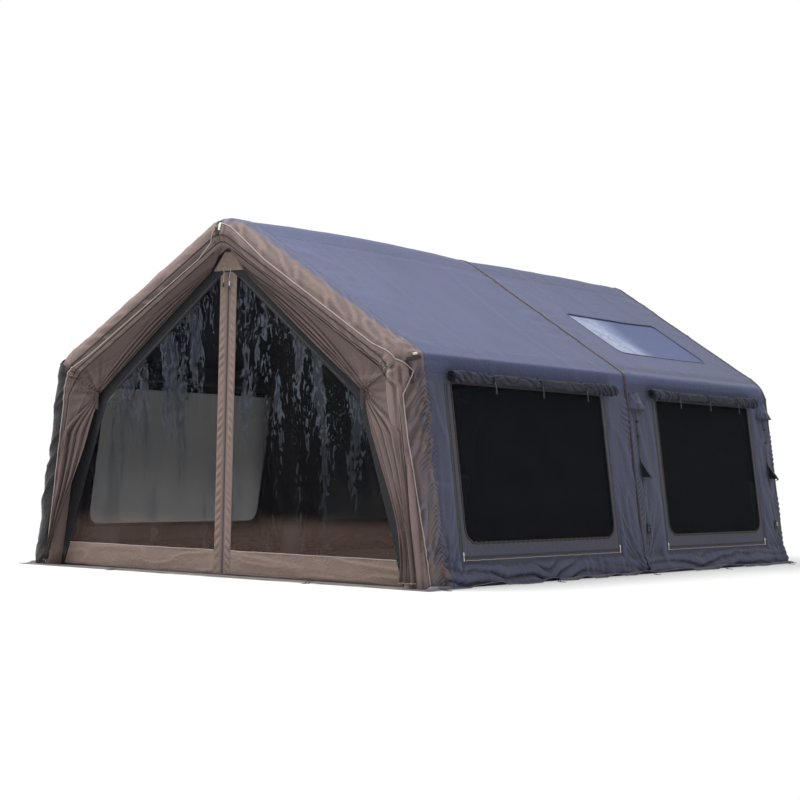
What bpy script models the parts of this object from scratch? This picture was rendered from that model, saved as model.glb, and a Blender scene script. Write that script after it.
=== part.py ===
"""Two-bay inflatable cottage tent: air arches and beams, cover panels, windows, film door and fittings.

Metres, +Z up. The front gable faces -Y, the ridge runs along Y, and the origin is on the ground
below the middle of the tent.
"""
import math

import bmesh
import bpy
from mathutils import Vector

for old in list(bpy.data.objects):
    bpy.data.objects.remove(old, do_unlink=True)

# Shell: outer faces of the cover
BASE_HALF_WIDTH = 1.4825
WALL_LEAN = math.radians(8.1)
EAVE_HEIGHT = 1.267
RIDGE_HEIGHT = 2.100
FRONT_ARCH_Y = -2.200
MIDDLE_ARCH_Y = 0.145
REAR_ARCH_Y = 2.200

# Air tubes
ARCH_RADIUS = 0.080
BEND_RADIUS = 0.140
RIDGE_BEAM_RADIUS = 0.065
EAVE_BEAM_RADIUS = 0.060
BEAM_DROP = 0.005
TUBE_SIDES = 20

# Sheet stock and clearances
SKIN = 0.004
NET = 0.002
FILM = 0.002
GROUNDSHEET = 0.004
GAP = 0.0003
LAP = 0.020

# Cover seams
SLEEVE_FLANGE = 0.120
SLEEVE_WRAP_STEPS = 10
RIDGE_STRIP_HALF = 0.200
EAVE_STEPS = 5
RIDGE_STEPS = 6

# Ground skirt
SKIRT_SIDE_WIDTH = 0.075
SKIRT_END_WIDTH = 0.060
SKIRT_THICKNESS = 0.004
PEG_TAB_LENGTH = 0.040
PEG_TAB_WIDTH = 0.040

# Side windows, measured from the arches beside them
FRONT_WINDOW_FRONT_MARGIN = 0.355
FRONT_WINDOW_REAR_MARGIN = 0.335
REAR_WINDOW_FRONT_MARGIN = 0.400
REAR_WINDOW_REAR_MARGIN = 0.270
WINDOW_SILL = 0.240
WINDOW_HEAD = 1.100
WINDOW_CORNER = 0.090
ZIP_MARGIN = 0.045
ZIP_FOOT_DROP = 0.075

# Rolled window blinds
BLIND_RADIUS = 0.038
BLIND_HEIGHT = 1.150
FRONT_BLIND_OVERHANG_FRONT = 0.060
FRONT_BLIND_OVERHANG_REAR = 0.125
REAR_BLIND_OVERHANG_FRONT = 0.130
REAR_BLIND_OVERHANG_REAR = 0.070
BLIND_STANDOFF = 0.012
BLIND_STATIONS = 17
BLIND_SIDES = 10
BLIND_TOGGLE_SHARES = (0.22, 0.50, 0.78)
BLIND_PINCH = 0.14
BLIND_PINCH_REACH = 0.03
BLIND_END_SHARE = 0.62
BLIND_END_REACH = 0.06
BLIND_SWELL = 0.06
BLIND_SWELL_TURN = 23.0
BLIND_SWELL_REACH = 0.10

# Zip sliders
SLIDER_WIDTH = 0.012
SLIDER_LENGTH = 0.024
SLIDER_THICKNESS = 0.006
SLIDER_BULGE = 1.1
SLIDER_NOSE_SHARE = 0.7
PULL_LENGTH = 0.030
PULL_WIDTH = 0.007
PULL_THICKNESS = 0.002

# Skylight in the right rear slope
SKYLIGHT_RIDGE_SIDE = 0.592
SKYLIGHT_EAVE_SIDE = 1.022
SKYLIGHT_FRONT_MARGIN = 0.470
SKYLIGHT_REAR_MARGIN = 0.325

# Rear gable vent
VENT_HALF_WIDTH = 0.240
VENT_HEIGHT = 0.190
VENT_RIDGE_DROP = 0.480
VENT_CORNER = 0.030

# Door opening, film leaves and curtains
TIE_HEIGHT = 1.050
TIE_REACH = 0.160
CURTAIN_HEAD_X = 0.130
CURTAIN_HEAD_DROP = 0.068
CURTAIN_FOOT_REACH = 0.028
CURTAIN_FOOT_Z = 0.030
CURTAIN_BULGE = 0.022
CURTAIN_SHEET = 0.005
CURTAIN_FOLD = 0.020
CURTAIN_ROWS = 25
CURTAIN_COLUMNS = 15
CURTAIN_PLEATS = 3
CURTAIN_FLAT_SHARE = 0.45
CURTAIN_HEAD_SHARE = 0.02
CURTAIN_LEAST_FOLD = 0.55
CURTAIN_UPPER_FOLD_GAIN = 0.45
CURTAIN_FOOT_FOLD_GAIN = 0.70
CURTAIN_FOOT_TURN = math.radians(100)
CURTAIN_REACH_EASE = 4.0
LEAF_FOOT_Z = 0.012
LEAF_FOOT_INSET = 0.022
LEAF_TIE_INSET = 0.038
LEAF_KNEE_DROP = 0.065
LEAF_SLOPE_INSET = 0.060
LEAF_TOP_DROP = 0.150
LEAF_CLEARANCE = 0.0005
ZIP_STRIP_WIDTH = 0.062
BAND_HEIGHT = 0.133
BORDER = 0.003
GUSSET_HALF_WIDTH = 0.115
GUSSET_DROP = 0.140
GUSSET_SHEET = 0.003
GUSSET_TIP_SHARE = 0.22
DOOR_SLIDER_DROP = 0.050
TIE_CORD_RADIUS = 0.003
TIE_BEAD_RADIUS = 0.006
TIE_END_OFFSET = 0.012
TIE_RISE_SHARE = 0.30
TIE_KNOT_SHARE = 0.85
TIE_BEAD_SHARES = (0.88, 0.97)
TIE_SIDES = 8

# Wall straps beside the middle and rear arches
MIDDLE_STRAP_OFFSET = 0.105
REAR_STRAP_OFFSET = -0.025
STRAP_WIDTH = 0.026
STRAP_THICKNESS = 0.003
HOOD_TOP = 1.135
HOOD_WIDTH = 0.190
HOOD_DEPTH = 0.045
HOOD_LENGTH = 0.090
HOOD_TOP_SHARE = 0.70
HOOD_MID_SHARE = 0.80
TAB_TOP = 0.725
TAB_LENGTH = 0.125
TAB_WIDTH = 0.050
TAB_DEPTH = 0.075
BUCKLE_TOP = 0.320
BUCKLE_LENGTH = 0.075
BUCKLE_WIDTH = 0.045
BUCKLE_DEPTH = 0.018
STRAP_END = 0.190
STRAP_STEP = 0.002

# Inflation valve on the inner side of the middle arch's left leg
VALVE_HEIGHT = 0.340
VALVE_RADIUS = 0.026
VALVE_STANDOUT = 0.020
VALVE_BORE_RADIUS = 0.013
VALVE_BORE_DEPTH = 0.015
POPPET_THICKNESS = 0.003
POPPET_STEM_RADIUS = 0.003
POPPET_STEM_LENGTH = 0.005
POPPET_RECESS = 0.001
POPPET_TAPER = 0.0005
CAP_THICKNESS = 0.004
CAP_SHARE = 0.95
CAP_CROWN_SHARE = 0.85
CAP_EDGE_SHARE = 0.70
VALVE_FLANGE_SHARE = 0.45
VALVE_NECK_SHARE = 0.50
VALVE_NECK_RADIUS_SHARE = 0.80
VALVE_SIDES = 24

TAN_WALL = math.tan(WALL_LEAN)
EAVE_HALF_WIDTH = BASE_HALF_WIDTH - EAVE_HEIGHT * TAN_WALL
TAN_ROOF = (RIDGE_HEIGHT - EAVE_HEIGHT) / EAVE_HALF_WIDTH
ROOF_PITCH = math.atan(TAN_ROOF)
ARCH_INSET = SKIN + GAP + ARCH_RADIUS
SLEEVE_RADIUS = ARCH_RADIUS + GAP + SKIN
OUTER_BEND = BEND_RADIUS + ARCH_INSET
ARCH_FOOT = GROUNDSHEET + GAP
STEP_ANGLE = 2 * math.pi / TUBE_SIDES
FRONT_FACE_Y = FRONT_ARCH_Y - SLEEVE_RADIUS
REAR_WALL_Y = REAR_ARCH_Y + ARCH_RADIUS + GAP
REAR_FACE_Y = REAR_WALL_Y + SKIN
PANEL_FRONT_Y = FRONT_ARCH_Y + SLEEVE_FLANGE + GAP
BAYS = {"front": (PANEL_FRONT_Y, MIDDLE_ARCH_Y - GAP / 2),
        "rear": (MIDDLE_ARCH_Y + GAP / 2, REAR_WALL_Y - GAP)}

FABRIC_SLATE = (0.120, 0.130, 0.190, 1.0)
FABRIC_WALL = (0.075, 0.082, 0.125, 1.0)
FABRIC_TAUPE = (0.160, 0.125, 0.115, 1.0)
FABRIC_DARK = (0.045, 0.035, 0.032, 1.0)


def make_material(name, colour, roughness, metallic=0.0, alpha=1.0):
    """Return a Principled material of one colour."""
    material = bpy.data.materials.new(name)
    material.use_nodes = True
    shader = material.node_tree.nodes["Principled BSDF"]
    shader.inputs["Base Color"].default_value = colour
    shader.inputs["Roughness"].default_value = roughness
    shader.inputs["Metallic"].default_value = metallic
    shader.inputs["Alpha"].default_value = alpha
    material.diffuse_color = colour[:3] + (alpha,)
    return material


ROOF_CLOTH = make_material("roof_cloth", FABRIC_SLATE, 0.75)
WALL_CLOTH = make_material("wall_cloth", FABRIC_WALL, 0.80)
FRONT_CLOTH = make_material("front_cloth", FABRIC_TAUPE, 0.80)
HEM_CLOTH = make_material("hem_cloth", FABRIC_DARK, 0.85)
NETTING = make_material("netting", (0.010, 0.012, 0.016, 1.0), 0.90)
CLEAR_FILM = make_material("clear_film", (0.600, 0.640, 0.660, 1.0), 0.10, alpha=0.35)
AIR_TUBE = make_material("air_tube", (0.620, 0.660, 0.600, 1.0), 0.45)
GROUND_SHEET = make_material("ground_sheet", (0.180, 0.170, 0.170, 1.0), 0.60)
SKIRT_CLOTH = make_material("skirt_cloth", (0.240, 0.220, 0.270, 1.0), 0.65)
WEBBING = make_material("webbing", (0.030, 0.032, 0.045, 1.0), 0.75)
ZIP_METAL = make_material("zip_metal", (0.650, 0.650, 0.660, 1.0), 0.30, metallic=1.0)
VALVE_PLASTIC = make_material("valve_plastic", (0.030, 0.030, 0.032, 1.0), 0.40)


def wall_x(inset, z):
    """X of the right wall's plane, moved inwards by inset, at height z."""
    return BASE_HALF_WIDTH - inset / math.cos(WALL_LEAN) - TAN_WALL * z


def roof_z(inset, x):
    """Z of the right roof plane, moved inwards by inset, at x."""
    return RIDGE_HEIGHT - inset / math.cos(ROOF_PITCH) - TAN_ROOF * x


def eave_point(inset):
    """Point (x, z) where the inset wall and roof planes meet."""
    x = (wall_x(inset, 0.0) - TAN_WALL * roof_z(inset, 0.0)) / (1.0 - TAN_WALL * TAN_ROOF)
    return x, roof_z(inset, x)


def arc(centre, radius, start, end, steps):
    """Points (x, z) along a circular arc."""
    points = []
    for index in range(steps + 1):
        angle = start + (end - start) * index / steps
        points.append((centre[0] + radius * math.cos(angle), centre[1] + radius * math.sin(angle)))
    return points


def eave_arc(inset):
    """Rounded eave at an inset, from the wall up to the roof."""
    start, end = WALL_LEAN, math.pi / 2 - ROOF_PITCH
    return arc(eave_point(OUTER_BEND), OUTER_BEND - inset, start, end, EAVE_STEPS)


def ridge_arc(inset):
    """Rounded ridge at an inset, from the right slope over to the left one."""
    start, end = math.pi / 2 - ROOF_PITCH, math.pi / 2 + ROOF_PITCH
    return arc((0.0, roof_z(OUTER_BEND, 0.0)), OUTER_BEND - inset, start, end, RIDGE_STEPS)


def mirrored(points):
    """Points reflected in the tent's middle plane, in the opposite order."""
    return [(-x, z) for x, z in reversed(points)]


def gable(inset, foot):
    """Whole gable line at an inset, from the right foot over the ridge to the left foot."""
    right = [(wall_x(inset, foot), foot)] + eave_arc(inset)
    return right + ridge_arc(inset) + mirrored(right)


def gable_x(inset, z):
    """X of the right half of the gable line, at an inset, at height z."""
    line = [(wall_x(inset, 0.0), 0.0)] + eave_arc(inset)
    for (x0, z0), (x1, z1) in zip(line, line[1:]):
        if z <= z1:
            return x0 + (x1 - x0) * (z - z0) / (z1 - z0)
    return (roof_z(inset, 0.0) - z) / TAN_ROOF


def slope_point(x, inset):
    """Point under the right slope's outer face at x, moved inwards square to the slope."""
    return (x - inset * math.sin(ROOF_PITCH), roof_z(0.0, x) - inset * math.cos(ROOF_PITCH))


def finish_mesh(name, bm):
    """Close a bmesh into a mesh with its faces pointing out."""
    bmesh.ops.remove_doubles(bm, verts=bm.verts, dist=1e-6)
    bmesh.ops.triangulate(bm, faces=bm.faces)
    bmesh.ops.recalc_face_normals(bm, faces=bm.faces)
    mesh = bpy.data.meshes.new(name)
    bm.to_mesh(mesh)
    bm.free()
    return mesh


def add_object(name, mesh, material, origin=(0.0, 0.0, 0.0), smooth=False, parent=None):
    """Link an object whose mesh is given in tent coordinates and whose origin is at origin."""
    origin = Vector(origin)
    mesh.materials.append(material)
    for vertex in mesh.vertices:
        vertex.co -= origin
    if smooth:
        mesh.shade_smooth()
        mesh.set_sharp_from_angle(angle=math.radians(35))
    obj = bpy.data.objects.new(name, mesh)
    obj.location = origin
    if parent is not None:
        obj.parent = parent
        obj.location = origin - parent.location
    bpy.context.scene.collection.objects.link(obj)
    return obj


def add_empty(name, location):
    """Link an empty that marks a joint's axis."""
    empty = bpy.data.objects.new(name, None)
    empty.location = location
    bpy.context.scene.collection.objects.link(empty)
    return empty


def loft(name, rings):
    """Closed mesh through rings of 3-D points with equal counts, capped at both ends."""
    bm = bmesh.new()
    loops = [[bm.verts.new(point) for point in ring] for ring in rings]
    count = len(loops[0])
    for first, second in zip(loops, loops[1:]):
        for index in range(count):
            after = (index + 1) % count
            bm.faces.new((first[index], first[after], second[after], second[index]))
    bm.faces.new(loops[0])
    bm.faces.new(loops[-1])
    return finish_mesh(name, bm)


def prism(name, outline, y_start, y_end):
    """Prism of an (x, z) outline between two places along Y."""
    rings = [[(x, y, z) for x, z in outline] for y in (y_start, y_end)]
    return loft(name, rings)


def plate(name, outline, holes, place, near, far):
    """Flat sheet with holes: outlines in (u, v), put in space by place(u, v, depth)."""
    bm = bmesh.new()
    edges = []
    for ring in [outline] + list(holes):
        corners = [bm.verts.new((u, v, 0.0)) for u, v in ring]
        for index, corner in enumerate(corners):
            edges.append(bm.edges.new((corner, corners[(index + 1) % len(corners)])))
    bmesh.ops.triangle_fill(bm, edges=edges, use_beauty=True)
    near_faces = list(bm.faces)
    made = bmesh.ops.extrude_face_region(bm, geom=near_faces, use_keep_orig=True)
    far_verts = {item for item in made["geom"] if isinstance(item, bmesh.types.BMVert)}
    for vertex in bm.verts:
        depth = far if vertex in far_verts else near
        vertex.co = Vector(place(vertex.co.x, vertex.co.y, depth))
    return finish_mesh(name, bm)


def rounded_rectangle(u0, u1, v0, v1, radius, steps=4):
    """Outline of a rectangle with rounded corners."""
    corners = ((u1 - radius, v1 - radius, 0), (u0 + radius, v1 - radius, 1),
               (u0 + radius, v0 + radius, 2), (u1 - radius, v0 + radius, 3))
    points = []
    for centre_u, centre_v, quarter in corners:
        start = quarter * math.pi / 2
        points += arc((centre_u, centre_v), radius, start, start + math.pi / 2, steps)
    return points


def rectangle(u0, u1, v0, v1):
    """Outline of a rectangle."""
    return [(u0, v0), (u1, v0), (u1, v1), (u0, v1)]


def mirror_x(mesh_points, side):
    """Points on the tent's right or left, by side +1 or -1."""
    return [(side * x, y, z) for x, y, z in mesh_points]


def circle_section(radius):
    """Section of an arch tube: (outward, along Y) points, starting at the tube's outer side."""
    return [(radius * math.cos(step * STEP_ANGLE), -radius * math.sin(step * STEP_ANGLE))
            for step in range(TUBE_SIDES)]


def sweep_arch(name, section, arch_y, foot):
    """Sweep an (outward, along Y) section along the gable line of the arch tubes' centres."""
    lines = {out: gable(ARCH_INSET - out, foot) for out, _ in section}
    stations = len(next(iter(lines.values())))
    rings = []
    for index in range(stations):
        places = [lines[out][index] for out, _ in section]
        rings.append([(x, arch_y + along, z) for (x, z), (_, along) in zip(places, section)])
    return loft(name, rings)


def wall_place(side, stand=0.0):
    """Placing function for sheets on a side wall: u along Y, v height, depth inwards."""
    def place(u, v, depth):
        return (side * wall_x(depth - stand, v), u, v)
    return place


def wall_box(side, y_centre, stations):
    """Rings of a low body on a side wall: each station is (height, half width, near, far)."""
    rings = []
    for height, half, near, far in stations:
        inner, outer = wall_x(-near, height), wall_x(-far, height)
        low, high = y_centre - half, y_centre + half
        ring = [(inner, low, height), (inner, high, height), (outer, high, height), (outer, low, height)]
        rings.append(mirror_x(ring, side))
    return rings


def build_floor_and_skirt():
    """Groundsheet under the whole tent and the skirt that lies round it, with peg tabs."""
    def ground(u, v, depth):
        return (u, v, depth)

    half = BASE_HALF_WIDTH
    outline = rectangle(-half, half, FRONT_FACE_Y, REAR_FACE_Y)
    add_object("groundsheet", plate("groundsheet", outline, [], ground, 0.0, GROUNDSHEET), GROUND_SHEET)

    inner_half = half + GAP
    outer_half = half + SKIRT_SIDE_WIDTH
    front, rear = FRONT_FACE_Y - SKIRT_END_WIDTH, REAR_FACE_Y + SKIRT_END_WIDTH
    end_places = (-half / 2, half / 2)
    side_places = (FRONT_ARCH_Y, (FRONT_ARCH_Y + MIDDLE_ARCH_Y) / 2, MIDDLE_ARCH_Y,
                   (MIDDLE_ARCH_Y + REAR_ARCH_Y) / 2, REAR_ARCH_Y)
    reach, wide = PEG_TAB_LENGTH, PEG_TAB_WIDTH / 2
    ring = [(-outer_half, front)]
    for x in end_places:
        ring += [(x - wide, front), (x - wide, front - reach), (x + wide, front - reach), (x + wide, front)]
    ring.append((outer_half, front))
    for y in side_places:
        ring += [(outer_half, y - wide), (outer_half + reach, y - wide),
                 (outer_half + reach, y + wide), (outer_half, y + wide)]
    ring.append((outer_half, rear))
    for x in reversed(end_places):
        ring += [(x + wide, rear), (x + wide, rear + reach), (x - wide, rear + reach), (x - wide, rear)]
    ring.append((-outer_half, rear))
    for y in reversed(side_places):
        ring += [(-outer_half, y + wide), (-outer_half - reach, y + wide),
                 (-outer_half - reach, y - wide), (-outer_half, y - wide)]
    holes = [rectangle(-inner_half, inner_half, FRONT_FACE_Y - GAP, REAR_FACE_Y + GAP)]
    mesh = plate("ground_skirt", ring, holes, ground, 0.0, SKIRT_THICKNESS)
    add_object("ground_skirt", mesh, SKIRT_CLOTH)


def build_tubes():
    """Three air arches, with the ridge and eave beams saddled to their sides."""
    arch_places = {"front": FRONT_ARCH_Y, "middle": MIDDLE_ARCH_Y, "rear": REAR_ARCH_Y}
    cutters = {}
    for label, y in arch_places.items():
        mesh = sweep_arch("arch", circle_section(ARCH_RADIUS), y, ARCH_FOOT)
        add_object("arch_beam_" + label, mesh, AIR_TUBE, smooth=True)
        mesh = sweep_arch("cutter", circle_section(ARCH_RADIUS + GAP), y, ARCH_FOOT)
        cutter = add_object("arch_cutter_" + label, mesh, AIR_TUBE)
        cutter.hide_render = True
        cutter.display_type = "WIRE"
        cutters[label] = cutter

    ridge_top = ridge_arc(SKIN + GAP)[RIDGE_STEPS // 2][1]
    bisector = (WALL_LEAN + math.pi / 2 - ROOF_PITCH) / 2
    eave_x, eave_z = eave_point(OUTER_BEND)
    half_step = (math.pi / 2 - ROOF_PITCH - WALL_LEAN) / 2 / EAVE_STEPS
    reach = (OUTER_BEND - SKIN - GAP) * math.cos(half_step)
    reach -= EAVE_BEAM_RADIUS + BEAM_DROP
    eave = (eave_x + reach * math.cos(bisector), eave_z + reach * math.sin(bisector))
    beams = [("ridge_beam", (0.0, ridge_top - RIDGE_BEAM_RADIUS - BEAM_DROP), RIDGE_BEAM_RADIUS),
             ("eave_beam_right", eave, EAVE_BEAM_RADIUS),
             ("eave_beam_left", (-eave[0], eave[1]), EAVE_BEAM_RADIUS)]
    for bay, first, second in (("front", "front", "middle"), ("rear", "middle", "rear")):
        for label, centre, radius in beams:
            points = arc(centre, radius, math.pi / 2, math.pi / 2 + 2 * math.pi, TUBE_SIDES)[:-1]
            mesh = prism("beam", points, arch_places[first], arch_places[second])
            beam = add_object(label + "_" + bay, mesh, AIR_TUBE, smooth=True)
            for end in (first, second):
                cut = beam.modifiers.new("saddle_" + end, "BOOLEAN")
                cut.operation = "DIFFERENCE"
                cut.solver = "EXACT"
                cut.object = cutters[end]
    return cutters


def build_cover():
    """Roof panels, ridge strips and the sleeve that wraps the front arch."""
    panel_edge = RIDGE_STRIP_HALF + GAP
    outer = eave_arc(0.0) + [slope_point(panel_edge, 0.0)]
    inner = eave_arc(SKIN) + [slope_point(panel_edge, SKIN)]
    section = outer + inner[::-1]
    strip_outer = [slope_point(RIDGE_STRIP_HALF, 0.0)] + ridge_arc(0.0)
    strip_outer += mirrored([slope_point(RIDGE_STRIP_HALF, 0.0)])
    strip_inner = [slope_point(RIDGE_STRIP_HALF, SKIN)] + ridge_arc(SKIN)
    strip_inner += mirrored([slope_point(RIDGE_STRIP_HALF, SKIN)])
    panels = {}
    for bay, (start, end) in BAYS.items():
        for side, label in ((1, "right"), (-1, "left")):
            outline = [(side * x, z) for x, z in section]
            mesh = prism("roof", outline, start, end)
            name = "roof_panel_%s_%s" % (label, bay)
            panels[label, bay] = add_object(name, mesh, ROOF_CLOTH, smooth=True)
        mesh = prism("ridge_strip", strip_outer + strip_inner[::-1], start, end)
        add_object("ridge_strip_" + bay, mesh, ROOF_CLOTH, smooth=True)

    wrap = [step * STEP_ANGLE for step in range(SLEEVE_WRAP_STEPS + 1)]
    bore = ARCH_RADIUS + GAP
    profile = [(SLEEVE_RADIUS, SLEEVE_FLANGE)]
    profile += [(SLEEVE_RADIUS * math.cos(a), -SLEEVE_RADIUS * math.sin(a)) for a in wrap]
    profile += [(bore * math.cos(a), -bore * math.sin(a)) for a in reversed(wrap)]
    profile.append((bore, SLEEVE_FLANGE))
    mesh = sweep_arch("front_arch_sleeve", profile, FRONT_ARCH_Y, ARCH_FOOT)
    add_object("front_arch_sleeve", mesh, FRONT_CLOTH, smooth=True)
    return panels


def build_skylight(panel):
    """Clear skylight under an opening in the right rear slope."""
    start = MIDDLE_ARCH_Y + SKYLIGHT_FRONT_MARGIN
    end = REAR_ARCH_Y - SKYLIGHT_REAR_MARGIN

    def slope(u, v, depth):
        x, z = slope_point(v, depth)
        return (x, u, z)

    opening = rectangle(start, end, SKYLIGHT_RIDGE_SIDE, SKYLIGHT_EAVE_SIDE)
    mesh = plate("cutter", opening, [], slope, -LAP, LAP)
    cutter = add_object("skylight_cutter", mesh, CLEAR_FILM)
    cutter.hide_render = True
    cutter.display_type = "WIRE"
    cut = panel.modifiers.new("skylight", "BOOLEAN")
    cut.operation = "DIFFERENCE"
    cut.solver = "EXACT"
    cut.object = cutter
    sheet = rectangle(start - LAP, end + LAP, SKYLIGHT_RIDGE_SIDE - LAP, SKYLIGHT_EAVE_SIDE + LAP)
    near = SKIN + GAP
    mesh = plate("skylight", sheet, [], slope, near, near + FILM)
    add_object("skylight", mesh, CLEAR_FILM)


def build_blind(name, side, window, overhang):
    """Rolled blind under the eave: bunched at its ends, pinched where its toggles hold it."""
    start, end = window
    low, high = start - overhang[0], end + overhang[1]
    spacing = (end - start) / (BLIND_STATIONS - 1)
    places = [low, start - overhang[0] / 2, start - ZIP_MARGIN / 2]
    places += [start + spacing * index for index in range(BLIND_STATIONS)]
    places += [end + ZIP_MARGIN / 2, end + overhang[1] / 2, high]
    rings = []
    for y in places:
        share = (y - low) / (high - low)
        edge = min(share, 1.0 - share)
        fullness = min(1.0, edge / BLIND_END_REACH)
        radius = BLIND_RADIUS * (BLIND_END_SHARE + (1.0 - BLIND_END_SHARE) * fullness)
        swell = math.sin(BLIND_SWELL_TURN * share) * min(1.0, edge / BLIND_SWELL_REACH)
        radius *= 1.0 + BLIND_SWELL * swell
        for toggle in BLIND_TOGGLE_SHARES:
            distance = (share - toggle) / BLIND_PINCH_REACH
            radius *= 1.0 - BLIND_PINCH * math.exp(-distance ** 2)
        beyond = y < start - GAP or y > end + GAP
        back = BLIND_STANDOFF if beyond else GAP
        ring = []
        for step in range(BLIND_SIDES):
            angle = 2 * math.pi * step / BLIND_SIDES
            stand = max(back, BLIND_RADIUS + GAP + radius * math.cos(angle))
            height = BLIND_HEIGHT + radius * math.sin(angle)
            ring.append((side * wall_x(-stand, height), y, height))
        rings.append(ring)
    centre = (side * wall_x(-BLIND_RADIUS, BLIND_HEIGHT), (low + high) / 2, BLIND_HEIGHT)
    add_object(name, loft(name, rings), WALL_CLOTH, origin=centre, smooth=True)


def build_wall_slider(name, side, y):
    """Zip slider with its pull, at the foot of a blind's zip."""
    foot = WINDOW_SILL - ZIP_FOOT_DROP
    top = foot + SLIDER_LENGTH
    half, pull = SLIDER_WIDTH / 2, PULL_WIDTH / 2
    thin = GAP + PULL_THICKNESS
    nose = GAP + SLIDER_THICKNESS * SLIDER_NOSE_SHARE
    stations = [(foot - PULL_LENGTH, pull, GAP, thin), (foot, pull, GAP, thin),
                (foot + GAP, half, GAP, nose),
                ((foot + top) / 2, half * SLIDER_BULGE, GAP, GAP + SLIDER_THICKNESS),
                (top, half * SLIDER_NOSE_SHARE, GAP, nose)]
    origin = (side * wall_x(-GAP, foot), y, foot)
    add_object(name, loft(name, wall_box(side, y, stations)), ZIP_METAL, origin=origin)


def build_walls():
    """Side walls with their netting, blinds and zip sliders."""
    foot = ARCH_FOOT
    top = eave_arc(0.0)[0][1] - SKIN * math.sin(WALL_LEAN) - GAP
    windows = {"front": (FRONT_ARCH_Y + FRONT_WINDOW_FRONT_MARGIN,
                         MIDDLE_ARCH_Y - FRONT_WINDOW_REAR_MARGIN),
               "rear": (MIDDLE_ARCH_Y + REAR_WINDOW_FRONT_MARGIN,
                        REAR_ARCH_Y - REAR_WINDOW_REAR_MARGIN)}
    overhangs = {"front": (FRONT_BLIND_OVERHANG_FRONT, FRONT_BLIND_OVERHANG_REAR),
                 "rear": (REAR_BLIND_OVERHANG_FRONT, REAR_BLIND_OVERHANG_REAR)}
    for side, label in ((1, "right"), (-1, "left")):
        for bay, (start, end) in BAYS.items():
            low, high = windows[bay]
            tag = "%s_%s" % (label, bay)
            hole = rounded_rectangle(low, high, WINDOW_SILL, WINDOW_HEAD, WINDOW_CORNER)
            outline = rectangle(start, end, foot, top)
            mesh = plate("wall", outline, [hole], wall_place(side), 0.0, SKIN)
            add_object("side_wall_" + tag, mesh, WALL_CLOTH)
            sill, head = WINDOW_SILL - LAP, WINDOW_HEAD + LAP
            net = rounded_rectangle(low - LAP, high + LAP, sill, head, WINDOW_CORNER)
            near = SKIN + GAP
            mesh = plate("net", net, [], wall_place(side), near, near + NET)
            add_object("window_net_" + tag, mesh, NETTING)
            build_blind("window_blind_" + tag, side, windows[bay], overhangs[bay])
            build_wall_slider("zip_slider_%s_a" % tag, side, low - ZIP_MARGIN)
            build_wall_slider("zip_slider_%s_b" % tag, side, high + ZIP_MARGIN)


def build_rear():
    """Rear gable wall with its net vent."""
    def rear(u, v, depth):
        return (u, depth, v)

    vent_top = RIDGE_HEIGHT - VENT_RIDGE_DROP
    vent_foot = vent_top - VENT_HEIGHT
    vent = rounded_rectangle(-VENT_HALF_WIDTH, VENT_HALF_WIDTH, vent_foot, vent_top, VENT_CORNER)
    mesh = plate("rear_wall", gable(0.0, ARCH_FOOT), [vent], rear, REAR_WALL_Y, REAR_FACE_Y)
    add_object("rear_wall", mesh, WALL_CLOTH)
    half = VENT_HALF_WIDTH + LAP
    net = rounded_rectangle(-half, half, vent_foot - LAP, vent_top + LAP, VENT_CORNER)
    mesh = plate("vent_net", net, [], rear, REAR_WALL_Y - GAP - NET, REAR_WALL_Y - GAP)
    add_object("rear_vent_net", mesh, NETTING)


SURROUND_ALONG = SLEEVE_RADIUS * math.sin(SLEEVE_WRAP_STEPS * STEP_ANGLE - math.pi) + GAP
DOOR_Y = FRONT_ARCH_Y + SURROUND_ALONG
DOOR_BACK_Y = DOOR_Y + SKIN
INNER_LINE = ARCH_INSET + SLEEVE_RADIUS
TIE = (wall_x(INNER_LINE, TIE_HEIGHT) - TIE_REACH, TIE_HEIGHT)
CURTAIN_HEAD = (CURTAIN_HEAD_X, roof_z(INNER_LINE, CURTAIN_HEAD_X) - CURTAIN_HEAD_DROP)
CURTAIN_FOOT = (wall_x(INNER_LINE, 0.0) + CURTAIN_FOOT_REACH, CURTAIN_FOOT_Z)


def leaf_corners(grow=0.0):
    """Corners (x, z) of the right film leaf's outer side, from its foot to its top, grown by grow."""
    foot_x = wall_x(INNER_LINE, 0.0) - LEAF_FOOT_INSET + grow
    knee = (TIE[0] - LEAF_TIE_INSET + grow, TIE[1] - LEAF_KNEE_DROP)
    run, rise = TIE[0] - CURTAIN_HEAD[0], CURTAIN_HEAD[1] - TIE[1]
    length = math.hypot(run, rise)
    inset = LEAF_SLOPE_INSET - grow
    low = (TIE[0] - inset * rise / length, TIE[1] - inset * run / length)
    top_z = roof_z(INNER_LINE, 0.0) - LEAF_TOP_DROP + grow
    share = (top_z - low[1]) / rise
    top = (low[0] - run * share, top_z)
    shoulder_share = 2 * LEAF_KNEE_DROP / length
    shoulder = (low[0] - run * shoulder_share, low[1] + rise * shoulder_share)
    return [(foot_x, LEAF_FOOT_Z), knee, shoulder, top]


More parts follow.
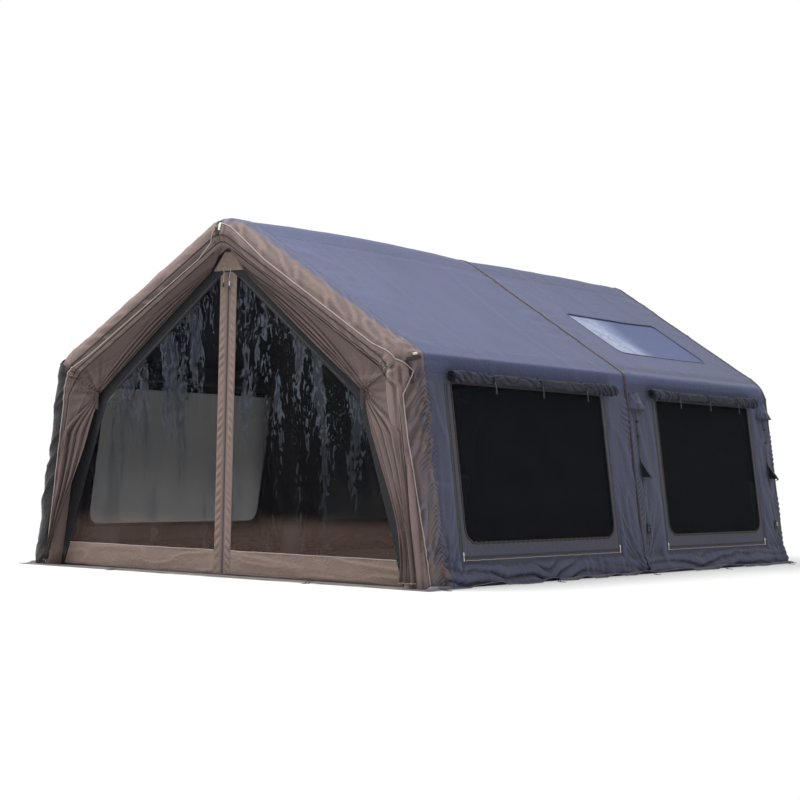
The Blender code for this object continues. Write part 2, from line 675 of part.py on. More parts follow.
def build_door():
    """Door surround, gusset, two hinged film leaves with fabric borders, and the zip slider."""
    def front(u, v, depth):
        return (u, depth, v)

    near_tube = math.sqrt(ARCH_RADIUS ** 2 - SURROUND_ALONG ** 2) + GAP
    outer = gable(ARCH_INSET + near_tube, ARCH_FOOT)
    opening = leaf_corners(LEAF_CLEARANCE)
    low, knee = opening[0], opening[1]
    drop = LEAF_FOOT_Z - ARCH_FOOT
    opening[0] = (low[0] + drop * (low[0] - knee[0]) / (knee[1] - low[1]), ARCH_FOOT)
    outline = outer + mirrored(opening)[::-1] + opening[::-1]
    mesh = plate("door_surround", outline, [], front, DOOR_Y, DOOR_BACK_Y)
    add_object("door_surround", mesh, HEM_CLOTH)

    peak = roof_z(INNER_LINE, 0.0)
    head = peak - GUSSET_DROP
    tip = GUSSET_DROP * GUSSET_TIP_SHARE
    shape = [(-GUSSET_HALF_WIDTH, head), (GUSSET_HALF_WIDTH, head),
             (tip, peak - tip), (-tip, peak - tip)]
    mesh = plate("apex_gusset", shape, [], front, DOOR_Y - GAP - GUSSET_SHEET, DOOR_Y - GAP)
    add_object("apex_gusset", mesh, FRONT_CLOTH)

    corners = leaf_corners()
    foot, top = corners[0], corners[-1]
    seam = GAP
    film_in, film_low = ZIP_STRIP_WIDTH - LAP, LEAF_FOOT_Z + BAND_HEIGHT - LAP
    film_back = DOOR_BACK_Y
    film_front = film_back - FILM
    for side, label in ((1, "right"), (-1, "left")):
        hinge = add_empty("door_hinge_" + label, (side * foot[0], DOOR_Y, foot[1]))
        strip = ZIP_STRIP_WIDTH
        band = LEAF_FOOT_Z + BAND_HEIGHT
        slope = (corners[2][0] - top[0]) / (top[1] - corners[2][1])
        strip_top = min(top[1], top[1] - (strip - top[0]) / slope)
        lean = (corners[1][0] - foot[0]) / (corners[1][1] - foot[1])
        edge_x = foot[0] + lean * (band - foot[1])
        shape = [(seam, LEAF_FOOT_Z), foot, (edge_x, band), (strip, band), (strip, strip_top),
                 top, (seam, top[1])]
        shape = [(side * x, z) for x, z in shape]
        mesh = plate("border", shape, [], front, film_front - GAP - BORDER, film_front - GAP)
        add_object("door_border_" + label, mesh, FRONT_CLOTH, origin=hinge.location, parent=hinge)
        low_x = foot[0] + lean * (film_low - foot[1])
        film_top = min(top[1], top[1] - (film_in - top[0]) / slope)
        shape = [(film_in, film_low), (low_x, film_low), corners[1], corners[2], (film_in, film_top)]
        if film_in < top[0]:
            shape.insert(4, top)
        shape = [(side * x, z) for x, z in shape]
        mesh = plate("film", shape, [], front, film_front, film_back)
        add_object("door_film_" + label, mesh, CLEAR_FILM, origin=hinge.location, parent=hinge)

    z_top = top[1] - DOOR_SLIDER_DROP
    z_foot = z_top - SLIDER_LENGTH
    face = film_front - GAP - BORDER - GAP
    pull, half = PULL_WIDTH / 2, SLIDER_WIDTH / 2
    x_mid = seam + half * SLIDER_BULGE + GAP
    nose = SLIDER_THICKNESS * SLIDER_NOSE_SHARE
    stations = [(z_foot - PULL_LENGTH, pull, PULL_THICKNESS), (z_foot, pull, PULL_THICKNESS),
                (z_foot + GAP, half, nose),
                ((z_foot + z_top) / 2, half * SLIDER_BULGE, SLIDER_THICKNESS),
                (z_top, half * SLIDER_NOSE_SHARE, nose)]
    rings = []
    for z, reach, deep in stations:
        left, right = x_mid - reach, x_mid + reach
        rings.append([(left, face, z), (right, face, z), (right, face - deep, z), (left, face - deep, z)])
    mesh = loft("door_zip_slider", rings)
    add_object("door_zip_slider", mesh, ZIP_METAL, origin=(x_mid, face, z_top))


def mix(first, second, share):
    """Point between two points."""
    return tuple(a + (b - a) * share for a, b in zip(first, second))


def along(points, share):
    """Point at a share of a polyline's length."""
    lengths = [math.dist(a, b) for a, b in zip(points, points[1:])]
    left = share * sum(lengths)
    for (a, b), length in zip(zip(points, points[1:]), lengths):
        if left <= length:
            return mix(a, b, left / length)
        left -= length
    return points[-1]


def curtain_frame():
    """Rows of a right-hand curtain: outer point, inner point, fold depth, in (x, y, z)."""
    rows = []
    upper = CURTAIN_ROWS // 2
    back = DOOR_Y - GUSSET_SHEET - 4 * GAP
    edge_along = back - CURTAIN_SHEET - FRONT_ARCH_Y
    near_tube = math.sqrt(SLEEVE_RADIUS ** 2 - edge_along ** 2) + GAP
    line = gable(ARCH_INSET + near_tube, CURTAIN_FOOT_Z)[:2 + EAVE_STEPS + RIDGE_STEPS // 2]
    rafter = [point for point in line if point[1] > TIE_HEIGHT][::-1]
    rafter.append((gable_x(ARCH_INSET + near_tube, TIE_HEIGHT), TIE_HEIGHT))
    for index in range(upper + 1):
        share = index / upper
        outer = along(rafter, CURTAIN_HEAD_SHARE + (1.0 - CURTAIN_HEAD_SHARE) * share)
        inner = mix(CURTAIN_HEAD, TIE, share)
        gain = CURTAIN_UPPER_FOLD_GAIN * math.sin(math.pi * share)
        fold = CURTAIN_FOLD * (CURTAIN_LEAST_FOLD + gain)
        rows.append(((outer[0], back, outer[1]), (inner[0], back, inner[1]), fold))
    start_turn = math.pi + math.asin(edge_along / SLEEVE_RADIUS)
    lower = CURTAIN_ROWS - upper - 1
    for index in range(1, lower + 1):
        share = index / lower
        ease = share * share * (3 - 2 * share)
        z = TIE_HEIGHT + (CURTAIN_FOOT_Z - TIE_HEIGHT) * share
        turn = start_turn + (CURTAIN_FOOT_TURN - start_turn) * ease
        reach = SLEEVE_RADIUS + GAP + CURTAIN_SHEET * min(1.0, CURTAIN_REACH_EASE * share)
        outer_x = gable_x(ARCH_INSET - reach * math.cos(turn), z)
        outer_y = FRONT_ARCH_Y - reach * math.sin(turn)
        inner_x = TIE[0] + (CURTAIN_FOOT[0] - TIE[0]) * share
        inner_x -= CURTAIN_BULGE * math.sin(math.pi * share)
        inner_y = back + (FRONT_FACE_Y - CURTAIN_SHEET - back) * ease
        fold = CURTAIN_FOLD * (CURTAIN_LEAST_FOLD + CURTAIN_FOOT_FOLD_GAIN * share)
        rows.append(((outer_x, outer_y, z), (inner_x, inner_y, z), fold))
    return rows


def build_curtains():
    """Tied-back curtains: a flat panel beside the arch and pleats along the free edge."""
    rows = curtain_frame()
    flat = CURTAIN_FLAT_SHARE
    for side, label in ((1, "right"), (-1, "left")):
        grids = {"front": [], "back": []}
        for outer, inner, fold in rows:
            front_row, back_row = [], []
            for column in range(CURTAIN_COLUMNS):
                share = column / (CURTAIN_COLUMNS - 1)
                x, y, z = mix(outer, inner, share)
                swell = 0.0
                if share > flat:
                    turn = CURTAIN_PLEATS * (share - flat) / (1.0 - flat)
                    swell = fold * (0.5 - 0.5 * math.cos(2 * math.pi * turn))
                back_row.append((side * x, y - swell, z))
                front_row.append((side * x, y - swell - CURTAIN_SHEET, z))
            grids["front"].append(front_row)
            grids["back"].append(back_row)
        rings = [front + back[::-1] for front, back in zip(grids["front"], grids["back"])]
        add_object("curtain_" + label, loft("curtain", rings), FRONT_CLOTH, smooth=True)

        middle = CURTAIN_ROWS // 2
        fold = max(row[2] for row in rows[middle - 4:middle + 1])
        face = rows[0][1][1] - CURTAIN_SHEET - GAP - TIE_CORD_RADIUS
        corner = eave_point(INNER_LINE)
        start = (corner[0] - TIE_END_OFFSET, corner[1] - TIE_END_OFFSET)
        end = (TIE[0] + TIE_END_OFFSET, TIE[1] + TIE_END_OFFSET)
        clear = face - fold - TIE_BEAD_RADIUS + TIE_CORD_RADIUS
        rings = []
        for share in (0.0, TIE_RISE_SHARE, TIE_KNOT_SHARE) + TIE_BEAD_SHARES + (1.0,):
            x, z = mix(start, end, share)
            radius = TIE_BEAD_RADIUS if share in TIE_BEAD_SHARES else TIE_CORD_RADIUS
            y = face if share == 0.0 else clear
            ring = []
            for step in range(TIE_SIDES):
                angle = 2 * math.pi * step / TIE_SIDES
                ring.append((side * x, y + radius * math.cos(angle), z + radius * math.sin(angle)))
            rings.append(ring)
        add_object("curtain_tie_" + label, loft("curtain_tie", rings), WEBBING, smooth=True)


def build_straps():
    """Wall straps beside the middle and rear arches: hood, webbing, tension tab and buckle."""
    thin, half = GAP + STRAP_THICKNESS, STRAP_WIDTH / 2
    hood, tab, buckle = HOOD_WIDTH / 2, TAB_WIDTH / 2, BUCKLE_WIDTH / 2
    hood_foot, tab_foot = HOOD_TOP - HOOD_LENGTH, TAB_TOP - TAB_LENGTH
    buckle_foot, raised = BUCKLE_TOP - BUCKLE_LENGTH, GAP + BUCKLE_DEPTH
    step = STRAP_STEP
    stations = [(HOOD_TOP, hood * HOOD_TOP_SHARE, GAP, thin),
                (HOOD_TOP - HOOD_LENGTH / 2, hood, GAP, GAP + HOOD_DEPTH * HOOD_MID_SHARE),
                (hood_foot, hood, GAP, GAP + HOOD_DEPTH), (hood_foot - step, half, GAP, thin),
                (TAB_TOP, half, GAP, thin), (tab_foot, tab, GAP, GAP + TAB_DEPTH),
                (tab_foot - step, half, GAP, thin), (BUCKLE_TOP + step, half, GAP, thin),
                (BUCKLE_TOP, buckle, GAP, raised), (buckle_foot, buckle, GAP, raised),
                (buckle_foot - step, half, GAP, thin), (STRAP_END, half, GAP, thin)]
    places = (("middle", MIDDLE_ARCH_Y + MIDDLE_STRAP_OFFSET),
              ("rear", REAR_ARCH_Y + REAR_STRAP_OFFSET))
    for side, label in ((1, "right"), (-1, "left")):
        for arch, y in places:
            name = "wall_strap_%s_%s" % (label, arch)
            add_object(name, loft(name, wall_box(side, y, stations)), WEBBING)


def valve_frame():
    """Base point and direction of the inflation valve on the middle arch's left leg."""
    direction = Vector((math.cos(WALL_LEAN), 0.0, -math.sin(WALL_LEAN)))
    centre = Vector((-wall_x(ARCH_INSET, VALVE_HEIGHT), MIDDLE_ARCH_Y, VALVE_HEIGHT))
    return centre + direction * ARCH_RADIUS, direction


def valve_turned(name, stations):
    """Turned solid on the valve's axis: stations are (distance from the tube, radius)."""
    base, direction = valve_frame()
    across = Vector((0.0, 1.0, 0.0))
    up = direction.cross(across)
    rings = []
    for distance, radius in stations:
        ring = []
        for step in range(VALVE_SIDES):
            angle = 2 * math.pi * step / VALVE_SIDES
            spoke = across * math.cos(angle) + up * math.sin(angle)
            ring.append(base + direction * distance + spoke * radius)
        rings.append(ring)
    return loft(name, rings)


def build_valve(tube_cutter):
    """Inflation valve: body saddled to the tube, sprung poppet and hinged cap."""
    base, direction = valve_frame()
    mouth = VALVE_STANDOUT
    neck = VALVE_RADIUS * VALVE_NECK_RADIUS_SHARE
    stations = [(-VALVE_RADIUS / 2, VALVE_RADIUS), (mouth * VALVE_FLANGE_SHARE, VALVE_RADIUS),
                (mouth * VALVE_NECK_SHARE, neck), (mouth, neck)]
    mesh = valve_turned("valve_body", stations)
    body = add_object("valve_body", mesh, VALVE_PLASTIC, smooth=True)
    stations = [(mouth - VALVE_BORE_DEPTH, VALVE_BORE_RADIUS),
                (mouth + VALVE_BORE_DEPTH, VALVE_BORE_RADIUS)]
    bore = add_object("valve_bore_cutter", valve_turned("bore", stations), VALVE_PLASTIC)
    bore.hide_render = True
    bore.display_type = "WIRE"
    for label, cutter in (("saddle", tube_cutter), ("bore", bore)):
        cut = body.modifiers.new(label, "BOOLEAN")
        cut.operation = "DIFFERENCE"
        cut.solver = "EXACT"
        cut.object = cutter

    face = mouth - POPPET_RECESS
    back, fit = face - POPPET_THICKNESS, VALVE_BORE_RADIUS - GAP
    stations = [(face, fit), (back, fit), (back - POPPET_TAPER, POPPET_STEM_RADIUS),
                (back - POPPET_STEM_LENGTH, POPPET_STEM_RADIUS)]
    mesh = valve_turned("valve_poppet", stations)
    origin = base + direction * face
    add_object("valve_poppet", mesh, VALVE_PLASTIC, origin=origin, smooth=True)

    seat, cap = mouth + GAP, VALVE_RADIUS * CAP_SHARE
    stations = [(seat, cap), (seat + CAP_THICKNESS * CAP_EDGE_SHARE, cap),
                (seat + CAP_THICKNESS, VALVE_RADIUS * CAP_CROWN_SHARE)]
    mesh = valve_turned("valve_cap", stations)
    up = direction.cross(Vector((0.0, 1.0, 0.0)))
    origin = base + direction * seat - up * cap
    add_object("valve_cap", mesh, VALVE_PLASTIC, origin=origin, smooth=True)


build_floor_and_skirt()
arch_cutters = build_tubes()
roof_panels = build_cover()
build_skylight(roof_panels["right", "rear"])
build_walls()
build_rear()
build_door()
build_curtains()
build_straps()
build_valve(arch_cutters["middle"])
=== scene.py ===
"""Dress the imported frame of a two-bay inflatable cottage tent in cloth, film, webbing and zips."""

import logging
import math
from dataclasses import dataclass
from enum import Enum
from typing import Callable, Optional, Sequence, Union

import bpy
import numpy as np
from mathutils import Matrix, Vector


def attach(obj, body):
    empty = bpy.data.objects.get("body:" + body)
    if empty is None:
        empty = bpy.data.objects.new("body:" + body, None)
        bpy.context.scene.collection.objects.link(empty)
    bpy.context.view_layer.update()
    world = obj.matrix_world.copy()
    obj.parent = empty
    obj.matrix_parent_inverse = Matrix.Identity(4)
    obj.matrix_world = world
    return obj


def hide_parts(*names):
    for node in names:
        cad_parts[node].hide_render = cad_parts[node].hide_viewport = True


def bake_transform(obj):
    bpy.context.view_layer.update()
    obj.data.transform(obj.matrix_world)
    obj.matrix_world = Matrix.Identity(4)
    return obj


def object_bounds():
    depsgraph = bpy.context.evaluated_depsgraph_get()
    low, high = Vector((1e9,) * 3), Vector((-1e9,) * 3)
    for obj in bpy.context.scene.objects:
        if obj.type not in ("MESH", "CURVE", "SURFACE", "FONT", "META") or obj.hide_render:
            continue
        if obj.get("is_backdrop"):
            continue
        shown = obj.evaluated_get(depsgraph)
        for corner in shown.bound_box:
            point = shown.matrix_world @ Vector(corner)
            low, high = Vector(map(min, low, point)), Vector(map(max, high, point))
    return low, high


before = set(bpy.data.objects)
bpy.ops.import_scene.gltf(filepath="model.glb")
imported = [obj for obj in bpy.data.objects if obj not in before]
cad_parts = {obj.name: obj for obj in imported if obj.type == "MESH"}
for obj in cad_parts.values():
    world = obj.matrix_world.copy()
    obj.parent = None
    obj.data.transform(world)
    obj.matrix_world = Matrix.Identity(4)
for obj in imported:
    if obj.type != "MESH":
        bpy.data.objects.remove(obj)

Array = np.ndarray
Colour = tuple[float, float, float]
LOG = logging.getLogger("tent")
HULL = "tent"
FULL_TURN = 2 * math.pi
FULL_FOLD = 0.0022  # rise over the cloth around it at which a fold counts as full
FORWARD = np.array([0.0, -1.0, 0.0])
REARWARD = np.array([0.0, 1.0, 0.0])
UPWARD = np.array([0.0, 0.0, 1.0])

# Turned fittings, as distances along their axis with the radius there.
TOGGLE = ((0.0, 0.0020), (0.002, 0.0036), (0.007, 0.0042), (0.012, 0.0034), (0.017, 0.0042),
          (0.022, 0.0036), (0.024, 0.0020))
PULL = ((0.0, 0.0026), (0.003, 0.0044), (0.020, 0.0050), (0.026, 0.0036))
BEAD = ((0.0, 0.0034), (0.003, 0.0058), (0.016, 0.0060), (0.020, 0.0036))
# A zip slider's sections: share of its length, of its width and of its height.
SLIDER = ((0.0, 0.55, 0.3), (0.06, 0.75, 0.55), (0.35, 0.80, 0.62), (0.60, 0.95, 0.66),
          (0.85, 1.0, 0.60), (0.97, 0.80, 0.45), (1.0, 0.60, 0.3))


def srgb(red: int, green: int, blue: int) -> Colour:
    """Turn screen values from 0 to 255 into a linear colour.

    Args:
        red: red screen value.
        green: green screen value.
        blue: blue screen value.

    Returns:
        The linear colour.
    """
    shares = [value / 255 for value in (red, green, blue)]
    return tuple(s / 12.92 if s <= 0.04045 else ((s + 0.055) / 1.055) ** 2.4 for s in shares)


def ease(share: Union[float, Array]) -> Array:
    """Return a smooth step of a share, held from 0 to 1."""
    held = np.clip(share, 0.0, 1.0)
    return held * held * (3 - 2 * held)


def bell(distance: Union[float, Array], reach: float) -> Array:
    """Return a bump that is 1 at no distance and fades over reach."""
    return np.exp(-(np.asarray(distance, float) / reach) ** 2)


def spaced(start: float, end: float, step: float) -> Array:
    """Return evenly spaced places from start to end, about a step apart."""
    return np.linspace(start, end, max(2, int(round(abs(end - start) / step)) + 1))


def run_of(points: Array) -> Array:
    """Return the length along a polyline at each of its points."""
    return np.concatenate([[0.0], np.cumsum(np.linalg.norm(np.diff(points, axis=0), axis=1))])


def at_runs(points: Array, runs: Array) -> Array:
    """Return points at lengths along a polyline."""
    length = run_of(points)
    return np.stack([np.interp(runs, length, part) for part in points.T], -1)


def along_line(points: Array, share: Array) -> Array:
    """Return points at shares of a polyline's length."""
    return at_runs(points, share * run_of(points)[-1])


def ring_turns(count: int) -> Array:
    """Return evenly spaced angles once round."""
    return np.arange(count) * FULL_TURN / count


def mirrored(line: Array) -> Array:
    """Join a line from the right foot to the middle with its mirror image."""
    return np.concatenate([line, line[-2::-1] * [-1.0, 1.0]])


# ---- shader graphs


class Wire:
    """A shader value; arithmetic on it adds Math nodes to the same graph."""

    def __init__(self, graph: "Graph", socket: bpy.types.NodeSocket) -> None:
        """Keep the graph and the socket that gives the value."""
        self.graph = graph
        self.socket = socket

    def math(self, operation: str, first: object, second: object = 0.0) -> "Wire":
        """Add one Math node.

        Args:
            operation: the Math node's operation.
            first: first value or wire.
            second: second value or wire.

        Returns:
            The node's result.
        """
        return self.graph.node("Math", {"operation": operation}, {0: first, 1: second})

    def __add__(self, other: object) -> "Wire":
        """Add."""
        return self.math("ADD", self, other)

    __radd__ = __add__

    def __sub__(self, other: object) -> "Wire":
        """Subtract."""
        return self.math("SUBTRACT", self, other)

    def __rsub__(self, other: object) -> "Wire":
        """Subtract from a number."""
        return self.math("SUBTRACT", other, self)

    def __mul__(self, other: object) -> "Wire":
        """Multiply."""
        return self.math("MULTIPLY", self, other)

    __rmul__ = __mul__

    def __truediv__(self, other: object) -> "Wire":
        """Divide."""
        return self.math("DIVIDE", self, other)

    def __pow__(self, other: object) -> "Wire":
        """Raise to a power."""
        return self.math("POWER", self, other)

    def held(self) -> "Wire":
        """Hold the value from 0 to 1."""
        return self.math("MINIMUM", self.math("MAXIMUM", self, 0.0), 1.0)

    def sine(self) -> "Wire":
        """Take the sine."""
        return self.math("SINE", self)

    def size(self) -> "Wire":
        """Take the value without its sign."""
        return self.math("ABSOLUTE", self)

    def step(self, low: float, high: float) -> "Wire":
        """Rise smoothly from 0 at low to 1 at high."""
        share = ((self - low) / (high - low)).held()
        return share * share * (3.0 - 2.0 * share)


class Graph:
    """Node tree of one material, around its Principled shader."""

    def __init__(self, name: str) -> None:
        """Make the material.

        Args:
            name: name of the material.
        """
        self.material = bpy.data.materials.new(name)
        self.material.use_nodes = True
        self.tree = self.material.node_tree
        self.principled = self.tree.nodes["Principled BSDF"]
        self.output = self.tree.nodes["Material Output"]

    def node(self, kind: str, settings: Optional[dict] = None, values: Optional[dict] = None,
             result: Union[int, str] = 0) -> Wire:
        """Add any shader node.

        Args:
            kind: node type without its ShaderNode prefix.
            settings: properties, set first; "stops" holds a ramp's (place, colour) pairs.
            values: numbers, colours or wires for the sockets.
            result: output socket to return.

        Returns:
            The wire of that output.
        """
        made = self.tree.nodes.new("ShaderNode" + kind)
        for key, value in (settings or {}).items():
            if key == "stops":
                ramp = made.color_ramp.elements
                while len(ramp) < len(value):
                    ramp.new(0.5)
                for element, (place, colour) in zip(ramp, value):
                    element.position = place
                    element.color = (*colour, 1.0)
            else:
                setattr(made, key, value)
        for key, value in (values or {}).items():
            self.feed(made.inputs[key], value)
        return Wire(self, made.outputs[result])

    def feed(self, socket: bpy.types.NodeSocket, value: object) -> None:
        """Give a socket a wire, a number or a colour.

        Args:
            socket: input socket.
            value: wire, number or colour.
        """
        if isinstance(value, Wire):
            self.tree.links.new(value.socket, socket)
        elif socket.type == "RGBA" and len(value) == 3:
            socket.default_value = (*value, 1.0)
        else:
            socket.default_value = value

    def dress(self, **values: object) -> None:
        """Set the Principled shader's sockets, named with underscores for spaces."""
        for key, value in values.items():
            self.feed(self.principled.inputs[key.replace("_", " ")], value)

    def place(self) -> Wire:
        """Return the Object coordinates."""
        return self.node("TexCoord", result="Object")

    def part(self, vector: Wire, axis: int) -> Wire:
        """Return one part of a vector, 0 to 2."""
        return self.node("SeparateXYZ", {}, {0: vector}, axis)

    def noise(self, vector: Wire, scale: float, detail: float = 2.0, warp: float = 0.0) -> Wire:
        """Return noise from 0 to 1 with features about 1 / scale metres wide."""
        return self.node("TexNoise", {}, {"Vector": vector, "Scale": scale, "Detail": detail,
                                          "Distortion": warp})

    def drawn_out(self, vector: Wire, share: float) -> Wire:
        """Return coordinates whose noise is drawn out upwards."""
        return self.node("Mapping", {}, {"Vector": vector, "Scale": (1.0, 1.0, share)})

    def weave(self, thread: float) -> Wire:
        """Return crossed threads from 0 to 1 on the sheet coordinates.

        Args:
            thread: pitch of the threads in metres.

        Returns:
            The weave's height.
        """
        sheet = self.node("UVMap", {"uv_map": "Sheet"})
        turn = FULL_TURN / thread
        warp, weft = ((self.part(sheet, axis) * turn).sine() for axis in (0, 1))
        return warp * weft * 0.5 + 0.5

    def tone(self, colour: object, grey: Wire) -> Wire:
        """Darken a colour by a grey."""
        shade = self.node("CombineColor", {}, {0: grey, 1: grey, 2: grey})
        return self.mix(1.0, colour, shade, "MULTIPLY")

    def attribute(self, name: str) -> Wire:
        """Return a mesh attribute's number."""
        return self.node("Attribute", {"attribute_name": name}, result="Fac")

    def mix(self, share: object, first: object, second: object, blend: str = "MIX") -> Wire:
        """Mix two colours.

        Args:
            share: share of the second colour.
            first: first colour or wire.
            second: second colour or wire.
            blend: the Mix node's blend type.

        Returns:
            The mixed colour.
        """
        return self.node("Mix", {"data_type": "RGBA", "blend_type": blend},
                         {0: share, 6: first, 7: second}, 2)

    def bump(self, height: Wire, distance: float, strength: float = 1.0) -> Wire:
        """Return a normal raised by a height from 0 to 1 over a distance in metres."""
        return self.node("Bump", {}, {"Strength": strength, "Distance": distance,
                                      "Height": height})


@dataclass(frozen=True)
class Cloth:
    """Woven tent cloth, with an optional second colour where the Tint attribute is 1."""

    name: str
    colour: Colour
    second: Optional[Colour] = None
    thread: float = 0.0016
    grain: float = 0.10
    roughness: float = 0.74
    sheen: float = 0.12
    dust: float = 0.25
    # Painted highlight on raised folds (this field) and painted shade in creases (the next), read
    # from the Fold attribute.
    ridge: float = 0.16
    crease_shade: float = 0.36

    def make(self) -> bpy.types.Material:
        """Build the material.

        Returns:
            Cloth with weave, slubs, mottling, painted highlights on raised folds, painted shade in
            creases and a dusty foot.
        """
        graph = Graph(self.name)
        place = graph.place()
        weave = graph.weave(self.thread)
        slub = graph.noise(place, 240.0, 3.0)
        mottle = graph.noise(place, 2.6, 4.0)
        fold = graph.attribute("Fold")
        colour = self.colour
        if self.second is not None:
            colour = graph.mix(graph.attribute("Tint"), self.colour, self.second)
        grey = (1.0 - self.grain) + self.grain * (0.5 * weave + slub) + 0.16 * (mottle - 0.5)
        # Raised folds are lightened as a painted highlight and creases darkened as painted shade.
        grey = grey + self.ridge * fold.math("MAXIMUM", fold, 0.0)
        grey = grey + self.crease_shade * fold.math("MINIMUM", fold, 0.0)
        colour = graph.tone(colour, grey)
        height = graph.part(place, 2)
        dusty = (1.0 - height.step(0.0, 0.22)) * graph.noise(place, 9.0, 4.0).step(0.40, 0.75)
        colour = graph.mix(dusty * self.dust, colour, srgb(150, 140, 128))
        wrinkle = 1.0 - (graph.noise(place, 24.0, 5.0, 0.8) - 0.5).size() * 6.0
        relief = wrinkle.held() * 0.86 + weave * 0.05 + slub * 0.09
        graph.dress(Base_Color=colour, Roughness=self.roughness + 0.10 * (slub - 0.5),
                    Normal=graph.bump(relief, 0.0032, 0.45), Sheen_Weight=self.sheen,
                    Sheen_Roughness=0.5, Specular_IOR_Level=0.30)
        return graph.material


@dataclass(frozen=True)
class FilmFinish:
    """Clear vinyl film: thin, glossy and creased, with painted reflections in streaks and painted
    highlights on crumples.
    """

    name: str
    tint: Colour
    # Colour of the painted highlights on the crumples.
    painted_highlight: Colour = srgb(80, 85, 94)
    # Colour of the haze over the film: near black on the door film as painted shade of the inside,
    # pale on the skylight as a painted reflection.
    painted_haze: Colour = (0.003, 0.003, 0.004)
    # Brownish colour of the film's foot.
    foot_colour: Colour = srgb(108, 89, 82)
    clear: tuple[float, float] = (0.19, 0.34)
    cover: float = 0.42
    grain: float = 9.0
    rear: Optional[Colour] = None
    # Alpha of a dark layer over the right leaf, painted shade of the dark inside.
    shade_veil: float = 0.60
    foot_rise: tuple[float, float] = (0.22, 0.38)
    clear_rise: tuple[float, float] = (0.40, 0.72)
    streak_rise: tuple[float, float] = (0.55, 1.15)
    shade_veil_run: tuple[float, float] = (0.15, 0.45)
    rear_run: tuple[float, float] = (0.95, 1.40)

    def make(self) -> bpy.types.Material:
        """Build the material.

        Returns:
            Glossy film with painted reflections in long jagged streaks high up, painted highlights
            on crumples and a dull brownish foot.
        """
        graph = Graph(self.name)
        place = graph.place()
        high = graph.part(place, 2)
        column = graph.noise(graph.drawn_out(place, 0.15), self.grain, 2.0, 0.3)
        jag = graph.noise(graph.drawn_out(place, 0.34), self.grain * 4.0, 5.0, 1.6)
        # The streaks are painted reflections on the film; the crumples carry painted highlights.
        level = high.step(*self.streak_rise)
        streak = (column * 0.60 + jag * 0.40 + 0.040 * level - 0.040).step(0.505, 0.530)
        flow = graph.noise(place, self.grain * 1.4, 4.0, 2.2) - 0.5
        ridge = (1.0 - flow.size() * 42.0).held()
        patch = graph.noise(place, 2.1, 2.0).step(0.50, 0.62)
        crumple = ridge * jag.step(0.46, 0.56) * (patch * 0.8 + level * 0.35).held()
        mark = (streak * (0.35 + 0.65 * level) + crumple).held()
        # Alpha of the painted haze, thicker higher up: shade of the inside on the door film, a
        # reflection on the skylight.
        painted_haze = self.clear[0] + (self.clear[1] - self.clear[0]) * high.step(*self.clear_rise)
        # Dark layer over the right leaf, more painted shade of the inside.
        shade_veil = graph.part(place, 0).step(*self.shade_veil_run) * high.step(0.22, 0.40) * self.shade_veil
        alpha = (painted_haze + mark * self.cover + shade_veil).held()
        dark = graph.mix(high.step(*self.foot_rise), self.foot_colour, self.painted_haze)
        shine = graph.mix((crumple + 0.55 * jag.step(0.50, 0.62)).held(), self.tint, self.painted_highlight)
        colour = graph.mix(mark, dark, shine)
        rough = 0.10 + 0.10 * patch
        # On the skylight the painted reflection fades to the darker rear colour towards the rear.
        if self.rear is not None:
            far = graph.part(place, 1) + 0.25 * graph.noise(place, 3.0)
            far = far.step(*self.rear_run)
            colour = graph.mix(far, colour, self.rear)
            alpha = (alpha + far).held()
            rough = rough + far * 0.72
        graph.dress(Base_Color=colour, Roughness=rough, Alpha=alpha,
                    Normal=graph.bump(column * 0.5 + jag * 0.5, 0.012, 0.6),
                    Specular_IOR_Level=0.05, IOR=1.5)
        return graph.material


@dataclass(frozen=True)
class NetFinish:
    """Fine black insect netting."""

    name: str
    colour: Colour
    hole: float = 0.0016
    cover: float = 0.64

    def make(self) -> bpy.types.Material:
        """Build the material.

        Returns:
            Netting whose holes let a little light through.
        """
        graph = Graph(self.name)
        cell = graph.weave(self.hole)
        cloud = graph.noise(graph.place(), 3.0, 2.0)
        alpha = (self.cover - 0.10 * (cell - 0.5) + 0.04 * (cloud - 0.5)).held()
        graph.dress(Base_Color=self.colour, Roughness=0.85, Alpha=alpha,
                    Normal=graph.bump(cell, 0.0004, 0.4), Specular_IOR_Level=0.12)
        return graph.material


@dataclass(frozen=True)
class BladderFinish:
    """Welded air tube: pale film below, in a dark cloth sleeve higher up."""

    name: str
    colour: Colour
    sleeve: Colour = srgb(50, 50, 60)

    def make(self) -> bpy.types.Material:
        """Build the material.

        Returns:
            Pale coated film with cloudy colour.
        """
        graph = Graph(self.name)
        place = graph.place()
        cloud = graph.noise(place, 6.0, 4.0)
        fine = graph.noise(place, 70.0, 3.0)
        tone = graph.node("ValToRGB", {"stops": [(0.3, self.colour), (0.75, srgb(226, 230, 218))]},
                          {0: cloud})
        colour = graph.mix(graph.attribute("Tint") * 0.6, tone, srgb(150, 156, 146))
        colour = graph.mix(graph.part(place, 2).step(0.56, 0.60), colour, self.sleeve)
        graph.dress(Base_Color=colour, Roughness=0.38 + 0.16 * fine, Coat_Weight=0.15,
                    Normal=graph.bump(fine * 0.4 + cloud * 0.6, 0.002, 0.5))
        return graph.material


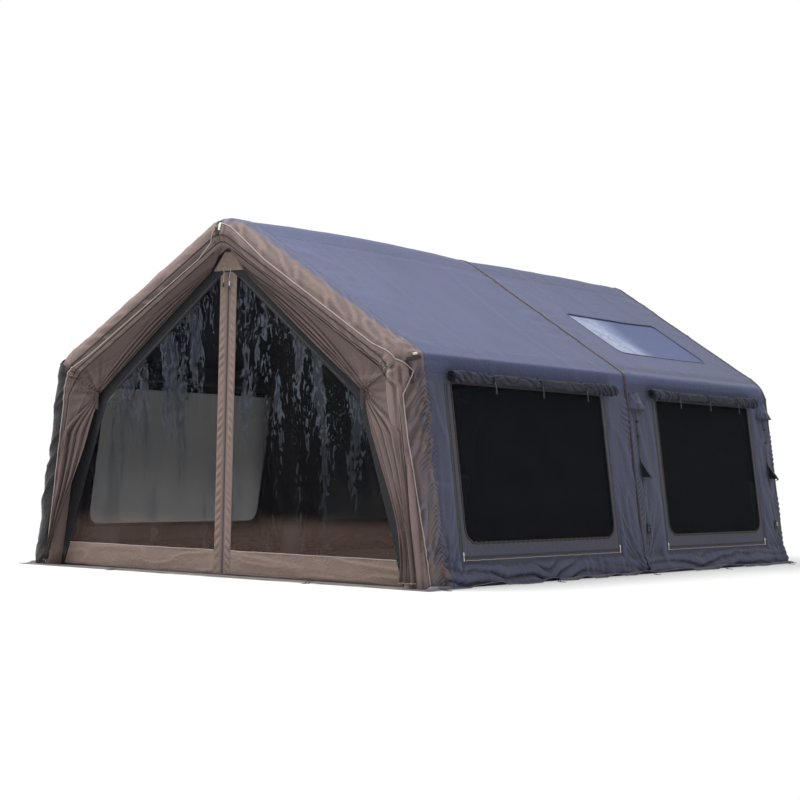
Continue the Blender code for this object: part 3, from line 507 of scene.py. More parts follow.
@dataclass(frozen=True)
class WebbingFinish:
    """Ribbed polyester webbing or cord."""

    name: str
    colour: Colour
    rib: float = 0.0022

    def make(self) -> bpy.types.Material:
        """Build the material.

        Returns:
            Webbing with slanted ribs and fuzzy edges.
        """
        graph = Graph(self.name)
        sheet = graph.node("UVMap", {"uv_map": "Sheet"})
        turn = FULL_TURN / self.rib
        slant = graph.part(sheet, 0) * turn + graph.part(sheet, 1) * turn
        ribs = slant.sine() * 0.5 + 0.5
        fuzz = graph.noise(graph.place(), 400.0, 2.0)
        grey = 0.78 + 0.22 * ribs + 0.20 * (fuzz - 0.5)
        graph.dress(Base_Color=graph.tone(self.colour, grey),
                    Roughness=0.70 + 0.15 * fuzz, Normal=graph.bump(ribs, 0.0006, 0.7),
                    Sheen_Weight=0.15)
        return graph.material


@dataclass(frozen=True)
class HardFinish:
    """Moulded plastic or cast metal, rubbed on its raised places."""

    name: str
    colour: Colour
    metallic: float = 0.0
    roughness: float = 0.4

    def make(self) -> bpy.types.Material:
        """Build the material.

        Returns:
            Hard finish with grain and scuffs.
        """
        graph = Graph(self.name)
        place = graph.place()
        grain = graph.noise(place, 900.0, 2.0)
        scuff = graph.noise(place, 60.0, 5.0).step(0.52, 0.70)
        light = tuple(min(1.0, value * 1.6 + 0.03) for value in self.colour)
        graph.dress(Base_Color=graph.mix(scuff * 0.5, self.colour, light),
                    Roughness=self.roughness + 0.18 * scuff + 0.08 * (grain - 0.5),
                    Metallic=self.metallic, Normal=graph.bump(grain, 0.0002, 0.4))
        return graph.material


class Finish(Enum):
    """Every finish of the tent, with the slot that it belongs to."""

    ROOF = ("roof_cloth", Cloth("roof_oxford", srgb(70, 78, 113), srgb(88, 76, 75)))
    RIDGE = ("roof_cloth", Cloth("ridge_oxford", srgb(65, 73, 107)))
    # Wall cloth: the roof's slate cloth set darker, as painted shade on the walls; its second colour
    # is the window frame's.
    WALL = ("wall_cloth", Cloth("wall_oxford", srgb(70, 73, 97), srgb(72, 69, 83), dust=0.12,
                               ridge=0.22, crease_shade=0.50))
    # Blind cloth: the wall cloth darkened as painted shade, with strong painted highlights on ridges
    # and painted shade in creases; the bands, the hanging cloth and the strap gores take it too.
    BLIND = ("wall_cloth", Cloth("blind_oxford", srgb(37, 38, 51), dust=0.0, sheen=0.0,
                                 grain=0.14, ridge=0.60, crease_shade=0.75))
    # Near-black cloth that paints shade: the sheet beside the left leg and the door surround.
    SHADE = ("wall_cloth", Cloth("facing_oxford", srgb(17, 18, 26), ridge=0.35, crease_shade=0.6))
    FRONT = ("front_cloth", Cloth("front_oxford", srgb(126, 108, 101), srgb(86, 73, 70)))
    # Curtain cloth: the front cloth darkened as painted shade; its second colour is deeper painted
    # shade in the pleats and over the left curtain.
    DRAPE = ("front_cloth", Cloth("drape_oxford", srgb(92, 77, 75), srgb(52, 42, 40),
                                  ridge=0.26, crease_shade=0.60))
    # Sleeve cloth: the front cloth a little darkened as painted shade; its slate second colour is
    # painted cool sky light blending in from the roof side.
    SLEEVE = ("front_cloth", Cloth("sleeve_oxford", srgb(109, 93, 90), srgb(72, 78, 106),
                                   ridge=0.26, crease_shade=0.40))
    HEM = ("hem_cloth", Cloth("hem_twill", srgb(44, 35, 34), thread=0.0022, dust=0.10))
    SEAM = ("hem_cloth", Cloth("seam_tape", srgb(62, 54, 58), thread=0.0022, dust=0.15))
    SKIRT = ("skirt_cloth", Cloth("skirt_coated", srgb(100, 95, 106), roughness=0.55,
                                  dust=0.45))
    FLOOR = ("ground_sheet", Cloth("floor_coated", srgb(104, 100, 98), roughness=0.50))
    PIPING = ("front_cloth", WebbingFinish("piping_cord", srgb(172, 160, 154)))
    ELASTIC = ("webbing", WebbingFinish("grey_elastic", srgb(104, 102, 110)))
    WEBBING = ("webbing", WebbingFinish("black_webbing", srgb(40, 41, 50)))
    THREAD = ("webbing", WebbingFinish("seam_thread", srgb(120, 112, 114), rib=0.0008))
    TAPE = ("webbing", WebbingFinish("zip_tape", srgb(46, 44, 52), rib=0.0012))
    NET = ("netting", NetFinish("insect_net", srgb(11, 13, 21)))
    # Door film: its streaks and crumples are painted reflections and highlights, its near-black haze
    # painted shade of the inside.
    FILM = ("clear_film", FilmFinish("clear_vinyl", srgb(45, 48, 56)))
    # Skylight: its pale, nearly opaque colours are a painted reflection of the sky, fading to the
    # darker rear colour towards the rear.
    ROOFLIGHT = ("clear_film", FilmFinish("rooflight_vinyl", srgb(148, 158, 190),
                                          painted_highlight=srgb(163, 173, 205), painted_haze=srgb(138, 149, 182),
                                          foot_colour=srgb(138, 149, 182), clear=(0.72, 0.82),
                                          cover=0.10, grain=5.0, rear=srgb(102, 111, 143),
                                          shade_veil=0.0))
    BLADDER = ("air_tube", BladderFinish("air_bladder", srgb(206, 212, 198)))
    COIL = ("zip_metal", HardFinish("zip_coil", srgb(58, 56, 60), 0.1, 0.5))
    METAL = ("zip_metal", HardFinish("zip_alloy", srgb(206, 206, 208), 1.0, 0.28))
    BUCKLE = ("valve_plastic", HardFinish("black_acetal", srgb(34, 34, 37), 0.0, 0.36))
    CLIP = ("valve_plastic", HardFinish("pale_acetal", srgb(214, 212, 206), 0.0, 0.40))

    @property
    def slot(self) -> str:
        """Return the slot."""
        return self.value[0]

    def material(self) -> bpy.types.Material:
        """Return the material, made once."""
        name = self.value[1].name
        return bpy.data.materials.get(name) or self.value[1].make()


# ---- cloth fields


@dataclass(frozen=True)
class Ripple:
    """Seeded smooth noise for folds."""

    seed: int
    size: int = 64

    def field(self, across: Array, along: Array) -> Array:
        """Give noise on two coordinates.

        Args:
            across: first coordinate, one unit a feature.
            along: second coordinate.

        Returns:
            Noise from -1 to 1.
        """
        lattice = np.random.default_rng(self.seed).uniform(-1, 1, (self.size, self.size))
        across, along = np.broadcast_arrays(np.asarray(across, float), np.asarray(along, float))
        i, j = np.floor(across).astype(int), np.floor(along).astype(int)
        u, v = ease(across - i), ease(along - j)

        def knot(a: int, b: int) -> Array:
            """Return the lattice values at a corner of each cell."""
            return lattice[(i + a) % self.size, (j + b) % self.size]

        low = knot(0, 0) * (1 - u) + knot(1, 0) * u
        high = knot(0, 1) * (1 - u) + knot(1, 1) * u
        return low * (1 - v) + high * v

    def crease(self, across: Array, along: Array, sharp: float = 3.0) -> Array:
        """Return thin folds from 0 to 1 along the noise's zero lines."""
        return (1 - np.abs(self.field(across, along))) ** sharp


def puckers(along: Array, away: Array, pitch: float, reach: float, depth: float, seed: int,
            slant: float = 0.0) -> Array:
    """Give short folds that cross a seam and fade away from it.

    Args:
        along: distance along the seam.
        away: distance from the seam.
        pitch: distance between folds.
        reach: distance over which a fold fades.
        depth: height of the tallest fold.
        seed: seed of the unevenness.
        slant: how far a fold leans along the seam for each metre away.

    Returns:
        Heights of the cloth.
    """
    away = np.abs(away)
    noise = Ripple(seed)
    drift = noise.field(along / (pitch * 3.3), away / (reach * 1.4))
    wave = 0.5 + 0.5 * np.cos(FULL_TURN * ((along + slant * away) / pitch + 0.45 * drift))
    strength = 0.45 + 0.55 * noise.field(along / (pitch * 2.1) + 11.3, 0.0)
    return depth * wave ** 1.4 * np.clip(strength, 0.0, 1.0) * np.exp(-((away / reach) ** 1.3))


def drapes(along: Array, up: Array, reach: float, depth: float, seed: int) -> Array:
    """Give long soft folds that swing low between hanging points near the ground.

    Args:
        along: distance along the foot.
        up: height over the ground.
        reach: height at which the folds are gone.
        depth: height of the tallest fold.
        seed: seed of the unevenness.

    Returns:
        Heights of the cloth.
    """
    noise = Ripple(seed)
    swing = up + 0.035 * noise.field(along / 0.34, 0.0) + 0.02 * noise.field(along / 0.15, 3.0)
    phase = math.pi * swing / 0.070 + 1.4 * noise.field(along / 0.5, 7.0)
    wave = 1 - (1 - np.abs(np.sin(phase))) ** 2
    patch = 0.55 + 0.5 * noise.field(along / 0.42 + 5.0, up / 0.2)
    return depth * wave * np.clip(patch * 1.4, 0, 1) * (1 - ease(up / reach))


# ---- meshes


def linked(name: str, data: bpy.types.ID) -> bpy.types.Object:
    """Make an object of some data and link it to the scene.

    Args:
        name: name of the object.
        data: mesh, camera or light data.

    Returns:
        The linked object.
    """
    made = bpy.data.objects.new(name, data)
    bpy.context.scene.collection.objects.link(made)
    return made


def store(mesh: bpy.types.Mesh, name: str, values: Array) -> None:
    """Keep a number for each vertex.

    Args:
        mesh: mesh that takes the attribute.
        name: name of the attribute.
        values: one number a vertex.
    """
    layer = mesh.attributes.new(name, "FLOAT", "POINT")
    layer.data.foreach_set("value", np.ascontiguousarray(values, np.float32))


def to_mesh(name: str, points: Array, faces: Array, uv: Array, fold: Optional[Array] = None,
            tint: Optional[Array] = None, sharp: float = 50.0) -> bpy.types.Object:
    """Make an object from points and quads, leaving out unused points.

    Args:
        name: name of the object.
        points: points in the tent's frame, one a row.
        faces: four point numbers a face.
        uv: sheet coordinates in metres, one a point.
        fold: how raised the cloth is at each point, -1 to 1.
        tint: share of the second colour at each point.
        sharp: angle in degrees over which an edge is sharp.

    Returns:
        The linked object.
    """
    used, faces = np.unique(faces, return_inverse=True)
    faces = faces.reshape(-1, 4)
    mesh = bpy.data.meshes.new(name)
    mesh.from_pydata(points[used].tolist(), [], faces.tolist())
    mesh.update()
    layer = mesh.uv_layers.new(name="Sheet")
    loops = np.zeros(len(mesh.loops), np.int32)
    mesh.loops.foreach_get("vertex_index", loops)
    layer.data.foreach_set("uv", np.ascontiguousarray(uv[used][loops], np.float32).ravel())
    store(mesh, "Fold", np.zeros(len(used)) if fold is None else fold[used])
    store(mesh, "Tint", np.zeros(len(used)) if tint is None else tint[used])
    mesh.shade_smooth()
    mesh.set_sharp_from_angle(angle=math.radians(sharp))
    return linked(name, mesh)


def raised(out: Array, reach: int = 3) -> Array:
    """Tell how far each grid point stands over its neighbours.

    Args:
        out: heights of the cloth on its grid.
        reach: grid steps to look away.

    Returns:
        Values from -1 in a crease to 1 on a ridge.
    """
    rows, cols = out.shape
    high, wide = min(reach, rows - 1), min(reach, cols - 1)
    padded = np.pad(out, ((high, high), (wide, wide)), mode="edge")
    around = (padded[:rows, wide:wide + cols] + padded[2 * high:, wide:wide + cols]
              + padded[high:high + rows, :cols] + padded[high:high + rows, 2 * wide:]) / 4
    return np.clip((out - around) / FULL_FOLD, -1.0, 1.0)


def closed_sheet(name: str, front: Array, back: Array, uv: Array, out: Optional[Array] = None,
                 tint: Optional[Array] = None, wrap: bool = False) -> bpy.types.Object:
    """Make a thin closed body from a grid of front points and one of back points.

    Args:
        name: name of the object.
        front: rows x columns x 3 points of the outer face.
        back: the same for the inner face.
        uv: rows x columns x 2 sheet coordinates in metres.
        out: heights of the folds, for the Fold attribute.
        tint: share of the second colour on the grid.
        wrap: whether the last column meets the first.

    Returns:
        The linked object.
    """
    rows, cols = front.shape[:2]
    count = rows * cols
    index = np.arange(count).reshape(rows, cols)
    if wrap:
        index = np.concatenate([index, index[:, :1]], axis=1)
    quads = np.stack([index[:-1, :-1], index[1:, :-1], index[1:, 1:], index[:-1, 1:]], -1)
    quads = quads.reshape(-1, 4)
    outer, inner = front.reshape(-1, 3), back.reshape(-1, 3)
    corner = outer[quads[:, 0]]
    normal = np.cross(outer[quads[:, 1]] - corner, outer[quads[:, 3]] - corner)
    if (normal * (corner - inner[quads[:, 0]])).sum() < 0:
        quads = quads[:, ::-1]
    edges = np.concatenate([quads[:, [k, (k + 1) % 4]] for k in range(4)])
    keys, turned = edges[:, 0] * count + edges[:, 1], edges[:, 1] * count + edges[:, 0]
    rim = edges[~np.isin(keys, turned)]
    rims = np.stack([rim[:, 1], rim[:, 0], rim[:, 0] + count, rim[:, 1] + count], -1)
    faces = np.concatenate([quads, quads[:, ::-1] + count, rims])
    both = np.concatenate([outer, inner])
    sheet = np.tile(uv.reshape(-1, 2), (2, 1))
    fold = None if out is None else np.tile(raised(out).ravel(), 2)
    shade = None if tint is None else np.tile(tint.ravel(), 2)
    return to_mesh(name, both, faces, sheet, fold, shade)


def loft(name: str, rings: Array, tint: Optional[Array] = None, uv: Optional[Array] = None,
         closed: bool = False, sharp: float = 50.0) -> bpy.types.Object:
    """Make a tube through rings of points, capped unless it closes on itself.

    Args:
        name: name of the object.
        rings: rings x points x 3.
        tint: share of the second colour for each ring point.
        uv: rings x points x 2 sheet coordinates.
        closed: whether the last ring meets the first.
        sharp: angle in degrees over which an edge is sharp.

    Returns:
        The linked object.
    """
    rows, cols = rings.shape[:2]
    points = rings.reshape(-1, 3)
    index = np.arange(rows * cols).reshape(rows, cols)
    ring = np.concatenate([index, index[:, :1]], axis=1)
    if closed:
        ring = np.concatenate([ring, ring[:1]], axis=0)
    quads = np.stack([ring[:-1, :-1], ring[1:, :-1], ring[1:, 1:], ring[:-1, 1:]], -1)
    faces = [quads.reshape(-1, 4)]
    if uv is None:
        uv = np.stack(np.meshgrid(run_of(rings[:, 0]), run_of(rings[0]), indexing="ij"), -1)
    uv = uv.reshape(-1, 2)
    shade = None if tint is None else tint.ravel()
    if not closed:
        caps = []
        for row, side in ((0, 1), (rows - 1, -1)):
            middle = len(points)
            points = np.concatenate([points, rings[row].mean(axis=0)[None]])
            uv = np.concatenate([uv, uv[index[row]].mean(axis=0)[None]])
            if shade is not None:
                shade = np.concatenate([shade, shade[index[row]].mean()[None]])
            for k in range(0, cols - cols % 2, 2):
                face = [index[row, k], index[row, (k + 1) % cols], index[row, (k + 2) % cols],
                        middle]
                caps.append(face[::side])
        faces.append(np.array(caps))
    faces = np.concatenate(faces)
    used = faces[:rows * cols]
    first = points[used[:, 0]]
    normal = np.cross(points[used[:, 1]] - first, points[used[:, 3]] - first)
    centre = rings.mean(axis=1)[np.minimum(used[:, 0] // cols, rows - 1)]
    if (normal * (first - centre)).sum() < 0:
        faces = faces[:, ::-1]
    return to_mesh(name, points, faces, uv, None, shade, sharp)


def tangents(path: Array, closed: bool = False) -> Array:
    """Return the unit direction of a path at each of its points.

    Args:
        path: points in order.
        closed: whether the path meets itself.

    Returns:
        One unit vector a point.
    """
    if closed:
        way = np.roll(path, -1, axis=0) - np.roll(path, 1, axis=0)
    else:
        way = np.gradient(path, axis=0)
    return way / np.maximum(np.linalg.norm(way, axis=1, keepdims=True), 1e-9)


def ribbon(name: str, path: Array, up: Array, width: Union[float, Array], height: float,
           closed: bool = False, crown: float = 0.25) -> bpy.types.Object:
    """Make a flat strap along a path.

    Args:
        name: name of the object.
        path: points of the strap's underside, along its middle.
        up: direction that its face looks in, one a point.
        width: width in metres, or one width a point.
        height: thickness in metres.
        closed: whether the path meets itself.
        crown: share of the width that each rounded edge takes.

    Returns:
        The linked object.
    """
    way = tangents(path, closed)
    up = up - (up * way).sum(axis=1, keepdims=True) * way
    up = up / np.maximum(np.linalg.norm(up, axis=1, keepdims=True), 1e-9)
    across = np.cross(way, up)
    half = np.broadcast_to(np.asarray(width, float), len(path))[:, None] / 2
    flat = 1 - crown
    section = [(-1.0, 0.0), (-1.0, 0.55), (-flat, 1.0), (0.0, 1.0), (flat, 1.0), (1.0, 0.55),
               (1.0, 0.0), (0.0, 0.0)]
    rings = np.stack([path + across * half * a + up * height * b for a, b in section], axis=1)
    return loft(name, rings, closed=closed, sharp=70.0)


def round_cord(name: str, path: Array, radius: Union[float, Array], sides: int = 8,
               closed: bool = False) -> bpy.types.Object:
    """Make a round cord along a path.

    Args:
        name: name of the object.
        path: points along its middle.
        radius: radius, or one radius a point.
        sides: sides of its section.
        closed: whether the path meets itself.

    Returns:
        The linked object.
    """
    way = tangents(path, closed)
    hint = np.array([0.03, 0.99, 0.05]) if abs(way[:, 1]).mean() < 0.7 else np.array([1.0, 0, 0])
    aside = hint - (hint * way).sum(axis=1, keepdims=True) * way
    aside /= np.maximum(np.linalg.norm(aside, axis=1, keepdims=True), 1e-9)
    over = np.cross(way, aside)
    reach = np.broadcast_to(np.asarray(radius, float), len(path))[:, None]
    turns = ring_turns(sides)
    rings = np.stack([path + reach * (aside * math.cos(t) + over * math.sin(t)) for t in turns],
                     axis=1)
    return loft(name, rings, closed=closed)


def turned(name: str, base: Vector, direction: Vector, stations: Sequence[tuple[float, float]],
           sides: int = 16) -> bpy.types.Object:
    """Make a turned body.

    Args:
        name: name of the object.
        base: start of its axis.
        direction: direction of its axis.
        stations: distance along the axis and radius.
        sides: sides of its section.

    Returns:
        The linked object.
    """
    axis = direction.normalized()
    aside = axis.orthogonal().normalized()
    over = axis.cross(aside)
    rings = [[base + axis * d + (aside * math.cos(t) + over * math.sin(t)) * r
              for t in ring_turns(sides)] for d, r in stations]
    return loft(name, np.array([[tuple(p) for p in ring] for ring in rings]), sharp=40.0)


def paint(piece: bpy.types.Object, finish: Finish) -> bpy.types.Object:
    """Give a piece one finish.

    Args:
        piece: object to paint.
        finish: finish that it takes.

    Returns:
        The piece.
    """
    piece.data.materials.clear()
    piece.data.materials.append(finish.material())
    return (piece, finish.slot)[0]


def fit(piece: bpy.types.Object, finish: Finish, body: str, *nodes: str) -> bpy.types.Object:
    """Finish a piece, ride it on its body and let it stand for CAD nodes.

    Args:
        piece: object in place.
        finish: its finish.
        body: body that it moves with.
        *nodes: CAD nodes that it stands for.

    Returns:
        The piece.
    """
    paint(piece, finish)
    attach(piece, body)
    if nodes:
        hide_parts(*nodes)
    LOG.info("%s: %d faces on %s", piece.name, len(piece.data.polygons), body)
    return piece


# ---- repeated pieces, by Geometry Nodes


SIZES = ("Length", "Width", "Height", "Pitch")
SCALES = (0.86, 1.08)


class SeamTree:
    """Geometry Nodes tree that sets one small solid after another along polylines."""

    def __init__(self, name: str, finish: Finish) -> None:
        """Build the tree.

        Args:
            name: name of the tree.
            finish: finish of the solids.
        """
        self.tree = bpy.data.node_groups.new(name, "GeometryNodeTree")
        face = self.tree.interface
        face.new_socket(name="Path", in_out="INPUT", socket_type="NodeSocketGeometry")
        for size in SIZES:
            face.new_socket(name=size, in_out="INPUT", socket_type="NodeSocketFloat")
        face.new_socket(name="Seed", in_out="INPUT", socket_type="NodeSocketInt")
        face.new_socket(name="Run", in_out="OUTPUT", socket_type="NodeSocketGeometry")
        given = self.tree.nodes.new("NodeGroupInput")
        curve = self.add("GeometryNodeMeshToCurve", {"Mesh": given.outputs["Path"]})
        even = self.add("GeometryNodeResampleCurve", {"Curve": curve.outputs[0],
                                                      "Length": given.outputs["Pitch"]},
                        {"mode": "LENGTH"})
        box = self.add("ShaderNodeCombineXYZ", {"X": given.outputs["Length"],
                                                "Y": given.outputs["Width"],
                                                "Z": given.outputs["Height"]})
        solid = self.add("GeometryNodeMeshCube", {"Size": box.outputs[0]})
        up = self.add("GeometryNodeInputNamedAttribute", {"Name": "Up"},
                      {"data_type": "FLOAT_VECTOR"})
        way = self.add("GeometryNodeInputTangent", {})
        turn = self.add("FunctionNodeAxesToRotation", {"Primary Axis": way.outputs[0],
                                                       "Secondary Axis": up.outputs[0]},
                        {"primary_axis": "X", "secondary_axis": "Z"})
        uneven = self.add("FunctionNodeRandomValue", {"Seed": given.outputs["Seed"]},
                          {"data_type": "FLOAT"})
        for number, limit in enumerate(SCALES):
            uneven.inputs[2 + number].default_value = limit
        copies = self.add("GeometryNodeInstanceOnPoints",
                          {"Points": even.outputs[0], "Instance": solid.outputs["Mesh"],
                           "Rotation": turn.outputs[0], "Scale": uneven.outputs[1]})
        real = self.add("GeometryNodeRealizeInstances", {"Geometry": copies.outputs[0]})
        coat = self.add("GeometryNodeSetMaterial", {"Geometry": real.outputs[0],
                                                    "Material": finish.material()})
        out = self.tree.nodes.new("NodeGroupOutput")
        self.tree.links.new(coat.outputs[0], out.inputs[0])

    def add(self, kind: str, values: dict, settings: Optional[dict] = None) -> bpy.types.Node:
        """Add one node.

        Args:
            kind: full node type.
            values: sockets or values for its inputs.
            settings: properties, set first.

        Returns:
            The node.
        """
        made = self.tree.nodes.new(kind)
        for key, value in (settings or {}).items():
            setattr(made, key, value)
        for key, value in values.items():
            if isinstance(value, bpy.types.NodeSocket):
                self.tree.links.new(value, made.inputs[key])
            else:
                made.inputs[key].default_value = value
        return made


class Repeat(Enum):
    """Small solids that repeat along a seam: length, width and height of one, pitch and finish."""

    STITCH = (0.0075, 0.0016, 0.0012, 0.0115, Finish.THREAD)
    TOOTH = (0.0016, 0.0052, 0.0024, 0.0034, Finish.COIL)

    @property
    def tree(self) -> bpy.types.NodeTree:
        """Return the solid's Geometry Nodes tree, made once."""
        name = "run_" + self.name.lower()
        return bpy.data.node_groups.get(name) or SeamTree(name, self.value[-1]).tree

    def run(self, name: str, paths: Sequence[tuple[Array, Array]], body: str,
            seed: int = 7) -> bpy.types.Object:
        """Lay the solids along paths and fit the plain mesh to a body.

        Args:
            name: name of the object.
            paths: pairs of points and of the directions that their surface looks in.
            body: body that they move with.
            seed: seed of their unevenness.

        Returns:
            The object with the plain mesh.
        """
        points = np.concatenate([path for path, _ in paths])
        ups = np.concatenate([np.broadcast_to(up, path.shape) for path, up in paths])
        edges, start = [], 0
        for path, _ in paths:
            edges += [(start + k, start + k + 1) for k in range(len(path) - 1)]
            start += len(path)
        line = bpy.data.meshes.new(name + "_path")
        line.from_pydata(points.tolist(), edges, [])
        layer = line.attributes.new("Up", "FLOAT_VECTOR", "POINT")
        layer.data.foreach_set("vector", np.ascontiguousarray(ups, np.float32).ravel())
        guide = linked(name + "_guide", line)
        run = guide.modifiers.new("run", "NODES")
        run.node_group = self.tree
        wanted = dict(zip(SIZES, self.value), Seed=seed)
        for item in run.node_group.interface.items_tree:
            if item.item_type == "SOCKET" and item.in_out == "INPUT" and item.name in wanted:
                run[item.identifier] = wanted[item.name]
        graph = bpy.context.evaluated_depsgraph_get()
        mesh = bpy.data.meshes.new_from_object(guide.evaluated_get(graph))
        mesh.name = name
        guide.modifiers.remove(run)
        bpy.data.objects.remove(guide)
        return fit(linked(name, mesh), self.value[-1], body)


# ---- the tent's shape


@dataclass(frozen=True)
class Shell:
    """Driving sizes of the cover, in metres, the same as in the frame."""

    base_half_width: float = 1.4825
    wall_lean: float = math.radians(8.1)
    eave_height: float = 1.267
    ridge_height: float = 2.100
    front_arch_y: float = -2.200
    middle_arch_y: float = 0.145
    rear_arch_y: float = 2.200
    arch_radius: float = 0.080
    bend_radius: float = 0.140
    skin: float = 0.004
    gap: float = 0.0003
    foot: float = 0.0043
    ridge_strip_half: float = 0.200
    sleeve_flange: float = 0.120

    @property
    def tan_wall(self) -> float:
        """Return the wall's run over its rise."""
        return math.tan(self.wall_lean)

    @property
    def tan_roof(self) -> float:
        """Return the roof's rise over its run."""
        half = self.base_half_width - self.eave_height * self.tan_wall
        return (self.ridge_height - self.eave_height) / half

    @property
    def pitch(self) -> float:
        """Return the roof's pitch."""
        return math.atan(self.tan_roof)

    @property
    def arch_inset(self) -> float:
        """Return the depth of the arch tubes' centre line under the cover."""
        return self.skin + self.gap + self.arch_radius

    @property
    def sleeve_radius(self) -> float:
        """Return the outer radius of the sleeve round the front arch."""
        return self.arch_radius + self.gap + self.skin

    @property
    def outer_bend(self) -> float:
        """Return the cover's bend radius at the eaves and the ridge."""
        return self.bend_radius + self.arch_inset

    @property
    def panel_front_y(self) -> float:
        """Return where the front bay's panels meet the sleeve."""
        return self.front_arch_y + self.sleeve_flange + self.gap

    @property
    def rear_wall_y(self) -> float:
        """Return the rear wall's inner face."""
        return self.rear_arch_y + self.arch_radius + self.gap

    @property
    def wall_top(self) -> float:
        """Return the height at which the wall meets the eave."""
        return self.eave_point(self.outer_bend)[1] + self.outer_bend * math.sin(self.wall_lean)

    def wall_x(self, inset: Union[float, Array], z: Union[float, Array]) -> Array:
        """Return x of the right wall, moved inwards by inset, at height z."""
        return self.base_half_width - inset / math.cos(self.wall_lean) - self.tan_wall * z

    def roof_z(self, inset: Union[float, Array], x: Union[float, Array]) -> Array:
        """Return z of the right slope, moved inwards by inset, at x."""
        return self.ridge_height - inset / math.cos(self.pitch) - self.tan_roof * x

    def eave_point(self, inset: float) -> tuple[float, float]:
        """Return where the inset wall and slope meet, as x and z.

        Args:
            inset: distance inwards from the cover's faces.

        Returns:
            The point.
        """
        x = self.wall_x(inset, 0.0) - self.tan_wall * self.roof_z(inset, 0.0)
        x /= 1.0 - self.tan_wall * self.tan_roof
        return x, self.roof_z(inset, x)

    def wall_out(self, side: int) -> Array:
        """Return a side wall's outward direction."""
        return np.array([side * math.cos(self.wall_lean), 0.0, math.sin(self.wall_lean)])

    def wall_point(self, side: int, y: Array, z: Array, out: Union[float, Array]) -> Array:
        """Give points on a side wall.

        Args:
            side: 1 for the right wall and -1 for the left one.
            y: places along the tent.
            z: heights.
            out: distance from the cover's outer face, outwards.

        Returns:
            Points, with one more axis of length 3.
        """
        y, z, out = np.broadcast_arrays(np.asarray(y, float), z, out)
        return np.stack([side * self.wall_x(-out, z), y, z], -1)


class GableLine:
    """The cover's gable line by its length, from the right foot to the left foot."""

    def __init__(self, shell: Shell, steps: int = 24) -> None:
        """Lay out the line.

        Args:
            shell: the tent's sizes.
            steps: steps of each rounded bend.
        """
        lean, flat = shell.wall_lean, math.pi / 2 - shell.pitch
        self.lean = lean
        angles = np.concatenate([[lean], np.linspace(lean, flat, steps + 1)])
        eave = shell.eave_point(shell.outer_bend)
        points = [(float(shell.wall_x(0.0, shell.foot)), shell.foot)]
        points += [(eave[0] + shell.outer_bend * math.cos(a),
                    eave[1] + shell.outer_bend * math.sin(a)) for a in angles[1:]]
        crest = np.linspace(flat, math.pi / 2, steps + 1)
        top = shell.roof_z(shell.outer_bend, 0.0)
        points += [(shell.outer_bend * math.cos(a), top + shell.outer_bend * math.sin(a))
                   for a in crest]
        angles = np.concatenate([angles, crest])
        normals = np.stack([np.cos(angles), np.sin(angles)], -1)
        self.points, self.normals = mirrored(np.array(points)), mirrored(normals)
        self.half = len(points)
        self.length = run_of(self.points)
        self.total = float(self.length[-1])
        self.wall = float(self.length[1])
        self.bend_end = float(self.length[1 + steps])
        self.crest_start = float(self.length[2 + steps])

    def at(self, run: Array, out: Union[float, Array], y: Union[float, Array]) -> Array:
        """Give points over the cover.

        Args:
            run: length along the line from the right foot.
            out: distance outwards from the cover's face.
            y: places along the tent.

        Returns:
            Points, with one more axis of length 3.
        """
        run, out, y = np.broadcast_arrays(np.asarray(run, float), out, y)
        from_foot = self.from_foot(run)
        slide = -out * math.tan(self.lean) * np.clip(1 - from_foot / self.wall, 0, 1)
        run = np.where(run <= self.total / 2, run + slide, run - slide)
        x, z = (np.interp(run, self.length, self.points[:, k]) for k in (0, 1))
        over = np.minimum(run, 0.0) + np.minimum(self.total - run, 0.0)
        nx, nz = (np.interp(run, self.length, self.normals[:, k]) for k in (0, 1))
        size = np.hypot(nx, nz)
        nx, nz = nx / size, nz / size
        x = x - np.sign(nx) * over * math.sin(self.lean)
        z = z + over * math.cos(self.lean)
        return np.stack([x + nx * out, y, z + nz * out], -1)

    def from_foot(self, run: Array) -> Array:
        """Return the length from the nearer foot."""
        return np.minimum(run, self.total - run)

    def normal(self, run: Array) -> Array:
        """Return the outward direction at lengths along the line.

        Args:
            run: lengths from the right foot.

        Returns:
            One vector a length.
        """
        run = np.asarray(run, float)
        parts = [np.interp(run, self.length, self.normals[:, k]) for k in (0, 1)]
        return np.stack([parts[0], np.zeros_like(run), parts[1]], -1)

    def run_at_x(self, x: float) -> float:
        """Return the length at which the right slope passes x."""
        return float(np.interp(-x, -self.points[1:self.half, 0], self.length[1:self.half]))

    def run_at_z(self, z: Array) -> Array:
        """Return the length at which the right wall passes a height."""
        share = (np.asarray(z, float) - self.points[0, 1]) / (self.points[1, 1] - self.points[0, 1])
        return share * self.wall

    def x_at_z(self, z: Array, inset: float = 0.0) -> Array:
        """Return x of the right half's line, moved inwards, at heights."""
        line = self.points[:self.half] - self.normals[:self.half] * inset
        return np.interp(z, line[:, 1], line[:, 0])


SHELL = Shell()
LINE = GableLine(SHELL)


# Angles on the sleeve's section at which the curtains are sewn, low at each side and high up,
# and the height at which they change with the run of the change.
SEWN = {"right": math.radians(66), "left": math.radians(122), "high": math.radians(150)}
SEWN_CHANGE = (1.07, 0.13)


def curtain_turn(z: Array, right: Array) -> Array:
    """Return the angle on the sleeve's section at which a curtain is sewn, by the height.

    Args:
        z: heights.
        right: whether each is on the right side.

    Returns:
        Angles in radians.
    """
    start, span = SEWN_CHANGE
    lower = np.where(right, SEWN["right"], SEWN["left"])
    return lower + (SEWN["high"] - lower) * ease((z - start) / span)


LEG_PUCKER = {"pitch": 0.0265, "reach": 0.074, "depth": 0.0190, "seed": 3, "slant": 0.9}


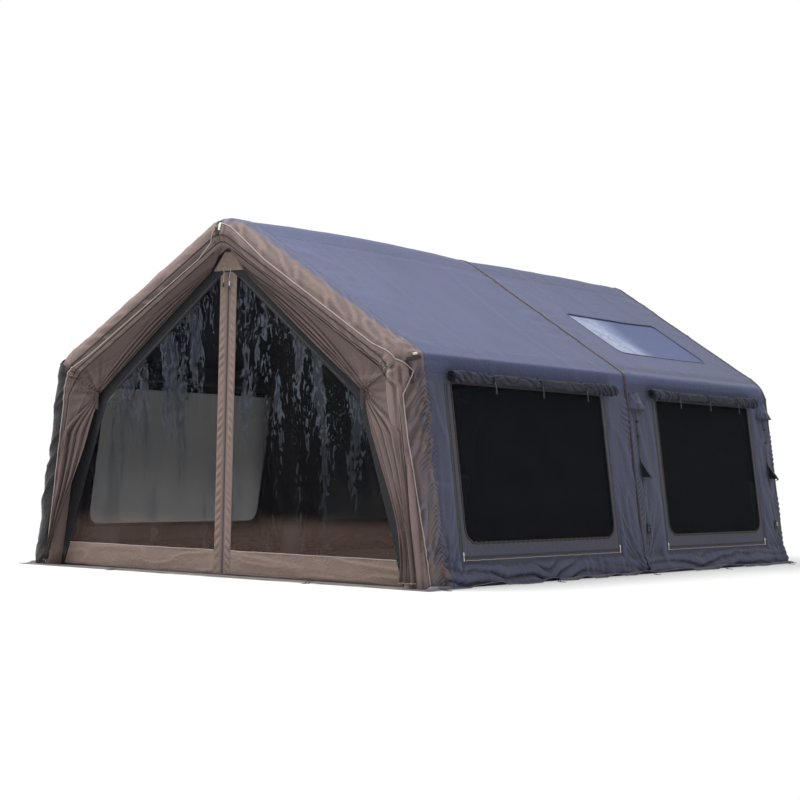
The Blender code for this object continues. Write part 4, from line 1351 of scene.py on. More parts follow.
def leg_puckers(run: Array, y: Array) -> Array:
    """Give the herringbone puckers at the front legs, the same on the sleeve and on the wall.

    Args:
        run: lengths along the gable line.
        y: places along the tent.

    Returns:
        Heights of the cloth.
    """
    from_foot = LINE.from_foot(run)
    on_leg = 1 - ease((from_foot - LINE.wall + 0.03) / 0.10)
    away = y - SHELL.panel_front_y + 0.036
    return puckers(from_foot, away, **LEG_PUCKER) * on_leg


BAYS = {"front": (SHELL.panel_front_y, SHELL.middle_arch_y),
        "rear": (SHELL.middle_arch_y, SHELL.rear_wall_y)}
ARCHES = {"front": SHELL.front_arch_y, "middle": SHELL.middle_arch_y, "rear": SHELL.rear_arch_y}
SIDES = {"right": 1, "left": -1}
STRAPS = {"middle": 0.250, "rear": 2.175}


@dataclass(frozen=True)
class Sided:
    """Anything that is built once for each side of the tent."""

    label: str

    @property
    def side(self) -> int:
        """Return 1 for the right side and -1 for the left one."""
        return SIDES[self.label]


def ring_loops(hole: Sequence[float], corners: Sequence[float], edge: Sequence[float],
               steps: Sequence[float]) -> tuple[Array, Array]:
    """Pair a rounded hole's outline with its panel's outline.

    Args:
        hole: low and high of the first coordinate, low and high of the second.
        corners: radii of the hole's low and high corners.
        edge: the same four numbers for the panel.
        steps: distance between points on the panel's low, right, high and left edge.

    Returns:
        Points of the hole and of the edge, as many of each.
    """
    inner, outer = [], []
    quarter = np.linspace(0, math.pi / 4, 7)
    box = [(edge[0], edge[2]), (edge[1], edge[2]), (edge[1], edge[3]), (edge[0], edge[3])]
    low, high = corners
    radii = (low, low, high, high)
    core = [(hole[0] + low, hole[2] + low), (hole[1] - low, hole[2] + low),
            (hole[1] - high, hole[3] - high), (hole[0] + high, hole[3] - high)]
    for side in range(4):
        start, end = np.array(box[side]), np.array(box[(side + 1) % 4])
        turn = (side - 1) * math.pi / 2
        ends = (side, (side + 1) % 4)
        first = [np.array(core[ends[0]]) + radii[ends[0]] * np.array([math.cos(a), math.sin(a)])
                 for a in turn - math.pi / 4 + quarter]
        last = [np.array(core[ends[1]]) + radii[ends[1]] * np.array([math.cos(a), math.sin(a)])
                for a in turn + quarter]
        bend = np.array(first + last)
        count = max(8, int(round(np.linalg.norm(end - start) / steps[side])))
        share = np.arange(count) / count
        inner.append(along_line(bend, share))
        outer.append(start + (end - start) * share[:, None])
    return np.concatenate(inner), np.concatenate(outer)


def between(inner: Array, outer: Array, steps: int) -> Array:
    """Return a grid from one loop to another, steps + 1 rows, closer together at the hole."""
    share = np.linspace(0, 1, steps + 1) ** 1.25
    return inner[None] + (outer - inner)[None] * share[:, None, None]


def rounded_loop(low: float, high: float, foot: float, top: float, corner: float,
                 step: float = 0.02, head: Optional[float] = None) -> Array:
    """Return a rounded rectangle's outline, evenly stepped; head is the top corners' radius.

    Args:
        low: low end of the first coordinate.
        high: its high end.
        foot: low end of the second coordinate.
        top: its high end.
        corner: radius of the low corners.
        step: distance between points.
        head: radius of the high corners, or None for the same.

    Returns:
        Points in order, without the first again.
    """
    points = []
    head = corner if head is None else head
    for cx, cz, start, size in ((high - head, top - head, 0, head),
                                (low + head, top - head, 1, head),
                                (low + corner, foot + corner, 2, corner),
                                (high - corner, foot + corner, 3, corner)):
        for a in np.linspace(0, math.pi / 2, 9) + start * math.pi / 2:
            points.append((cx + size * math.cos(a), cz + size * math.sin(a)))
    points = np.array(points + points[:1])
    total = run_of(points)[-1]
    return at_runs(points, np.linspace(0, total, int(total / step) + 1)[:-1])


# ---- cover


@dataclass(frozen=True)
class FrontSleeve:
    """Band of the cover that wraps the front arch, with its piping and its flat seam, drawn dark as
    a painted shadow line.
    """

    flange: float = 0.120
    step: float = 0.012
    leg_step: float = 0.0065
    fold_depth: float = 0.014
    leg_crumple: float = 0.0110
    piping_swell: float = 0.0060
    corner_crease: float = 0.0100
    roof_pucker: float = 0.0030
    roof_crease: float = 0.0042
    looseness: float = 0.0014
    apex_bunch: float = 0.0040
    piping_radius: float = 0.0031
    right_piping: tuple[tuple[float, float], ...] = (
        (0.0, 20), (0.30, 30), (0.63, 42), (0.80, 50), (1.04, 52), (1.165, 10), (1.25, 60),
        (1.45, 80), (2.35, 82), (2.61, 67), (2.79, 60))
    left_piping: tuple[tuple[float, float], ...] = (
        (0.0, 111), (0.99, 104), (1.10, 100), (1.5, 119), (2.52, 126), (2.65, 112), (2.79, 60))

    def piping(self, run: Array) -> Array:
        """Return the section angle of the piping, by the length along the gable line.

        Args:
            run: lengths from the right foot.

        Returns:
            Angles in radians.
        """
        from_foot = LINE.from_foot(run)
        right, left = (np.interp(from_foot, *np.transpose(table))
                       for table in (self.right_piping, self.left_piping))
        return np.radians(np.where(run < LINE.total / 2, right, left))

    def at(self, along: Array, over: Array, lift: Array) -> Array:
        """Give points by the length along the sleeve and the width over it.

        Args:
            along: length along the gable line.
            over: width from the flange's rear edge, over the round part, to the inner edge.
            lift: height over the sleeve's smooth face.

        Returns:
            Points, with one more axis of length 3.
        """
        along, over, lift = np.broadcast_arrays(np.asarray(along, float), over, lift)
        turn = np.clip((over - self.flange) / SHELL.sleeve_radius, 0.0, math.pi)
        reach = SHELL.sleeve_radius + lift
        rounded = over > self.flange
        outward = np.where(rounded, reach * np.cos(turn) - SHELL.arch_inset, lift)
        y = np.where(rounded, SHELL.front_arch_y - reach * np.sin(turn),
                     SHELL.front_arch_y + self.flange - over)
        return LINE.at(along, outward, y)

    def lift(self, along: Array, over: Array) -> Array:
        """Give the height of the sleeve's cloth over its smooth face.

        Args:
            along: length along the gable line.
            over: width from the flange's rear edge.

        Returns:
            Heights, at the flange's rear edge the same as the walls' and the roof's.
        """
        turn = np.clip((over - self.flange) / SHELL.sleeve_radius, 0.0, math.pi)
        y = SHELL.front_arch_y + self.flange - over
        from_foot = LINE.from_foot(along)
        on_leg = 1 - ease((from_foot - LINE.wall + 0.04) / 0.12)
        corner = bell(from_foot - (LINE.wall + LINE.bend_end) / 2, 0.13)
        past = turn - self.piping(along)
        noise = Ripple(5)
        out = leg_puckers(along, y)
        crumple = noise.crease(along / 0.075 + over / 0.055, over / 0.085 + 4.0, 3.0)
        behind = 1 - ease((past + 0.05) / 0.15)
        out = out + self.leg_crumple * crumple * on_leg * behind * ease(over / 0.05)
        spread = over / 0.047 + along * 0.5 + 0.5 * noise.field(along / 0.4 + 3.0, over / 0.15)
        long = 1 - (1 - np.abs(np.sin(math.pi * spread))) ** 2.2
        long *= 0.8 + 0.3 * noise.field(along / 0.3, np.floor(spread) * 2.7)
        front = ease((past - 0.06) / 0.12) * (1 - ease((turn - 2.2) / 0.4))
        out = out + self.fold_depth * long * front * on_leg
        swell = ease((past + 0.03) / 0.05) * np.exp(-np.maximum(past, 0) / 0.35)
        out = out + self.piping_swell * swell
        out = out + self.corner_crease * corner * noise.crease(along / 0.050, over / 0.10, 2.0)
        roof = 1 - on_leg
        out = out + puckers(along, over - 0.02, 0.026, 0.050, self.roof_pucker, 4, 0.9) * roof
        crease = noise.crease(along / 0.12 + over / 0.07, over / 0.06 + 4, 4.0)
        out = out + self.roof_crease * crease * roof
        out = out + self.looseness * (1 + noise.field(along / 0.11, over / 0.09))
        apex = bell(from_foot - LINE.total / 2, 0.10)
        out = out + self.apex_bunch * apex * (1 + noise.field(along / 0.02, 1))
        under = np.where(on_leg > 0.5, 1.75, 2.45)
        out = out * (1 - 0.9 * ease((turn - under) / 0.18))
        sewn = curtain_turn(from_foot * math.cos(SHELL.wall_lean), along < LINE.total / 2)
        out = out * (1 - 0.88 * ease((turn - sewn) / 0.16))
        out = out * ease((self.flange + math.pi * SHELL.sleeve_radius - over) / 0.03)
        z = SHELL.foot + from_foot * math.cos(SHELL.wall_lean)
        walls = [SideWall(label, "front").lift(y, z) for label in SIDES]
        wall = np.where(along < LINE.total / 2, walls[0], walls[1])
        cover = np.where(from_foot < LINE.wall, wall, Roof().lift(along, y))
        near = 1 - ease(over / 0.035)
        return np.maximum(out, 0.0) * (1 - near) + cover * near + (
            (1 - near) * eave_corner(from_foot) * (1 - ease((over - 0.09) / 0.10)))

    def build(self) -> None:
        """Build the sleeve and its seams, two of them dark ribbons that paint shadow lines."""
        legs = spaced(0.0, LINE.bend_end, self.leg_step)
        middle = spaced(LINE.bend_end, LINE.total - LINE.bend_end, self.step)
        run = np.concatenate([legs, middle[1:-1], LINE.total - legs[::-1]])
        bend = math.pi * SHELL.sleeve_radius
        across = spaced(0.0, self.flange + bend, 0.0085)
        along, over = np.meshgrid(run, across, indexing="ij")
        out = self.lift(along, over)
        from_foot = LINE.from_foot(along)
        # Share of the slate second colour: the soft blend from taupe at the front to slate on the
        # roof side is painted light, cool sky light against warm light on the front.
        limit = np.interp(from_foot, (0.0, 1.15, 1.3, 1.54, 2.2, 2.63, 2.79),
                          (0.004, 0.006, 0.047, 0.083, 0.108, 0.120, 0.200))
        noise = Ripple(8)
        ragged = 0.022 * noise.field(along / 0.035, over / 0.10) + 0.012 * noise.field(
            along / 0.013, over / 0.03)
        slate = 1 - ease((over - limit + 0.03 + ragged) / 0.060)
        on_leg = 1 - ease((from_foot - LINE.wall) / 0.10)
        # Slate patches behind the piping on the legs are painted shade between the puckers.
        behind = (over - self.flange) / SHELL.sleeve_radius < self.piping(along)
        slate += 0.42 * on_leg * behind * ease(0.5 + 1.2 * noise.field(along / 0.09, over / 0.04))
        skin = SHELL.skin
        sheet = closed_sheet("front_sleeve", self.at(along, over, out),
                             self.at(along, over, out - skin), np.stack([along, over], -1), out,
                             np.clip(slate, 0, 1))
        fit(sheet, Finish.SLEEVE, HULL, "front_arch_sleeve")
        line = spaced(0.012, LINE.total - 0.012, 0.008)
        seam = self.flange + SHELL.sleeve_radius * self.piping(line)
        path, _ = self.laid(line, seam, self.piping_radius)
        fit(round_cord("front_piping", path, self.piping_radius, 8), Finish.PIPING, HULL)
        Repeat.STITCH.run("front_piping_stitches", [self.laid(line, seam + 0.013, 0.0008)], HULL)
        low = spaced(LINE.wall + 0.05, LINE.total - LINE.wall - 0.05, 0.012)
        # Two dark ribbons on the arch's face: seams whose darkness paints the shadow lines where the
        # curtain meets the sleeve.
        for name, turn, wide in (("front_flat_seam", 101.0, 0.008),
                                 ("front_inner_seam", 128.0, 0.006)):
            over = np.full_like(low, self.flange + SHELL.sleeve_radius * math.radians(turn))
            path, up = self.laid(low, over, 0.0006)
            fit(ribbon(name, path, up, wide, 0.0028), Finish.HEM, HULL)
        self.build_shade_sheet()
        self.build_clips()

    def laid(self, along: Array, over: Array, gap: float) -> tuple[Array, Array]:
        """Return a path at a gap over the sleeve's cloth, and its outward directions.

        Args:
            along: lengths along the gable line.
            over: widths from the flange's rear edge.
            gap: distance over the cloth.

        Returns:
            The path and its directions.
        """
        lift = self.lift(along, over) + gap
        path = self.at(along, over, lift)
        return path, self.at(along, over, lift + 0.01) - path

    def build_shade_sheet(self) -> None:
        """Build a near-black sheet beside the left leg that paints the shade on that side of it."""
        run = LINE.total - spaced(0.006, LINE.wall + 0.10, 0.011)
        along, share = np.meshgrid(run, np.linspace(0, 1, 26), indexing="ij")
        turn = math.radians(4) + (self.piping(along) - math.radians(7)) * share
        over = self.flange + SHELL.sleeve_radius * turn
        noise = Ripple(12)
        loose = 0.5 + 0.5 * noise.field(along / 0.10, turn / 1.4)
        lift = self.lift(along, over) + 0.0018 + 0.014 * loose * bell(turn - 0.75, 0.55)
        lift += 0.004 * noise.crease(along / 0.05, turn * 2, 2.0) * bell(turn - 0.9, 0.6)
        sheet = closed_sheet("leg_facing_left", self.at(along, over, lift),
                             self.at(along, over, lift - 0.0015),
                             np.stack([along, over], -1), lift)
        fit(sheet, Finish.SHADE, HULL)

    def build_clips(self) -> None:
        """Build the pale clips and their dark tapes at the ridge and at the front eaves, and the
        dark ribbons that paint the shade in the notch behind each eave flap.
        """
        middle = LINE.total / 2
        turn = SHELL.sleeve_radius * math.pi / 180
        runs = {"apex_tape": ((middle + 0.030, self.flange + 42 * turn),
                              (middle + 0.030, self.flange + 98 * turn), 0.026, Finish.HEM),
                "apex_clip": ((middle - 0.004, self.flange + 60 * turn),
                              (middle - 0.004, self.flange + 84 * turn), 0.016, Finish.CLIP)}
        for label, side in SIDES.items():
            def place(from_foot: float) -> float:
                """Return the length along the line on this side."""
                return from_foot if side > 0 else LINE.total - from_foot
            runs["eave_tape_" + label] = ((place(1.244), 0.050), (place(1.226), 0.158), 0.024,
                                          Finish.HEM)
            # Dark ribbon painting the shade in the notch behind the eave flap.
            runs["eave_notch_" + label] = ((place(1.225), 0.166), (place(1.100), 0.136), 0.030,
                                           Finish.HEM)
            runs["eave_clip_" + label] = ((place(1.257), 0.084), (place(1.253), 0.118), 0.012,
                                          Finish.CLIP)
        for name, (start, end, wide, finish) in runs.items():
            share = np.linspace(0, 1, 16)
            along = start[0] + (end[0] - start[0]) * share
            over = start[1] + (end[1] - start[1]) * share
            tall, gap = (0.006, 0.0035) if finish is Finish.CLIP else (0.003, 0.0012)
            path, up = self.laid(along, over, gap)
            fit(ribbon(name, path, up, wide, tall, crown=0.5), finish, HULL)


def eave_corner(from_foot: Array) -> Array:
    """Return how far the corner of wall and roof stands over the rounded bend.

    Args:
        from_foot: lengths from the nearer foot.

    Returns:
        Heights over the rounded bend.
    """
    middle = (LINE.wall + LINE.bend_end) / 2
    away = np.sqrt((from_foot - middle) ** 2 + 0.010 ** 2) / SHELL.outer_bend
    reach = (LINE.bend_end - LINE.wall) / 2 / SHELL.outer_bend
    return SHELL.outer_bend * (1 / np.cos(np.clip(reach - away, 0, reach)) - 1)


@dataclass(frozen=True)
class Roof:
    """Roof panels and ridge strips of both bays, with the skylight in the right rear one."""

    step: float = 0.022
    ridge_swell: tuple[float, float] = (0.024, 0.012)
    slope_sag: float = 0.014
    arch_puckers: tuple[float, ...] = (0.0028, 0.0042, 0.0034)
    fan_depth: float = 0.0040
    calm: float = 0.0016
    skylight: tuple[float, float, float, float] = (0.615, 1.875, 0.592, 1.022)
    skylight_corner: float = 0.045
    lap: float = 0.018

    def lift(self, run: Array, y: Array) -> Array:
        """Give the height of the roof cloth over the frame's faces.

        Args:
            run: lengths along the gable line.
            y: places along the tent.

        Returns:
            Heights, smooth across the seams between panels.
        """
        half = LINE.total / 2
        off = np.abs(run - half)
        out = np.zeros(np.broadcast(run, y).shape)
        noise = Ripple(21)
        for number, (start, end) in enumerate(BAYS.values()):
            share = np.clip((y - start) / (end - start), 0, 1)
            span = np.sin(math.pi * share) ** 0.8
            out += self.ridge_swell[number] * span * bell(off, 0.24)
            slope = np.sin(math.pi * np.clip((off - 0.10) / (half - LINE.bend_end), 0, 1))
            out -= self.slope_sag * np.sin(math.pi * share) ** 1.2 * slope ** 1.3
        ends = [y - SHELL.panel_front_y, y - SHELL.middle_arch_y, y - SHELL.rear_wall_y]
        free = np.ones_like(out)
        for number, away in enumerate(ends):
            free *= 1 - bell(away, 0.09)
            out += puckers(run, away, 0.041, 0.045, self.arch_puckers[number], 30 + number, 0.7)
            fan = noise.crease(run / 0.16 + number * 9, away / 0.55 + 2, 6.0)
            out += self.fan_depth * fan * bell(away, 0.36)
        out += self.calm * noise.crease(run / 0.75 + y / 1.4, y / 0.31, 9.0) * free
        out += self.calm * noise.field(run / 0.30, y / 0.24) * free
        out += puckers(y, off - half + LINE.bend_end, 0.047, 0.07, 0.0035, 34, 0.2)
        out += puckers(y, off - LINE.total / 2 + LINE.run_at_x(SHELL.ridge_strip_half), 0.036,
                       0.025, 0.0022, 35)
        over_tube = np.maximum.reduce([bell(away, 0.085) for away in ends])
        out = np.where(over_tube > 0.3, np.maximum(out, 0.0), out)
        return out + eave_corner(half - off) * ease((SHELL.rear_wall_y - y) / 0.12)

    def panel(self, name: str, run: Array, y: Array, node: str, wrap: bool = False) -> None:
        """Build one sheet of roof cloth.

        Args:
            name: name of the piece.
            run: grid of lengths along the gable line.
            y: grid of places along the tent.
            node: CAD node that it stands for.
            wrap: whether the last column meets the first.
        """
        out = self.lift(run, y)
        seam = bell(y - SHELL.middle_arch_y, 0.022) + 0.6 * bell(y - SHELL.panel_front_y, 0.030)
        tint = np.clip(0.55 * seam + 0.10 * Ripple(22).field(run / 0.2, y / 0.2), 0, 1)
        sheet = closed_sheet(name, LINE.at(run, out, y), LINE.at(run, out - SHELL.skin, y),
                             np.stack([y, run], -1), out, tint, wrap)
        fit(sheet, Finish.RIDGE if "ridge" in name else Finish.ROOF, HULL, node)
        long, wide = float(np.ptp(y)), float(np.ptp(run))
        if wrap:
            low, high, near, far = self.skylight
            hole = (high - low) * abs(LINE.run_at_x(far) - LINE.run_at_x(near))

    def build(self) -> None:
        """Build the roof's cloth, seams and skylight."""
        strip = LINE.run_at_x(SHELL.ridge_strip_half)
        gap = SHELL.gap
        for bay, (start, end) in BAYS.items():
            low, high = start + gap / 2, end - gap / 2
            rows = spaced(low, high, self.step)
            for side, label in ((1, "right"), (-1, "left")):
                node = "roof_panel_%s_%s" % (label, bay)
                if label == "right" and bay == "rear":
                    near, far = (LINE.run_at_x(x) for x in self.skylight[2:])
                    hole = (self.skylight[0], self.skylight[1], far, near)
                    inner, outer = ring_loops(hole, [self.skylight_corner] * 2,
                                              (low, high, LINE.wall, strip - gap), [0.022] * 4)
                    grid = between(inner, outer, 26)
                    self.panel(node.replace("panel", "cloth"), grid[..., 1], grid[..., 0], node,
                               True)
                    continue
                bend = spaced(LINE.wall, LINE.bend_end + 0.02, 0.007)
                cols = np.concatenate([bend, spaced(bend[-1], strip - gap, self.step)[1:]])
                run, y = np.meshgrid(cols if side > 0 else LINE.total - cols, rows)
                self.panel(node.replace("panel", "cloth"), run, y, node)
            run, y = np.meshgrid(spaced(strip, LINE.total - strip, self.step / 2), rows)
            self.panel("ridge_cloth_" + bay, run, y, "ridge_strip_" + bay)
        self.build_seams()
        self.build_skylight()

    def build_seams(self) -> None:
        """Build the welt over the middle arch, the rear hem and the stitch lines."""
        line = spaced(0.02, LINE.total - 0.02, 0.014)
        y = SHELL.middle_arch_y

        def over(place: float, lift: float) -> Array:
            """Return a path round the cover at a place along the tent.

            Args:
                place: place along the tent.
                lift: distance over the cloth.

            Returns:
                The path's points.
            """
            cloth = np.where(LINE.from_foot(line) < LINE.wall, 0.0,
                             self.lift(line, np.full_like(line, place)))
            return LINE.at(line, cloth + lift, place)

        wave = 0.0016 * Ripple(41).field(line / 0.06, 2.0)
        path = over(y, 0.0012)
        path[:, 1] += wave
        fit(ribbon("middle_welt", path, LINE.normal(line), 0.019, 0.0045), Finish.SEAM, HULL)
        lower = over(y + 0.017, 0.0006)
        fit(ribbon("middle_gutter", lower, LINE.normal(line), 0.009, 0.0022), Finish.HEM, HULL)
        for side in SIDES.values():
            z = spaced(SHELL.wall_top, 0.012, 0.012)
            noise = Ripple(43 + side)
            shift = 0.004 * noise.field(z / 0.20, 0.0) + 0.030 * bell(z, 0.13)
            path = SHELL.wall_point(side, y + 0.002 + shift, z, 0.0030)
            up = np.broadcast_to(SHELL.wall_out(side), path.shape)
            width = 0.024 + 0.006 * noise.field(z / 0.11, 4.0)
            fit(ribbon("middle_flap_%s" % ("right" if side > 0 else "left"), path, up, width,
                       0.0085, crown=0.45), Finish.SEAM, HULL)
        rear = SHELL.rear_wall_y - 0.014
        fit(ribbon("rear_hem", over(rear, 0.0012), LINE.normal(line), 0.024, 0.0030),
            Finish.SEAM, HULL)
        paths = [(over(place, lift), LINE.normal(line)) for place, lift in
                 ((y - 0.0135, 0.0012), (y + 0.0255, 0.0014), (rear - 0.016, 0.0014),
                  (SHELL.panel_front_y + 0.008, 0.0012))]
        Repeat.STITCH.run("arch_stitches", paths, HULL)
        strip = LINE.run_at_x(SHELL.ridge_strip_half) - 0.010
        paths = []
        for start, end in BAYS.values():
            places = spaced(start + 0.02, end - 0.02, 0.03)
            for run in (strip, LINE.total - strip):
                runs = np.full_like(places, run)
                out = self.lift(runs, places) + 0.0008
                paths.append((LINE.at(runs, out, places), LINE.normal(runs)))
        Repeat.STITCH.run("ridge_stitches", paths, HULL)

    def build_skylight(self) -> None:
        """Build the clear skylight and its binding."""
        low, high, near, far = self.skylight
        lap = self.lap
        top, foot = LINE.run_at_x(near) + lap, LINE.run_at_x(far) - lap
        run, y = np.meshgrid(spaced(foot, top, 0.018), spaced(low - lap, high + lap, 0.022))
        deep = np.sin(math.pi * (run - foot) / (top - foot)) * np.sin(
            math.pi * (y - low + lap) / (high - low + 2 * lap))
        out = self.lift(run, y) - 0.0055 - 0.006 * np.maximum(deep, 0)
        out -= 0.003 * Ripple(51).crease(run / 0.13, y / 0.35) * deep
        sheet = closed_sheet("skylight_film", LINE.at(run, out, y), LINE.at(run, out - 0.0012, y),
                             np.stack([y, run], -1), out)
        fit(sheet, Finish.ROOFLIGHT, HULL, "skylight")
        top - foot
        high - low + 2 * lap
        for grow, name in ((0.009, "skylight_binding"), (0.019, "skylight_stitches")):
            loop = rounded_loop(low - grow, high + grow, LINE.run_at_x(far) - grow,
                                LINE.run_at_x(near) + grow, self.skylight_corner + grow, 0.016)
            lift = self.lift(loop[:, 1], loop[:, 0]) + 0.0010
            path = LINE.at(loop[:, 1], lift, loop[:, 0])
            if "stitches" in name:
                closed = np.concatenate([path, path[:1]])
                normal = LINE.normal(np.append(loop[:, 1], loop[0, 1]))
                Repeat.STITCH.run(name, [(closed, normal)], HULL)
            else:
                fit(ribbon(name, path, LINE.normal(loop[:, 1]), 0.011, 0.0018, True),
                    Finish.ROOF, HULL)


@dataclass(frozen=True)
class Window:
    """Opening of one side window, with its blind's overhangs and its zips."""

    low: float
    high: float
    overhang: tuple[float, float]
    double_zip: bool
    sill: float = 0.240
    head: float = 1.114
    corner: float = 0.090
    top_corner: float = 0.022
    margin: float = 0.045
    zip_foot: float = 0.165
    zip_head: float = 1.108
    zip_gap: float = 0.022
    zip_corner: float = 0.030


WINDOWS = {"front": Window(-1.845, -0.190, (0.060, 0.125), True),
           "rear": Window(0.545, 1.930, (0.130, 0.070), False)}


@dataclass(frozen=True)
class WallPart(Sided):
    """Anything that is built once for each bay of each side wall."""

    bay: str

    @property
    def tag(self) -> str:
        """Return the end of its pieces' names."""
        return "%s_%s" % (self.label, self.bay)

    @property
    def window(self) -> Window:
        """Return the wall's window."""
        return WINDOWS[self.bay]


@dataclass(frozen=True)
class SideWall(WallPart):
    """One bay of a side wall with its netting, binding and zips."""

    step: float = 0.020
    pucker_depth: float = 0.0115
    drape_depth: float = 0.030
    drape_reach: float = 0.165
    foot_swell: float = 0.016
    corner_crease: float = 0.0080
    crease: float = 0.006
    lap: float = 0.018

    def lift(self, y: Array, z: Array) -> Array:
        """Give the height of the wall cloth over the frame's face.

        Args:
            y: places along the tent.
            z: heights.

        Returns:
            Heights, none where the zips and the blind pass.
        """
        start, end = BAYS[self.bay]
        window = self.window
        seed = 60 + 10 * (self.bay == "rear") + (self.side < 0)
        noise = Ripple(seed)
        beside = np.maximum(window.low - 0.062 - y, y - window.high - 0.062)
        below = window.zip_foot - 0.034 - z
        free = ease(np.maximum(beside, below) / 0.035) * ease((SHELL.wall_top - 0.02 - z) / 0.06)
        if self.bay == "front":
            out = leg_puckers(LINE.run_at_z(z), y)
        else:
            out = puckers(z, y - start, 0.035, 0.060, self.pucker_depth * 0.8, seed, -0.8)
        out += puckers(z, end - y, 0.037, 0.055, self.pucker_depth * 0.8, seed + 1, -0.6)
        out += drapes(y, z, self.drape_reach, self.drape_depth, seed + 2)
        ends = bell(y - start, 0.30) + bell(y - end, 0.25)
        out += self.foot_swell * bell(z - 0.05, 0.05) * ends
        for corner in (start, end):
            away = np.hypot(y - corner, z * 1.1) + 1e-6
            angle = np.arctan2(z, np.abs(y - corner))
            spoke = noise.crease(angle / 0.16, away / 0.6, 3.0)
            out += self.corner_crease * spoke * bell(away, 0.55)
        out += self.crease * noise.crease(y / 0.09 + z / 0.6, z / 0.35 + 5, 4.0) + 0.0015
        return np.maximum(out * free, 0.0)

    def build(self) -> None:
        """Build the wall, the net, the binding and the zips."""
        start, end = BAYS[self.bay]
        window, gap = self.window, SHELL.gap
        top = SHELL.wall_top - SHELL.skin * math.sin(SHELL.wall_lean) - gap
        inner, outer = ring_loops((window.low, window.high, window.sill, window.head),
                                  (window.corner, window.top_corner),
                                  (start + gap / 2, end - gap / 2, SHELL.foot, top),
                                  (0.012, 0.008, 0.030, 0.008))
        grid = between(inner, outer, 30)
        y, z = grid[..., 0], grid[..., 1]
        out = self.lift(y, z)
        frame_y = np.maximum(np.maximum(window.low - y, y - window.high), 0)
        frame_z = np.maximum(window.sill - z, 0)
        tint = 1 - ease((np.hypot(frame_y, frame_z) - 0.050) / 0.020)
        tint = tint * 0.75 + 0.30 * bell(y - start, 0.05) * (self.bay == "front")
        tint = np.clip(tint + 0.12 * Ripple(71).field(y / 0.09, z / 0.09), 0, 1)
        skin = SHELL.skin
        sheet = closed_sheet("wall_cloth_" + self.tag, SHELL.wall_point(self.side, y, z, out),
                             SHELL.wall_point(self.side, y, z, out - skin),
                             np.stack([y, z], -1), out, tint, True)
        fit(sheet, Finish.WALL, HULL, "side_wall_" + self.tag)
        hole = (window.high - window.low) * (window.head - window.sill)
        size = (end - start, (top - SHELL.foot) / math.cos(SHELL.wall_lean))
        size[0] * size[1] - hole
        self.build_net()
        self.build_trim()

    def build_net(self) -> None:
        """Build the netting behind the opening."""
        window, lap = self.window, self.lap
        y, z = np.meshgrid(spaced(window.low - lap, window.high + lap, 0.03),
                           spaced(window.sill - lap, window.head + lap, 0.03))
        share = np.sin(math.pi * (y - y.min()) / np.ptp(y)) * np.sin(
            math.pi * (z - z.min()) / np.ptp(z))
        out = -SHELL.skin - 0.0008 - 0.010 * share
        out -= 0.002 * share * Ripple(75).field(y / 0.12, z / 0.4)
        net = closed_sheet("net_cloth_" + self.tag, SHELL.wall_point(self.side, y, z, out),
                           SHELL.wall_point(self.side, y, z, out - 0.001), np.stack([y, z], -1))
        fit(net, Finish.NET, HULL, "window_net_" + self.tag)

    def along_wall(self, flat: Array, lift: float) -> tuple[Array, Array]:
        """Return points over the wall and its outward direction for (y, z) pairs."""
        path = SHELL.wall_point(self.side, flat[:, 0], flat[:, 1], lift)
        return path, np.broadcast_to(SHELL.wall_out(self.side), path.shape)

    def build_trim(self) -> None:
        """Build the window's binding, the U of zip tape and teeth, and the stitches."""
        window = self.window
        loop = rounded_loop(window.low - 0.004, window.high + 0.004, window.sill - 0.004,
                            window.head + 0.004, window.corner, 0.014, window.top_corner)
        scallop = 0.0032 * np.sin(FULL_TURN * loop[:, 0] / 0.052) * (loop[:, 1] < 0.26)
        path, up = self.along_wall(loop + np.stack([0 * scallop, scallop], -1), 0.0004)
        fit(ribbon("window_binding_" + self.tag, path, up, 0.014, 0.0020, True), Finish.HEM, HULL)
        around = rounded_loop(window.low - 0.015, window.high + 0.015, window.sill - 0.015,
                              window.head + 0.014, window.corner + 0.01, 0.012, 0.03)
        path, up = self.along_wall(np.concatenate([around, around[:1]]), 0.0008)
        Repeat.STITCH.run("window_stitches_" + self.tag, [(path, up)], HULL, 9)
        edges = [window.margin]
        if window.double_zip:
            edges.append(window.margin + window.zip_gap)
        teeth = []
        for number, margin in enumerate(edges):
            foot = window.zip_foot - 0.004 - (margin - window.margin)
            corner = window.zip_corner
            low, high = window.low - margin, window.high + (window.margin if number else margin)
            turn = np.linspace(0, math.pi / 2, 9)
            u_shape = [(low, window.zip_head), (low, foot + corner)]
            if number == 0:
                u_shape += [(low + corner * (1 - math.cos(a)), foot + corner * (1 - math.sin(a)))
                            for a in turn[1:]]
                u_shape += [(high - corner * (1 - math.sin(a)), foot + corner * (1 - math.cos(a)))
                            for a in turn]
                u_shape.append((high, window.zip_head))
            flat = np.array(u_shape)
            flat = at_runs(flat, spaced(0, run_of(flat)[-1], 0.012))
            path, up = self.along_wall(flat, 0.0003)
            name = "zip_tape_%s_%d" % (self.tag, number)
            fit(ribbon(name, path, up, 0.017, 0.0009), Finish.TAPE, HULL)
            teeth.append(self.along_wall(flat, 0.0014))
        Repeat.TOOTH.run("zip_teeth_" + self.tag, teeth, HULL, 11)
        line = np.stack([spaced(window.low - 0.03, window.high + 0.03, 0.012)] * 2, -1)
        line[:, 1] = window.zip_foot - 0.021 + 0.0012 * Ripple(79).field(line[:, 0] / 0.05, 1)
        path, up = self.along_wall(line, 0.0024)
        fit(round_cord("sill_piping_" + self.tag, path, 0.0024, 6), Finish.PIPING, HULL)


